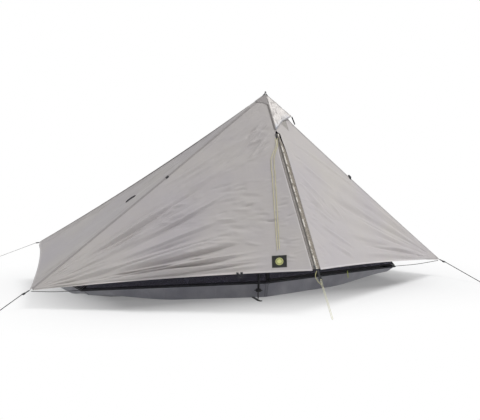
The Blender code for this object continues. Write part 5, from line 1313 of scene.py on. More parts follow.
RIGHT_STREWN = [
    (22, (0.10, 0.30), (0.25, 0.95), (-0.2, 0.1), (0.2, 0.45), (0.010, 0.018), 0.0030),
    (20, (0.62, 0.90), (0.55, 0.97), (-1.4, -0.4), (0.05, 0.12), (0.009, 0.014), 0.0026),
    (24, (0.45, 0.88), (0.28, 0.80), (-0.6, 0.6), (0.04, 0.10), (0.009, 0.014), 0.0010),
    (26, (0.90, 0.955), (0.30, 0.97), (-0.5, 0.5), (0.025, 0.055), (0.006, 0.009), 0.0016),
    (26, (0.04, 0.12), (0.04, 0.96), (-0.1, 0.1), (0.08, 0.22), (0.004, 0.010), 0.0018),
]
WALL_STREWN = [
    (26, (0.08, 0.30), (0.06, 0.94), (-0.02, 0.02), (0.25, 0.6), (0.012, 0.026), 0.0042),
    (34, (0.62, 0.90), (0.0, 0.10), (0.1, 0.6), (0.08, 0.2), (0.008, 0.014), 0.0030),
    (34, (0.62, 0.90), (0.90, 1.0), (-0.6, -0.1), (0.08, 0.2), (0.008, 0.014), 0.0030),
    (40, (0.15, 0.85), (0.05, 0.95), (-0.5, 0.5), (0.04, 0.12), (0.006, 0.012), 0.0014),
]
MESH_STREWN = (16, (0.3, 0.7), (0.05, 0.95), (-0.2, 0.2), (0.15, 0.3), (0.010, 0.02), 0.003)


@dataclass
class FrontCloth:
    """One front wall: the fixed cloth under the peak and the door below it, as one sheet."""

    side: Side
    finish: Material
    hem_finish: Material
    trim: float = 0.020
    thickness: float = 0.0005
    tape_sine: float = 0.49879
    tape_cut: float = 0.8667
    cut_full_at: float = 0.280
    tilt_full_at: float = 0.290
    centre_gap: float = 0.0004
    hem_cut: float = 0.014
    fold_depth: float = 0.0045
    fold_count: int = 5
    slack: float = 0.010
    columns: int = 160
    rows: int = 285
    beside_zip: float = field(init=False)

    def __post_init__(self) -> None:
        """Makes the cloth's form."""
        left = self.side is Side.LEFT
        self.beside_zip = 0.0193 if left else 0.0313
        self.ridge = RIDGES["front", self.side]
        folds = list(LEFT_FOLDS if left else RIGHT_FOLDS)
        for seed, extra in enumerate(LEFT_STREWN if left else RIGHT_STREWN, LEFT_SEED if left else RIGHT_SEED):
            folds += strewn(seed, *extra)
        outward = np.array((self.side.value, -1.0, 1.0))
        self.cloth = Cloth(
            front_corner(self.side), PEAK, PORCH_POINT, outward, self.form, self.trim, self.far_inset, folds=folds,
            free_edges=(1,), quiet=TIE_CORD_LINE if left else None, boldness=2.0 if left else 1.7,
            window=None if left else VENT_WINDOW,
        )

    def far_inset(self, q: Array) -> Array:
        """Distance kept from the centre line: almost none above the zip, the tape's width beside it."""
        below = smooth(q * PORCH_LENGTH, ZIP_TOP_DROP, self.cut_full_at)
        return self.centre_gap + below * self.beside_zip * self.tape_cut * zip_taper(q * PORCH_LENGTH - ZIP_TAPE_DROP)

    def form(self, p: Array, q: Array) -> tuple[Array, Array, Array]:
        """Above the zip the cloth follows its ridge. Below it stands out by fold depth times
        sin(pi p) sin(2 pi n q), hangs in by slack sin(pi p) sin(pi q), and its hem is cut up in
        the arc 4 p (1 - p) q^3."""
        top = np.clip(q / ZIP_SHARE, 0.0, 1.0)
        down = self.ridge.drop(np.clip(1.0 - p, 0.0, 1.0)) * (1.0 - top)
        door = np.clip((q - ZIP_SHARE) / (1.0 - ZIP_SHARE), 0.0, 1.0)
        reach = np.sin(np.pi * np.minimum(1.0, p / 0.84))
        folds = self.fold_depth * reach * np.sin(2 * np.pi * self.fold_count * door)
        slack = self.slack * np.sin(np.pi * p) * np.sin(np.pi * door)
        hem = self.hem_cut * 4.0 * p * (1.0 - p) * door**3
        tape = self.beside_zip * self.tape_sine * p * smooth(q * PORCH_LENGTH, ZIP_TOP_DROP, self.tilt_full_at)
        return folds - slack + tape, np.zeros_like(p), down - hem

    def build(self) -> None:
        """The sheet and its turned hem."""
        word = self.side.word
        sheet = self.cloth.build(f"front_cloth_{word}", self.columns, self.rows, self.thickness)
        dress(sheet, self.finish)
        line = unit(ZIP_TOP - self.cloth.tip)
        down = unit(np.cross(self.cloth.normal, line))
        if down @ PORCH_LINE < 0.0:
            down = -down
        start = ZIP_TOP + down * 0.003
        self.side.door
        tuple(start + down * 0.022)
        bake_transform(sheet)
        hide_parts(f"front_top_{word}", f"door_{word}")
        p = np.linspace(0.004, 0.998, 190)
        edge, inner = (self.cloth.surface(p, np.full_like(p, q)) for q in (1.0, 0.985))
        hem = turned_hem(f"door_hem_{word}", self.cloth, edge, inner)
        carry(hem, self.side.door, self.hem_finish, f"door_{word}")
        width = distance(PORCH_POINT, self.cloth.tip)
        area = self.cloth.area()


@dataclass
class WallCloth:
    """An end or rear wall of the canopy."""

    name: str
    side: Side
    first: Ridge
    last: Ridge
    fold_depth: float
    fold_count: int
    slack: float
    hem_cut: float
    seed: int
    finish: Material
    hem_finish: Material
    rests_on: tuple[str, str]
    thickness: float = 0.0005

    def __post_init__(self) -> None:
        """Makes the cloth's form."""
        outward = np.array((self.side.value, 0.0 if "end" in self.name else 1.0, 1.0))
        folds: list[Fold] = []
        for seed, extra in enumerate(WALL_STREWN, self.seed):
            folds += strewn(seed, *extra)
        self.cloth = Cloth(
            PEAK, self.first.end, self.last.end, outward, self.form, 0.008, folds=folds, free_edges=(2,),
            boldness=1.2,
        )

    def form(self, p: Array, q: Array) -> tuple[Array, Array, Array]:
        """The cloth drops with its ridges, stands out by fold depth sin(pi p) sin(2 pi n q), hangs
        in by slack sin(pi p) sin(pi q), and its hem is cut back in the arc 4 q (1 - q) p^3."""
        down = self.first.drop(p) * (1.0 - q) + self.last.drop(p) * q
        swell = np.sin(np.pi * p) * smooth(p, 0.072, 0.300)
        folds = self.fold_depth * swell * np.sin(2 * np.pi * self.fold_count * q)
        slack = self.slack * swell * np.sin(np.pi * q)
        return folds - slack, self.hem_cut * 4.0 * q * (1.0 - q) * p**3, down

    def build(self) -> None:
        """The sheet and its turned hem."""
        sheet = self.cloth.build(self.name, 170, 110, self.thickness)
        node = self.name.replace("_cloth", "_panel")
        carry(sheet, "tent", self.finish, node, node)
        q = np.linspace(0.006, 0.994, 150)
        edge, inner = (self.cloth.surface(np.full_like(q, p), q) for p in (1.0, 0.99))
        hem = turned_hem(f"{self.name}_hem", self.cloth, edge, inner)
        carry(hem, "tent", self.hem_finish, node)
        width = distance(self.last.end, self.first.end)
        area = self.cloth.area()


def face_along(obj: Object, outward: Array) -> None:
    """Turns an open sheet's faces to look along a direction."""
    mesh = obj.data
    looks = np.empty(len(mesh.polygons) * 3)
    mesh.polygons.foreach_get("normal", looks)
    if looks.reshape(-1, 3).sum(axis=0) @ outward < 0.0:
        mesh.flip_normals()


def dress(obj: Object, finish: Material) -> Object:
    """Gives a piece its material and logs its number of faces."""
    obj.data.materials.clear()
    obj.data.materials.append(finish)
    LOG.info("%s: %d faces", obj.name, len(obj.data.polygons))
    return obj


def carry(obj: Object, body: str, finish: Material, slot: str, *nodes: str) -> Object:
    """Dresses a piece, lets it ride on a body, and hides the CAD nodes that it stands for."""
    dress(obj, finish)
    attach(obj, body)
    if nodes:
        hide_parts(*nodes)
    return obj


@dataclass
class Seams:
    """The felled seams along the ridges: two legs of cloth that lap the walls on both sides."""

    finish: Material
    centre_finish: Material
    leg: float = 0.0075
    thickness: float = 0.0007
    lift: float = 0.0006

    def build(self, walls: dict[str, Cloth]) -> None:
        """One seam for each ridge and one on the centre line above the zip."""
        runs = [
            ("seam_front_left", RIDGES["front", Side.LEFT], "front_left", "end_left", "front_top_left"),
            ("seam_front_right", RIDGES["front", Side.RIGHT], "front_right", "end_right", "front_top_right"),
            ("seam_rear_left", RIDGES["rear", Side.LEFT], "end_left", "rear_left", "end_panel_left"),
            ("seam_rear_right", RIDGES["rear", Side.RIGHT], "end_right", "rear_right", "end_panel_right"),
            ("seam_rear", RIDGES["middle", None], "rear_left", "rear_right", "rear_panel_left"),
        ]
        for name, ridge, one, two, slot in runs:
            t = np.linspace(0.070, 0.988, 160)
            self.lap(name, ridge.spot(t), walls[one], walls[two], slot)
        t = np.linspace(0.075, ZIP_TOP_DROP - 0.001, 40)[:, None]
        self.lap("seam_centre", PEAK + PORCH_LINE * t, walls["front_left"], walls["front_right"], "front_top_left")

    def lap(self, name: str, path: Array, one: Cloth, two: Cloth, slot: str) -> None:
        """A seam over the ridge between two walls: a bent profile carried along the path."""
        along = unit(path[-1] - path[0])
        top = unit(one.normal + two.normal)
        across = unit(np.cross(along, top))
        legs = []
        for wall in (one, two):
            middle = (wall.tip + wall.first + wall.last) / 3 - path[0]
            into = np.cross(wall.normal, along)
            into = into if into @ middle > 0.0 else -into
            legs.append(np.array((into @ across, into @ top)))
        legs.sort(key=lambda leg: leg[0])
        low, high = self.lift, self.lift + self.thickness
        square = [np.array((-leg[1], leg[0])) for leg in legs]
        square = [s if s[1] > 0 else -s for s in square]
        apex = 1.0 / max(0.3, square[0][1])
        feet = [[leg * self.leg + up * rise for leg, up in zip(legs, square)] for rise in (high, low - 0.0004)]
        profile = [feet[0][0], (0.0, apex * high), feet[0][1], feet[1][1], (0.0, apex * low), feet[1][0]]
        obj = sweep(name, path, across, top, np.array(profile))
        carry(obj, "tent", self.centre_finish if name == "seam_centre" else self.finish, slot)


@dataclass
class VentHood:
    """The near-white hood over the vent, its window mesh and its strut."""

    finish: Material
    mesh_finish: Material
    strut_finish: Material
    tip_along: float = 0.252
    tip_rise: float = 0.016
    lift: float = 0.0024
    lip: float = 0.009
    wrinkle: float = 0.0030
    thickness: float = 0.0005
    seed: int = 71
    strut_inset: float = 0.0035

    def form(self, p: Array, q: Array) -> tuple[Array, Array, Array]:
        """Wrinkles sin(pi q) sin(6 pi p) sin(pi p), and a lip cut back by (sin(pi q) - 0.3 sin(3 pi q)) p^3."""
        wrinkle = self.wrinkle * np.sin(np.pi * q) * np.sin(6 * np.pi * p) * np.sin(np.pi * p)
        return wrinkle, self.lip * (np.sin(np.pi * q) - 0.3 * np.sin(3 * np.pi * q)) * p**3, np.zeros_like(p)

    def build(self, wall: Cloth) -> None:
        """The hood, the window mesh and the strut."""
        lift = wall.normal * self.lift
        corner = (
            lerp(PEAK, front_corner(Side.RIGHT), np.array(self.tip_along / FRONT_RIDGE_LENGTH)) + UP * self.tip_rise
        )
        folds = strewn(self.seed, 42, (0.15, 0.85), (0.06, 0.94), (-1.4, 1.4), (0.10, 0.34), (0.005, 0.010), 0.0042)
        hood = Cloth(
            PEAK + lift, ZIP_TOP + lift, corner, wall.normal, self.form, 0.024, folds=folds, free_edges=(1, 2),
        )
        obj = hood.build("vent_hood_cloth", 70, 60, self.thickness)
        carry(obj, "tent", self.finish, "vent_hood", "vent_hood")
        wide = distance(corner, ZIP_TOP)
        2 * hood.area() / wide
        hood.area() * 0.98
        q, p = np.meshgrid(
            np.linspace(0.2 * ZIP_SHARE - 0.004, 0.6 * ZIP_SHARE + 0.004, 13), np.linspace(0.902, 0.948, 19),
            indexing="ij",
        )
        window = wall.surface(p, q, -0.0012)
        mesh = new_object(
            "vent_window_mesh", window.reshape(-1, 3), grid_faces(13, 19)[:, ::-1],
            wall.chart(wall.flat(p, q)).reshape(-1, 2), {"edge": np.full(q.size, 0.02)},
        )
        give_thickness(mesh, 0.0003)
        # The window mesh's pale finish is painted shade under the hood.
        carry(mesh, "tent", self.mesh_finish, "vent_mesh", "vent_mesh")
        low, high = (np.array(corner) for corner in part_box("vent_strut"))
        inset = self.strut_inset
        ends = np.array(
            [(low[0] + inset, low[1] + inset, high[2] - inset), (high[0] - inset, high[1] - inset, low[2] + inset)]
        )
        line = rounded_route(ends, 0.004)
        across = unit(np.cross(tangents(line), UP))
        upward = unit(np.cross(across, tangents(line)))
        swell = 1.0 + 0.10 * np.sin(np.linspace(0.0, np.pi, len(line)))
        sleeve = sweep("strut_sleeve", line, across, upward, strip_profile(0.0094, 0.0064, 0.5), swell)
        carry(sleeve, "strut", self.strut_finish, "vent_strut", "vent_strut")


@dataclass
class PorchZip:
    """The porch zip: two tapes with their halves of the coil."""

    finishes: dict[Side, Material]
    coil_finishes: dict[Side, Material]
    start: float = 0.026
    length: float = 0.900
    inner: float = 0.0010
    coil_radius: float = 0.0021
    widths: dict[Side, float] = field(default_factory=lambda: {Side.LEFT: 0.018, Side.RIGHT: 0.030})

    def build(self) -> None:
        """Both sides."""
        for side in Side:
            self.tape(side)
            self.coil(side)

    def tape(self, side: Side) -> None:
        """A tape: x across and y down the zip, with slow waves of half a millimetre in its edge."""
        y, x = np.meshgrid(np.linspace(0.0005, self.length - 0.0005, 240), np.linspace(0.0, 1.0, 13), indexing="ij")
        width = self.widths[side] - self.inner
        across = self.inner + x * width * zip_taper(y)
        wave = (
            0.0007 * np.sin(y * 2 * np.pi / 0.083 + 1.7 * side.value) * x * x
            + 0.0004 * np.sin(y * 2 * np.pi / 0.029) * x
        )
        spot = (
            ZIP_TOP + PORCH_LINE * (self.start + y)[..., None] + ACROSS * (side.value * across)[..., None]
            + ZIP_OUTWARD * (wave - 0.0002)[..., None]
        )
        obj = new_object(
            f"zip_tape_{side.word}", spot.reshape(-1, 3), grid_faces(240, 13)[:, :: -side.value],
            np.stack([across, y], -1).reshape(-1, 2), {"across": across.ravel()},
        )
        face_along(obj, ZIP_OUTWARD)
        give_thickness(obj, 0.0008)
        carry(obj, side.door, self.finishes[side], f"porch_zip_{side.word}", f"porch_zip_{side.word}")

    def coil(self, side: Side) -> None:
        """A half of the coil: a half-round bar beside the zip's middle."""
        y = np.linspace(0.0005, self.length - 0.0005, 200)[:, None]
        path = ZIP_TOP + PORCH_LINE * (self.start + y)
        turn = np.linspace(0.0, np.pi, 9)
        profile = np.column_stack(
            [side.value * (0.0009 + self.coil_radius * (1 + np.cos(turn))), self.coil_radius * np.sin(turn)]
        )
        obj = sweep(f"zip_coil_{side.word}", path, ACROSS, ZIP_OUTWARD, profile)
        carry(obj, side.door, self.coil_finishes[side], f"porch_zip_{side.word}")


def cut_corners(points: Array, rounds: int = 2) -> Array:
    """A path with its corners cut: each point gives way to two, a quarter along its two spans."""
    points = np.asarray(points, float)
    for _ in range(rounds):
        low, high = points[:-1], points[1:]
        middle = np.stack([low * 0.75 + high * 0.25, low * 0.25 + high * 0.75], axis=1).reshape(-1, 3)
        points = np.vstack([points[:1], middle[1:-1], points[-1:]])
    return points


def strap(name: str, points: Array, across: Array, width: float, thickness: float) -> Object:
    """Flat webbing along a path, as wide as given along one direction."""
    path = cut_corners(points)
    across = unit(across)
    upward = unit(np.cross(tangents(path), across))
    return sweep(name, path, across, upward, strip_profile(width, thickness))


def squared(turn: Array, power: float) -> tuple[Array, Array]:
    """Cosine and sine of an angle, each raised to a power and its sign kept: a circle made squarer."""
    x, y = np.cos(turn), np.sin(turn)
    return np.sign(x) * np.abs(x) ** power, np.sign(y) * np.abs(y) ** power


@dataclass
class Buckle:
    """A ladder buckle: a rounded frame with a middle bar and two end bars."""

    length: float = 0.0200
    width: float = 0.0220
    thickness: float = 0.0040
    bar: float = 0.0036
    rail: float = 0.0034

    def build(self, name: str, place: Array, along: Array, level: Array) -> Object:
        """The buckle, its length along one direction and its width level.

        Args:
            name: Name of the piece.
            place: Its middle.
            along: Direction of its length.
            level: Direction of its width.

        Returns:
            The object.
        """
        upward = unit(np.cross(along, level))
        turn = np.linspace(0, 2 * np.pi, 40, endpoint=False)
        ring_x, ring_y = squared(turn, 0.35)
        ring = np.column_stack([ring_x * (self.length - self.bar) / 2, ring_y * (self.width - self.rail) / 2])
        tube_turn = np.linspace(0, 2 * np.pi, 10, endpoint=False)
        a, b = squared(tube_turn, 0.6)
        a, b = a * self.bar / 2, b * self.thickness / 2
        away = ring / np.linalg.norm(ring, axis=1)[:, None]
        flat = ring[:, None] + away[:, None] * a[None, :, None] * 0.9
        points = place + along * flat[..., :1] + level * flat[..., 1:] + upward * b[None, :, None]
        bm = bmesh.new()
        self.add(bm, points.reshape(-1, 3), np.vstack([grid_faces(40, 10, True), self.closing(40, 10)]))
        half = (self.width - self.rail) / 2
        y = np.linspace(-half, half, 9)
        bar = (
            place + along * (a[None, :, None] * 0.95) + level * y[:, None, None] + upward * (b[None, :, None] * 0.92)
        )
        ends = [list(range(10))[::-1], [80 + k for k in range(10)]]
        self.add(bm, bar.reshape(-1, 3), grid_faces(9, 10, True).tolist() + ends)
        mesh = bpy.data.meshes.new(name)
        bmesh.ops.recalc_face_normals(bm, faces=bm.faces[:])
        bm.to_mesh(mesh)
        bm.free()
        mesh.polygons.foreach_set("use_smooth", np.ones(len(mesh.polygons), bool))
        obj = bpy.data.objects.new(name, mesh)
        bpy.context.scene.collection.objects.link(obj)
        return obj

    def closing(self, rows: int, columns: int) -> Array:
        """Quads from the ring's last row to its first."""
        k = np.arange(columns)
        last = (rows - 1) * columns
        return np.stack([last + k, last + (k + 1) % columns, (k + 1) % columns, k], axis=-1)

    def add(self, bm: bmesh.types.BMesh, points: Array, faces: Array | list) -> None:
        """Adds points and faces to a mesh in the making."""
        verts = [bm.verts.new(p) for p in points.tolist()]
        for face in faces:
            bm.faces.new([verts[int(k)] for k in face])


CORNER_STRAPS = {
    "front_left": (
        (-0.29679, 0.95494, 0.0),
        (
            (-1.42825, -0.43538, 0.1099), (-1.45404, -0.4434, 0.0988), (-1.45809, -0.44466, 0.09965),
            (-1.46348, -0.44633, 0.09733), (-1.4639, -0.44646, 0.09629), (-1.46274, -0.4461, 0.09333),
            (-1.46174, -0.44579, 0.09289), (-1.45529, -0.44379, 0.09567),
        ),
    ),
    "front_right": (
        (-0.98705, -0.16039, 0.0),
        (
            (1.42785, -0.43598, 0.10994), (1.4324, -0.46402, 0.10315), (1.43305, -0.46802, 0.10465),
            (1.43401, -0.47388, 0.10323), (1.4341, -0.47446, 0.10227), (1.43398, -0.47373, 0.09915),
            (1.43383, -0.47278, 0.09856), (1.43269, -0.46577, 0.10026),
        ),
    ),
    "rear_left": (
        (0.99942, 0.03412, 0.0),
        (
            (-1.10207, 0.48895, 0.25955), (-1.10304, 0.51738, 0.25297), (-1.10318, 0.52143, 0.2545),
            (-1.10338, 0.52737, 0.25312), (-1.1034, 0.52796, 0.25216), (-1.10337, 0.52724, 0.24904),
            (-1.10334, 0.52628, 0.24844), (-1.1031, 0.51918, 0.25009),
        ),
    ),
    "rear": (
        (1.0, 0.0, 0.0),
        (
            (0.0, 0.82037, 0.19986), (0.0, 0.84774, 0.18966), (0.0, 0.85195, 0.19065), (0.0, 0.85766, 0.18852),
            (0.0, 0.85813, 0.18749), (0.0, 0.85701, 0.18449), (0.0, 0.85599, 0.18402), (0.0, 0.84915, 0.18657),
        ),
    ),
}
PORCH_STRAP = (
    (-0.99293, -0.11867, 0.0),
    (
        (0.012, -1.31939, 0.26793), (0.01457, -1.34087, 0.23008), (0.01518, -1.34599, 0.22749),
        (0.01556, -1.34919, 0.22185), (0.01553, -1.34889, 0.22076), (0.01503, -1.34476, 0.21838),
        (0.0149, -1.34367, 0.21868), (0.01442, -1.33968, 0.22571),
    ),
)
PEG_PLACES = {
    "front_left": (-1.678, -0.513, 0.0024),
    "front_right": (1.500, -0.880, 0.0024),
    "rear_left": (-1.140, 1.600, 0.0024),
    "rear_right": (1.140, 1.600, 0.0024),
    "rear": (0.0, 1.350, 0.0024),
    "porch": (0.030, -1.470, 0.0024),
}


@dataclass
class Corners:
    """Webbing straps with ladder buckles at the hem's corners and at the foot of the zip."""

    webbing: Material
    plastic: Material
    width: float = 0.014
    thickness: float = 0.0016
    strap_length: float = 0.034
    buckle_reach: float = 0.010

    def build(self) -> None:
        """Five corners and the porch strap."""
        for word, (across, points) in CORNER_STRAPS.items():
            self.corner(word, np.array(across), np.array(points))
        across, points = CORNER_STRAPS["rear_left"]
        self.corner("rear_right", np.array(across) * MIRROR, np.array(points) * MIRROR)
        across, points = (np.array(part) for part in PORCH_STRAP)
        strip = strap("porch_webbing", points, across, self.width, self.thickness)
        carry(strip, "right_door", self.webbing, "porch_strap", "porch_strap")
        self.declare(points)

    def corner(self, word: str, across: Array, points: Array) -> None:
        """A strap and its buckle."""
        node = f"corner_strap_{word}"
        strip = strap(f"strap_{word}", points, across, self.width, self.thickness)
        carry(strip, "tent", self.webbing, node, node)
        along = unit(np.array(PEG_PLACES[word]) - points[0])
        place = points[0] + along * (self.strap_length + self.buckle_reach)
        buckle = Buckle().build(f"buckle_{word}", place, along, unit(np.cross(UP, along)))
        carry(buckle, "tent", self.plastic, node)
        self.declare(points)

    def declare(self, points: Array) -> None:
        """Measures a strap's length along its cut corners, and keeps nothing of it."""
        length = route_length(cut_corners(points))


@dataclass
class Cords:
    """The guylines, the doubled cord on the door, the pale cord by the porch and the floor's cords."""

    dark: Material
    pale: Material
    cream: Material
    faint: Material
    radius: float = 0.00125
    front_radius: float = 0.0024
    floor_radius: float = 0.0019
    eye_at: int = 20

    def build(self) -> None:
        """Every cord, with the knots where guylines close their eyes."""
        for word in PEG_PLACES:
            porch = word == "porch"
            name = f"guyline_{word}"
            path = ROUTES[name]
            body = "right_door" if porch else "tent"
            front = word.startswith("front")
            finish = self.cream if porch else self.dark if front else self.faint
            knots = [] if porch else [self.knot(f"knot_{word}", path, body, finish)]
            self.cord(
                name, path, self.front_radius if front else self.radius, body, finish,
            )
        self.cord("porch_cord", ROUTES["porch_cord"], self.radius, "right_door", self.pale)
        self.cord("tie_cord", ROUTES["tie_cord"], self.radius, "left_door", self.pale)
        for end in ("front", "rear"):
            left = ROUTES[f"floor_cord_{end}_left"]
            for side, path in ((Side.LEFT, left), (Side.RIGHT, left * MIRROR)):
                self.cord(
                    f"floor_cord_{end}_{side.word}", path, self.floor_radius, "tent", self.dark,
                )

    def cord(
        self, node: str, path: Array, radius: float, body: str, finish: Material,
    ) -> None:
        """One cord along its route."""
        obj = tube(f"{node}_line", path, radius)
        carry(obj, body, finish, node, node)
        2 * radius

    def knot(self, name: str, path: Array, body: str, finish: Material) -> Object:
        """The knot that closes an eye: three turns wound round both strands."""
        turn = np.linspace(0.0, 6 * np.pi, 73)
        first, last = path[self.eye_at], path[-1]
        middle, away = (first + last) / 2, distance(first, last) / 2
        line = unit(path[self.eye_at - 1] - path[self.eye_at + 2])
        line[2] = 0.0
        line = unit(line)
        side = unit(np.cross(UP, line))
        ring = middle + UP * 0.0006 + line * ((turn / (6 * np.pi) - 0.5) * 0.0070)[:, None]
        ring = ring + side * (np.cos(turn) * (away + 0.0019))[:, None] + UP * (np.sin(turn) * 0.0017)[:, None]
        obj = tube(name, ring, 0.0010, 6)
        return carry(obj, body, finish, name.replace("knot", "guyline"))


def pole_axes() -> tuple[Array, Array, Array]:
    """The pole's direction and two directions square to it."""
    pole = unit(PEAK - POLE_FOOT)
    side = unit(ACROSS - pole * (ACROSS @ pole))
    return pole, side, np.cross(pole, side)


@dataclass
class Peak:
    """The reinforcement over the peak, its loop, and the pocket inside that takes the pole's grip."""

    patch_finish: Material
    webbing: Material
    pocket_finish: Material
    reach: float = 0.080
    hole: float = 0.006
    lift: float = 0.0021
    steps: int = 10
    columns: int = 26

    def build(self, walls: dict[str, Cloth]) -> None:
        """Patch, loop and pocket."""
        self.patch(walls)
        half = np.array(
            (
                (-0.01594, -0.65828, 1.24124), (-0.00663, -0.65974, 1.24867), (-0.003, -0.66032, 1.25162),
                (-0.003, -0.66251, 1.26276), (-0.0015, -0.6628, 1.26423),
            )
        )
        path = np.vstack([half, half[::-1] * MIRROR])
        loop = strap("peak_webbing_loop", path, np.array((0.0, -0.98124, -0.1928)), 0.008, 0.0016)
        carry(loop, "tent", self.webbing, "peak_loop", "peak_loop")
        self.pocket()

    def patch(self, walls: dict[str, Cloth]) -> None:
        """Five faces round the peak, each spanned between two ridges at a small height."""
        order = ["front_left", "end_left", "rear_left", "rear_right", "end_right"]
        ridges = [
            None, RIDGES["front", Side.LEFT], RIDGES["rear", Side.LEFT], RIDGES["middle", None],
            RIDGES["rear", Side.RIGHT], RIDGES["front", Side.RIGHT],
        ]
        normals = [walls[name].normal for name in order]
        p = np.linspace(0.0, 1.0, self.columns)
        reach = self.hole + (self.reach - self.hole) * p
        edges = []
        for k, ridge in enumerate(ridges):
            line = (
                PEAK + PORCH_LINE * reach[:, None] if ridge is None
                else ridge.spot(reach / np.linalg.norm(ridge.end - PEAK))
            )
            if k == 0:
                rise = normals[0] * self.lift + ACROSS * -0.0009
            elif k == 5:
                rise = normals[4] * self.lift
            else:
                rise = (normals[k - 1] + normals[k]) * (self.lift / (1.0 + normals[k - 1] @ normals[k]))
            edges.append(line + rise)
        rows = []
        uv = []
        for k in range(5):
            for j in range(self.steps + (k == 4)):
                share = j / self.steps
                scallop = 1.0 - 0.06 * math.sin(math.pi * share)
                row = lerp(edges[k], edges[k + 1], np.full(self.columns, share))
                pull = (PEAK - row) * ((1.0 - scallop) * p)[:, None]
                rows.append(row + pull)
                uv.append(np.column_stack([np.full(self.columns, (k + share) * 0.03), reach]))
        uv = np.array(uv)
        layers = {"edge": np.broadcast_to(self.reach - reach, uv.shape[:2]), "along": uv[..., 0]}
        obj = grid_object("peak_reinforcement", np.array(rows), uv, layers)
        face_along(obj, UP)
        give_thickness(obj, 0.0005)
        carry(obj, "tent", self.patch_finish, "peak_patch", "peak_patch")

    def pocket(self) -> None:
        """A cloth cup round the pole's grip: a profile of radius and height turned about the pole."""
        pole, side, other = pole_axes()
        top = distance(PEAK, POLE_FOOT) - 0.049
        radius = np.array(
            (
                0.0002, 0.008, 0.0150, 0.0182, 0.0188, 0.0187, 0.0190, 0.0186, 0.0189, 0.0190, 0.0178, 0.0178, 0.0177,
                0.0178, 0.0176, 0.0145, 0.008, 0.0002,
            )
        )
        height = (
            top
            - np.array(
                (
                    0.0, 0.0, 0.0004, 0.0012, 0.004, 0.012, 0.020, 0.028, 0.036, 0.0448, 0.0448, 0.036, 0.020, 0.006,
                    0.0020, 0.0014, 0.0012, 0.0012,
                )
            )
        )
        turn = np.linspace(0, 2 * np.pi, 48, endpoint=False)
        gather = 1.0 + 0.006 * np.sin(turn * 8)
        ring = side * np.cos(turn)[:, None] + other * np.sin(turn)[:, None]
        points = (
            POLE_FOOT + pole * height[:, None, None]
            + ring[None] * (radius[:, None] * np.where(radius[:, None] > 0.0179, gather[None], 1.0))[..., None]
        )
        uv = np.stack(np.broadcast_arrays((turn * 0.018)[None], height[:, None]), -1)
        obj = grid_object("grip_pocket", points, uv, closed=True)
        outward_faces(obj, 50.0)
        carry(obj, "tent", self.pocket_finish, "peak_pocket", "peak_pocket")


RIDGE_TABS = {
    Side.LEFT: (
        (-0.77528, 0.12161, -0.6198),
        ((-0.60767, -0.55221, 0.76073), (-0.60999, -0.565, 0.76113), (-0.60505, -0.57403, 0.75318)),
    ),
    Side.RIGHT: (
        (-0.78327, -0.12287, 0.60942),
        (
            (0.65071, -0.54541, 0.70721), (0.6560, -0.5500, 0.7200), (0.6545, -0.5620, 0.7165),
            (0.64845, -0.56803, 0.69974),
        ),
    ),
}


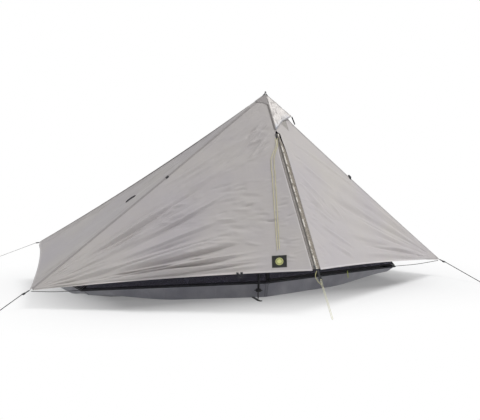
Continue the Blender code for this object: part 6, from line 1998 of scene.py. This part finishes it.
@dataclass
class Ties:
    """The webbing tabs on ridges and ends, the hem tie with its ring, the badge and the zip loop."""

    webbing: Material
    badge: Material
    plastic: Material
    tab_width: float = 0.020
    strip_width: float = 0.018
    webbing_thickness: float = 0.0016

    def build(self, walls: dict[str, Cloth]) -> None:
        """Every tie."""
        for side, (across, points) in RIDGE_TABS.items():
            node = f"ridge_tie_{side.word}"
            tab = strap(f"ridge_tab_{side.word}", points, across, self.tab_width, self.webbing_thickness)
            carry(tab, "tent", self.webbing, node, node)
            route_length(cut_corners(points))
            self.end_tie(side, walls[f"end_{side.word}"])
        self.hem_tie(walls["front_left"])
        self.patch(walls["front_left"])
        self.zip_loop()

    def end_tie(self, side: Side, wall: Cloth) -> None:
        """A strip that lies on the end wall."""
        share = np.linspace(-0.5, 0.5, 16)
        p = 0.585 - share * 0.075 / FRONT_RIDGE_LENGTH
        q = 0.49 - share * 0.03
        arch = 0.0030 * np.sin(np.pi * (share + 0.5))
        path = wall.surface(p, q, 0.0030) + wall.normal * arch[:, None]
        across = unit(np.cross(tangents(path), wall.normal))
        upward = np.cross(across, tangents(path))
        obj = sweep(f"end_strip_{side.word}", path, across, upward, strip_profile(self.strip_width, 0.0050))
        node = f"end_tie_{side.word}"
        carry(obj, "tent", self.webbing, node, node)

    def door_spot(
        self, wall: Cloth, p_door: float, q_door: float, across: Array, down: Array, height: float,
    ) -> Array:
        """Places on the left door, in metres across and down from a place given as shares of it."""
        line = distance(PORCH_POINT, wall.tip)
        drop = distance(PORCH_POINT, ZIP_TOP)
        p = p_door + across / line
        q = q_door + down / (drop * p_door)
        return wall.surface(p, np.minimum(1.02, ZIP_SHARE + (1.0 - ZIP_SHARE) * q), height)

    def hem_tie(self, wall: Cloth) -> None:
        """A tab of cloth that narrows below the hem, with a black ring through it."""
        v, u = np.meshgrid(np.linspace(0, 1, 9), np.linspace(-0.5, 0.5, 9), indexing="ij")
        down = v * 0.032 - 0.010
        hang = np.maximum(down, 0.0)
        feet = []
        for word, shift in (("near", 0.013), ("far", -0.013)):
            wide = 0.015 - 0.003 * v
            spot = self.door_spot(
                wall, 0.745, 1.0, shift * (1.0 - 0.35 * v) + u * wide, np.minimum(down, 0.0), 0.0026,
            )
            spot = spot + PORCH_LINE * (hang * 0.5)[..., None] - UP * (hang * 0.6)[..., None]
            tab = grid_object(f"hem_tab_{word}", spot, np.stack([u * wide, down], -1))
            face_along(tab, wall.normal)
            give_thickness(tab, 0.0022)
            carry(tab, "left_door", self.webbing, "hem_tie", *(["hem_tie"] if word == "near" else []))
            feet.append(spot[-1, 4])
        middle = (feet[0] + feet[1]) / 2
        turn = np.linspace(0, 2 * np.pi, 33)
        side = unit(feet[0] - feet[1])
        ring = middle + side * (np.cos(turn) * 0.0125)[:, None] - UP * (np.sin(turn) * 0.0055 + 0.0010)[:, None]
        bead = tube("hem_ring", ring, 0.0013, 8)
        carry(bead, "left_door", self.plastic, "hem_tie")

    def patch(self, wall: Cloth) -> None:
        """The badge: a woven patch that follows the door, sewn flat."""
        wide, high = BADGE_WIDTH, BADGE_HEIGHT
        low, top = (np.array(corner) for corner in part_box("badge_patch"))
        hem = unit(PORCH_POINT - wall.tip)
        middle = (low + top) / 2 + hem * 0.010
        v, u = np.meshgrid(np.linspace(0, 1, 25), np.linspace(0, 1, 29), indexing="ij")
        down = unit(np.cross(wall.normal, hem))
        down = down if down[2] < 0 else -down
        place = middle + hem * ((u - 0.5) * wide)[..., None] + down * ((v - 0.5) * high)[..., None]
        p, q = wall.shares(place)
        spot = wall.surface(p, q, 0.0019)
        obj = grid_object("plain_badge", spot, np.stack([u * wide, (1 - v) * high], -1))
        face_along(obj, wall.normal)
        give_thickness(obj, 0.0011)
        carry(obj, "left_door", self.badge, "badge_patch", "badge_patch")

    def zip_loop(self) -> None:
        """A folded loop of webbing below the top of the zip, its eye at its foot."""
        middle = np.array((-0.0116, -0.832104, 1.001799))
        turn = np.linspace(0, np.pi, 13)[1:-1]
        leg = np.array([(0.0034, -0.0174), (0.0034, -0.004), (0.0034, 0.0138)])
        bend = np.column_stack([0.0034 * np.cos(turn), 0.0139 + 0.0034 * np.sin(turn)])
        flat = np.vstack([leg, bend, leg[::-1] * (-1.0, 1.0)])
        path = middle + ZIP_OUTWARD * flat[:, :1] + PORCH_LINE * flat[:, 1:]
        upward = unit(np.cross(tangents(path), ACROSS))
        obj = sweep("zip_loop", path, ACROSS, upward, strip_profile(0.0050, 0.0011))
        carry(obj, "left_door", self.webbing, "door_loop", "door_loop")


FLOOR_CORNERS = np.array(
    ((0, -0.671, 0), (1.05, -0.38, 0), (1.05, 0.37, 0), (0, 0.60, 0), (-1.05, 0.37, 0), (-1.05, -0.38, 0)), float,
)
RIM_CORNERS = np.array(
    (
        (0, -0.693, 0.095), (1.10, -0.402, 0.082), (1.10, 0.392, 0.090), (0, 0.622, 0.095), (-1.10, 0.392, 0.090),
        (-1.10, -0.402, 0.082),
    ),
    float,
)
RIM_CLEARANCE = 0.00192
MESH_PEAK = np.array((0.0, -0.630, 1.150))


@dataclass
class BathtubFloor:
    """The coated floor with its drawn-up walls."""

    finish: Material
    webbing: Material
    steps: int = 48
    thickness: float = 0.0006
    corner_lift: float = 0.045
    crease_count: int = 60
    crease_seed: int = 5

    def outline(self, corners: Array, around: Array) -> Array:
        """Points of an outline at shares of its way round, in sixths of a side each."""
        low = np.floor(around).astype(int) % 6
        return lerp(corners[low], corners[(low + 1) % 6], around - np.floor(around))

    def lift(self, around: Array) -> Array:
        """How far the edge is held off the ground near the two front corners."""
        total = np.zeros_like(around)
        for corner in (1.0, 5.0):
            away = np.abs(around - corner)
            total = np.maximum(total, 1.0 - np.minimum(away, 6.0 - away) * 2.0)
        return self.corner_lift * smooth(total, 0.0, 1.0)

    def build(self) -> None:
        """The tub: rings spread from the middle to the outline, then up the wall to the rim.

        A place on the floor is outline * share, raised by the lift times 0.25 at share 0.84 and
        1 at share 1; the wall bellies by sin(pi h) and small waves, and the rim is rolled.
        """
        around = np.arange(6 * self.steps) / self.steps
        share = np.concatenate([np.linspace(0.02, 0.60, 22), np.linspace(0.62, 1.0, 26)])
        lift_share = np.interp(share, (0.0, 0.62, 0.84, 1.0), (0.0, 0.0, 0.25, 1.0))
        edge = self.outline(FLOOR_CORNERS, around)
        lift = self.lift(around)
        floor = edge[None] * share[:, None, None] + UP * (lift[None] * lift_share[:, None])[..., None]
        rng = np.random.default_rng(self.crease_seed)
        creases = np.zeros(floor.shape[:2])
        for _ in range(self.crease_count):
            spot = rng.uniform((-0.9, -0.5), (0.9, 0.45))
            angle = rng.uniform(0, np.pi)
            line = np.array((math.cos(angle), math.sin(angle)))
            off = floor[..., :2] - spot
            along, across = off @ line, off @ np.array((-line[1], line[0]))
            creases += 0.0022 * rng.uniform(0.3, 1.0) * np.exp(
                -((across / 0.012) ** 2) - (along / rng.uniform(0.05, 0.2)) ** 2
            )
        fade = 1.0 - smooth(share, 0.80, 0.98)[:, None]
        floor = floor + UP * (creases * fade)[..., None]
        height = np.linspace(0.0, 1.0, 22)[1:]
        rim = self.outline(RIM_CORNERS, around)
        foot = floor[-1]
        wall = foot[None] * (1 - height)[:, None, None] + rim[None] * height[:, None, None]
        out = unit(np.stack([rim[:, 0] * 0.35, rim[:, 1], np.zeros(len(around))], -1))
        corner = np.abs(around - np.round(around))
        calm = smooth(corner, 0.0, 0.10)
        wave = (
            0.0045 * np.sin(around * 2 * np.pi * 5.0 + 1.0) + 0.0030 * np.sin(around * 2 * np.pi * 11.0 + 0.4)
            - 0.0035
        )
        belly = (wave * calm)[None] * np.sin(np.pi * height)[:, None]
        wall = wall + out[None] * belly[..., None]
        points = np.concatenate([floor, wall])
        rows, columns = points.shape[:2]
        length = np.concatenate([share, 1.0 + height * 0.1])
        uv = np.stack(np.broadcast_arrays(around[None] * 0.9, length[:, None]), -1)
        rim_gap = np.concatenate([np.full(len(share), 0.05), (1 - height) * 0.09])[:, None]
        seam_gap = np.where(np.arange(rows)[:, None] >= len(share), (corner * 0.9)[None], 0.05)
        gap = np.minimum(np.broadcast_to(rim_gap, (rows, columns)), seam_gap)
        verts = points.reshape(-1, 3).tolist() + [[0.0, 0.0, 0.0]]
        faces = grid_faces(rows, columns, True).tolist()
        hub = rows * columns
        faces += [[hub, (k + 1) % columns, k] for k in range(columns)]
        layers = {"edge": np.append(gap.ravel(), 0.05), "along": np.append(uv[..., 0].ravel(), 0.0)}
        obj = new_object("tub_floor", np.array(verts), faces, np.vstack([uv.reshape(-1, 2), [[0, 0]]]), layers)
        face_along(obj, -UP)
        give_thickness(obj, self.thickness)
        carry(obj, "tent", self.finish, "bathtub_floor", "bathtub_floor")
        self.binding(points[-1])

    def binding(self, rim: Array) -> None:
        """The binding folded over the tub's rim."""
        path = np.vstack([rim, rim[:1]])
        along = tangents(path)
        across = unit(np.cross(along, UP))
        profile = np.array([(-0.9, -8.0), (0.9, -8.0), (1.0, -1.0), (0.5, 0.6), (-0.5, 0.6), (-1.0, -1.0)]) * 0.001
        obj = sweep("tub_binding", path, across, np.broadcast_to(UP, path.shape), profile)
        carry(obj, "tent", self.webbing, "bathtub_floor")


@dataclass
class MeshWalls:
    """The insect mesh round the sleeper, its zipped door and the door's track."""

    finish: Material
    tape: Material
    coil: Material
    thickness: float = 0.0003
    seam: float = 0.0012
    track: float = 0.009
    track_gap: float = 0.0016
    wall_slack: float = 0.010
    door_slack: float = 0.008
    wall_seed: int = 20
    door_seed: int = 9
    grid: int = 60

    def form(self, depth: float) -> Form:
        """A slack wall hangs in by depth sin(pi p) sin(pi q), with two long waves."""

        def shape(p: Array, q: Array) -> tuple[Array, Array, Array]:
            swell = np.sin(np.pi * p) * np.sin(np.pi * q)
            return -depth * swell * (1.0 + 0.35 * np.sin(5 * np.pi * q)), p * 0.0, p * 0.0

        return shape

    def build(self) -> None:
        """The fixed walls, the door and the track."""
        rim = RIM_CORNERS + UP * RIM_CLEARANCE
        self.front_left(rim)
        self.door(rim)
        self.back(rim)
        self.build_track(rim)

    def front_left(self, rim: Array) -> None:
        """The fixed half of the front: one flat-cut wall from a side of the rim to the top."""
        first, last = rim[0], rim[5]
        outward = (first + last) / 2 * (1, 1, 0)
        cloth = Cloth(
            MESH_PEAK, first, last, outward, self.form(self.wall_slack), 0.030, side_inset=self.seam,
            folds=strewn(self.wall_seed, *MESH_STREWN),
        )
        obj = cloth.build("mesh_wall_front_left", self.grid, self.grid, self.thickness)
        carry(obj, "tent", self.finish, "mesh_front_left", "mesh_front_left")
        wide = distance(last, first)
        2 * cloth.area() / wide
        cloth.area() * 0.98

    def door(self, rim: Array) -> None:
        """The zipped half, cut back for the track at its foot and beside the front seam."""
        first, last = rim[0], rim[1]
        a, b, c = unit(first - MESH_PEAK), unit(last - MESH_PEAK), unit(last - first)
        side = self.seam + self.track + self.track_gap
        foot = self.track + self.track_gap
        sine_a, sine_b = (np.linalg.norm(np.cross(edge, c)) for edge in (a, b))
        inner_first = first - a * (foot / sine_a) + c * (side / sine_a)
        inner_last = last - c * (self.seam / sine_b) - b * (foot / sine_b)
        tip = MESH_PEAK + (unit(b - a * (a @ b)) * side + unit(a - b * (a @ b)) * self.seam)
        outward = (first + last) / 2 * (1, 1, 0)
        cloth = Cloth(
            tip, inner_first, inner_last, outward, self.form(self.door_slack), 0.050,
            folds=strewn(self.door_seed, *MESH_STREWN),
        )
        obj = cloth.build("mesh_door_cloth", self.grid, self.grid, self.thickness)
        carry(obj, "inner_door", self.finish, "mesh_door", "mesh_door")
        wide = distance(inner_last, inner_first)
        2 * cloth.area() / wide
        cloth.area() * 0.97

    def back(self, rim: Array) -> None:
        """The wall round both ends and the rear, in four facets that hang in a little."""
        around = rim[[5, 4, 3, 2, 1]]
        q, p = np.meshgrid(np.linspace(0, 4, 161), np.linspace(0, 1, 51), indexing="ij")
        at = np.minimum(3, np.floor(q + 1e-9).astype(int))
        low = lerp(around[at], around[at + 1], q - at)
        trim = 0.030 / np.linalg.norm(low - MESH_PEAK, axis=-1)
        spot = lerp(np.broadcast_to(MESH_PEAK, low.shape), low, trim + (1 - trim) * p)
        for end, line in ((0, around[1] - around[0]), (4, around[3] - around[4])):
            spot = spot + unit(line) * (0.0024 * np.clip(1 - np.abs(q - end) * 20, 0, 1))[..., None]
        inward = unit(np.stack([-spot[..., 0] * 0.6, -spot[..., 1] - 0.2, spot[..., 2] * 0], -1))
        belly = np.sin(np.pi * p) * np.abs(np.sin(np.pi * q)) * (0.010 + 0.003 * np.sin(7 * np.pi * q))
        spot = spot + inward * belly[..., None]
        away = np.minimum(np.abs(q - np.round(q)) * 0.7 * p, (1 - p) * 1.1)
        obj = grid_object("mesh_wall_back", spot, np.stack([q * 0.8, p * 1.2], -1), {"edge": away})
        face_along(obj, np.array((0.0, 1.0, 0.0)))
        give_thickness(obj, self.thickness)
        carry(obj, "tent", self.finish, "mesh_back", "mesh_back")

    def build_track(self, rim: Array) -> None:
        """The door's zip: a tape along the foot and one up beside the front seam, each with a coil."""
        foot, along = rim[0], unit(rim[1] - rim[0])
        rise = unit(MESH_PEAK - foot)
        outward = unit(np.cross(along, rise))
        outward = outward if outward @ np.array((1.0, -1.0, 0.0)) > 0 else -outward
        upward = unit(np.cross(outward, along))
        upward = upward if upward[2] > 0 else -upward
        lean, climb = rise @ along, rise @ upward
        side = along * climb - upward * lean
        raised = foot + outward * 0.0003 - upward * 0.0004
        length = distance(rim[1], rim[0]) * 0.88
        runs = {
            "track_foot": (
                raised + upward * (self.track / 2) + along * np.linspace(0.010, length, 70)[:, None], upward,
            ),
            "track_arm": (
                raised + side * (self.seam + 0.0045) + rise * np.linspace(0.0102, 0.850, 60)[:, None], side,
            ),
        }
        for name, (path, across) in runs.items():
            tape = sweep(name, path, across, outward, strip_profile(self.track, 0.0016))
            nodes = ["mesh_zip_track"] if name == "track_foot" else []
            carry(tape, "tent", self.tape, "mesh_zip_track", *nodes)
            turn = np.linspace(0.0, np.pi, 7)
            profile = np.column_stack([0.0030 + 0.0013 * np.cos(turn), 0.0007 + 0.0007 * np.sin(turn)])
            coil = sweep(f"{name}_coil", path, across, outward, profile)
            carry(coil, "tent", self.coil, "mesh_zip_track")


@dataclass
class FootStrap:
    """The webbing on the ground under the pole."""

    webbing: Material

    def build(self) -> None:
        """A flat strip from the floor's edge past the pole's tip, its tail bent aside."""
        points = np.array(
            (
                (-0.0796, -0.6535), (-0.0868, -0.7070), (-0.0950, -0.7600), (-0.0960, -0.7680), (-0.0952, -0.7737),
                (-0.0933, -0.7842), (-0.0897, -0.7950),
            )
        )
        path = rounded_route(np.column_stack([points, np.full(len(points), 0.0020)]), 0.004)
        across = unit(np.cross(UP, tangents(path)))
        obj = sweep("foot_webbing", path, across, UP, strip_profile(0.018, 0.0040))
        carry(obj, "tent", self.webbing, "foot_strap", "foot_strap")


@dataclass
class Basket:
    """What thickens the moulded basket above the pole's tip."""

    finish: Material
    radius: float = 0.0236
    sides: int = 60

    def build(self) -> None:
        """A rolled rim round the CAD dish and a sleeve on its hub, which is a profile of radius
        and height turned about the pole."""
        pole, side, other = pole_axes()
        low, high = (np.array(corner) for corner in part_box("pole_basket"))
        middle = POLE_FOOT + pole * (((low + high) / 2 - POLE_FOOT) @ pole)
        sides = self.sides
        turn = np.linspace(0, 2 * np.pi, sides, endpoint=False)
        ring = side * np.cos(turn)[:, None] + other * np.sin(turn)[:, None]
        profiles = {
            "basket_rim": (self.radius + 0.0022 * np.cos(turn[::6]), 0.0030 * np.sin(turn[::6])),
            "basket_sleeve": (
                np.array((0.0118, 0.0150, 0.0156, 0.0156, 0.0150, 0.0118)),
                np.array((-0.0100, -0.0100, -0.0080, 0.0080, 0.0100, 0.0100)),
            ),
        }
        for name, (radius, height) in profiles.items():
            points = middle + pole * height[:, None, None] + ring[None] * radius[:, None, None]
            uv = np.stack(np.broadcast_arrays((turn * 0.018)[None], height[:, None]), -1)
            cells = grid_faces(len(radius), sides, True)
            last = (len(radius) - 1) * sides
            closing = [[last + (k + 1) % sides, last + k, k, (k + 1) % sides] for k in range(sides)]
            obj = new_object(name, points.reshape(-1, 3), np.vstack([cells, closing]), uv.reshape(-1, 2))
            outward_faces(obj, 50.0)
            carry(obj, "tent", self.finish, "pole_basket")


@dataclass
class KeptPieces:
    """CAD pieces whose shape is right, which only take a finish."""

    finishes: dict[str, Material]

    def dress(self) -> None:
        """Puts each finish on its pieces."""
        for name, finish in self.finishes.items():
            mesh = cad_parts[name].data
            mesh.materials.clear()
            mesh.materials.append(finish)
            LOG.info("%s: CAD shape, %s", name, finish.name)


@dataclass
class Studio:
    """A pale floor, soft light and the camera."""

    fov: float = 21.083
    eye: tuple[float, float, float] = (-3.441, -7.737, 1.439)
    target: tuple[float, float, float] = (-0.097, -0.526, 0.532)
    lens_shift: tuple[float, float] = (-1.57, -0.27)
    picture_width: float = 480.0
    film_width: float = 36.0
    sky: float = 0.43
    key: float = 2.0
    fill: float = 0.36

    def build(self) -> None:
        """Everything that isn't the tent."""
        self.ground()
        self.world()
        self.lamps()
        self.camera()

    def ground(self) -> None:
        """A wide disc, pale near the tent, where a painted glow that grows outwards lightens its shadow, and white to
        the camera further out.
        """
        turn = np.linspace(0, 2 * np.pi, 96, endpoint=False)
        radius = np.array((0.01, 1.0, 2.0, 3.0, 4.5, 7.0, 12.0, 30.0))
        points = np.stack(
            [np.cos(turn)[None] * radius[:, None], np.sin(turn)[None] * radius[:, None], np.full((8, 96), -0.0006)],
            -1,
        )
        obj = grid_object("ground", points, closed=True)
        face_along(obj, UP)
        r = Recipe("ground")
        axes = [r.node("ShaderNodeSeparateXYZ", {}, {0: r.place()}, k) for k in (0, 1)]
        # The camera sees a glow share that grows from a fifth near the tent's footprint to all of it further out:
        # painted light over the outer shadow.
        beyond = [(abs(axes[0] - 0.06) - 0.94) | 0.0, (abs(axes[1] + 0.15) - 0.45) | 0.0]
        away = (beyond[0] * beyond[0] + beyond[1] * beyond[1]).math("SQRT").ramp(0.0, 0.97)
        white = 1.0 - (1.0 - away) ** 1.4 * 0.80
        grain = r.noise(40.0, 3.0)
        r.finish({"Base Color": r.shade(srgb(240, 240, 240), 0.985 + grain * 0.02), "Roughness": 0.9 + grain * 0.05})
        glow = r.node("ShaderNodeEmission", {}, {"Color": (1.0, 1.0, 1.0), "Strength": 1.0})
        path = [
            r.node("ShaderNodeLightPath", {}, {}, word)
            for word in ("Is Camera Ray", "Is Glossy Ray", "Is Transmission Ray")
        ]
        seen = path[0] | path[1] | path[2]
        mix = r.node("ShaderNodeMixShader", {}, {0: white * seen, 2: glow})
        r.tree.links.new(r.shader.outputs[0], mix.socket.node.inputs[1])
        output = next(n for n in r.tree.nodes if n.type == "OUTPUT_MATERIAL")
        r.tree.links.new(mix.socket, output.inputs[0])
        obj.data.materials.append(r.material)

    def world(self) -> None:
        """Even pale light all round, seen as white."""
        world = bpy.data.worlds.new("studio")
        bpy.context.scene.world = world
        world.use_nodes = True
        tree = world.node_tree
        tree.nodes.clear()
        path = tree.nodes.new("ShaderNodeLightPath")
        seen, lit, mix = (
            tree.nodes.new(kind) for kind in ("ShaderNodeBackground", "ShaderNodeBackground", "ShaderNodeMixShader")
        )
        seen.inputs[0].default_value = (1.0, 1.0, 1.0, 1.0)
        lit.inputs[0].default_value = (0.97, 0.98, 1.0, 1.0)
        lit.inputs[1].default_value = self.sky
        either = tree.nodes.new("ShaderNodeMath")
        either.operation = "MAXIMUM"
        tree.links.new(path.outputs["Is Camera Ray"], either.inputs[0])
        tree.links.new(path.outputs["Is Transmission Ray"], either.inputs[1])
        tree.links.new(either.outputs[0], mix.inputs[0])
        tree.links.new(lit.outputs[0], mix.inputs[1])
        tree.links.new(seen.outputs[0], mix.inputs[2])
        out = tree.nodes.new("ShaderNodeOutputWorld")
        tree.links.new(mix.outputs[0], out.inputs[0])

    def lamps(self) -> None:
        """A broad high key from the front right and a weaker fill from the left."""
        for name, angles, strength, spread in (
            ("key", (25.8, 0.0, 47.2), self.key, 28.0), ("fill", (73.7, 0.0, 28.0), self.fill, 40.0),
        ):
            lamp = bpy.data.lights.new(name, "SUN")
            lamp.energy = strength
            lamp.angle = math.radians(spread)
            obj = bpy.data.objects.new(name, lamp)
            obj.rotation_euler = tuple(math.radians(a) for a in angles)
            bpy.context.scene.collection.objects.link(obj)

    def camera(self) -> None:
        """The photograph's viewpoint, its lens shifted by pixels of the picture."""
        data = bpy.data.cameras.new("camera")
        data.sensor_width = self.film_width
        data.lens = self.film_width / 2 / math.tan(math.radians(self.fov / 2))
        data.shift_x, data.shift_y = (shift / self.picture_width for shift in self.lens_shift)
        obj = bpy.data.objects.new("camera", data)
        obj.location = self.eye
        look = Vector(self.target) - Vector(self.eye)
        obj.rotation_euler = look.to_track_quat("-Z", "Y").to_euler()
        bpy.context.scene.collection.objects.link(obj)
        bpy.context.scene.camera = obj


def finishes() -> dict[str, Material]:
    """Every material, made once."""
    made = {
        "canopy": CanopyCloth(),
        # The hems take the canopy's cloth painted lighter: a painted highlight along the turned hems.
        "hem": CanopyCloth("hem_cloth", srgb(198, 193, 190), srgb(190, 186, 187), band=0.0001),
        "seam": CanopyCloth("seam_cloth", srgb(158, 153, 151), srgb(150, 146, 146), band=0.0001),
        "patch": CanopyCloth("patch_cloth", srgb(160, 155, 153), srgb(146, 142, 142), band=0.006),
        "centre": CanopyCloth("centre_seam_cloth", srgb(126, 121, 118), srgb(108, 104, 102), band=0.0001),
        "hood": HoodCloth(),
        "floor": FloorCloth(),
        "mesh": InsectMesh(),
        # The vent's mesh is coloured pale grey so that it renders as the soft shade under the hood: painted shade.
        "vent_mesh": InsectMesh("vent_mesh", srgb(158, 154, 149), alpha=0.90),
        "webbing": Webbing(),
        "binding": Webbing("binding_tape", srgb(56, 56, 60), srgb(84, 84, 90)),
        "tape_left": ZipTape(
            "zip_tape_left", srgb(150, 144, 139), srgb(110, 105, 102), srgb(112, 107, 102), 0.0400, 0.0010,
        ),
        "tape_right": ZipTape(
            "zip_tape_right", srgb(158, 150, 139), srgb(100, 93, 84), srgb(222, 217, 208), 0.0095, 0.0010,
        ),
        "coil": Coil("porch_coil", srgb(136, 131, 125)),
        "dark_coil": Coil("track_coil", srgb(34, 34, 36), 0.0012),
        "pale": Braid("pale_cord", srgb(224, 218, 160), srgb(176, 172, 96)),
        "dark": Braid("dark_cord", srgb(44, 44, 46), srgb(92, 92, 92)),
        "faint": Braid("faint_cord", srgb(120, 120, 118), srgb(160, 160, 158)),
        "cream": Braid("cream_cord", srgb(226, 224, 190), srgb(190, 188, 140)),
        "plastic": Moulded("black_plastic", srgb(34, 34, 36), srgb(84, 84, 86)),
        "track": Webbing("track_tape", srgb(26, 26, 28), srgb(50, 50, 54), 0.0008, 0.0002),
        "lime": Moulded("lime_pull", srgb(214, 222, 120), srgb(230, 234, 170), 0.55, 400.0),
        "shaft": Metal("shaft_metal", srgb(32, 32, 36), srgb(90, 92, 98), 0.42, 0.45),
        "steel": Metal("slider_metal", srgb(92, 92, 94), srgb(190, 190, 192), 0.38, 0.9),
        "foam": Foam(),
        "badge": PlainBadge(),
    }
    return {word: finish.make() for word, finish in made.items()}


def main() -> None:
    """Builds the tent's looks piece by piece."""
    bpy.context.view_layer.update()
    bpy.context.scene.view_settings.view_transform = "Standard"
    Studio().build()
    look = finishes()
    Cords(look["dark"], look["pale"], look["cream"], look["faint"]).build()
    walls: dict[str, Cloth] = {}
    fronts = [FrontCloth(side, look["canopy"], look["hem"]) for side in Side]
    others = []
    for side in Side:
        front, rear, middle = RIDGES["front", side], RIDGES["rear", side], RIDGES["middle", None]
        word, seed = side.word, 40 + 3 * side.value
        others.append(
            WallCloth(
                f"end_cloth_{word}", side, front, rear, 0.0045, 3, 0.018, 0.035, seed, look["canopy"], look["hem"],
                (f"corner_strap_front_{word}", f"corner_strap_rear_{word}"),
            )
        )
        others.append(
            WallCloth(
                f"rear_cloth_{word}", side, rear, middle, 0.0050, 3, 0.020, 0.040, seed + 50, look["canopy"],
                look["hem"], (f"corner_strap_rear_{word}", "corner_strap_rear"),
            )
        )
    for front in fronts:
        walls[f"front_{front.side.word}"] = front.cloth
        front.build()
    for wall in others:
        walls[wall.name.replace("_cloth", "")] = wall.cloth
        wall.build()
    Seams(look["seam"], look["centre"]).build(walls)
    VentHood(look["hood"], look["vent_mesh"], look["plastic"]).build(walls["front_right"])
    PorchZip(
        {Side.LEFT: look["tape_left"], Side.RIGHT: look["tape_right"]}, {side: look["coil"] for side in Side},
    ).build()
    Peak(look["patch"], look["webbing"], look["seam"]).build(walls)
    Ties(look["webbing"], look["badge"], look["plastic"]).build(walls)
    Corners(look["webbing"], look["plastic"]).build()
    BathtubFloor(look["floor"], look["binding"]).build()
    MeshWalls(look["mesh"], look["track"], look["dark_coil"]).build()
    FootStrap(look["webbing"]).build()
    Basket(look["plastic"]).build()
    kept = {name: look["steel"] for name in ("porch_zip_slider", "mesh_zip_slider", "pole_tip")}
    kept |= {
        name: look["plastic"]
        for name in ("porch_zip_pull", "porch_buckle", "pole_basket", "middle_collar", "upper_collar")
    }
    kept |= {name: look["shaft"] for name in ("pole_lower_shaft", "pole_middle_shaft", "pole_upper_shaft")}
    kept |= {"mesh_zip_pull": look["lime"], "pole_grip": look["foam"]}
    KeptPieces(kept).dress()


if __name__ == "__main__":
    logging.basicConfig(level=logging.INFO, format="%(name)s %(message)s")
    main()
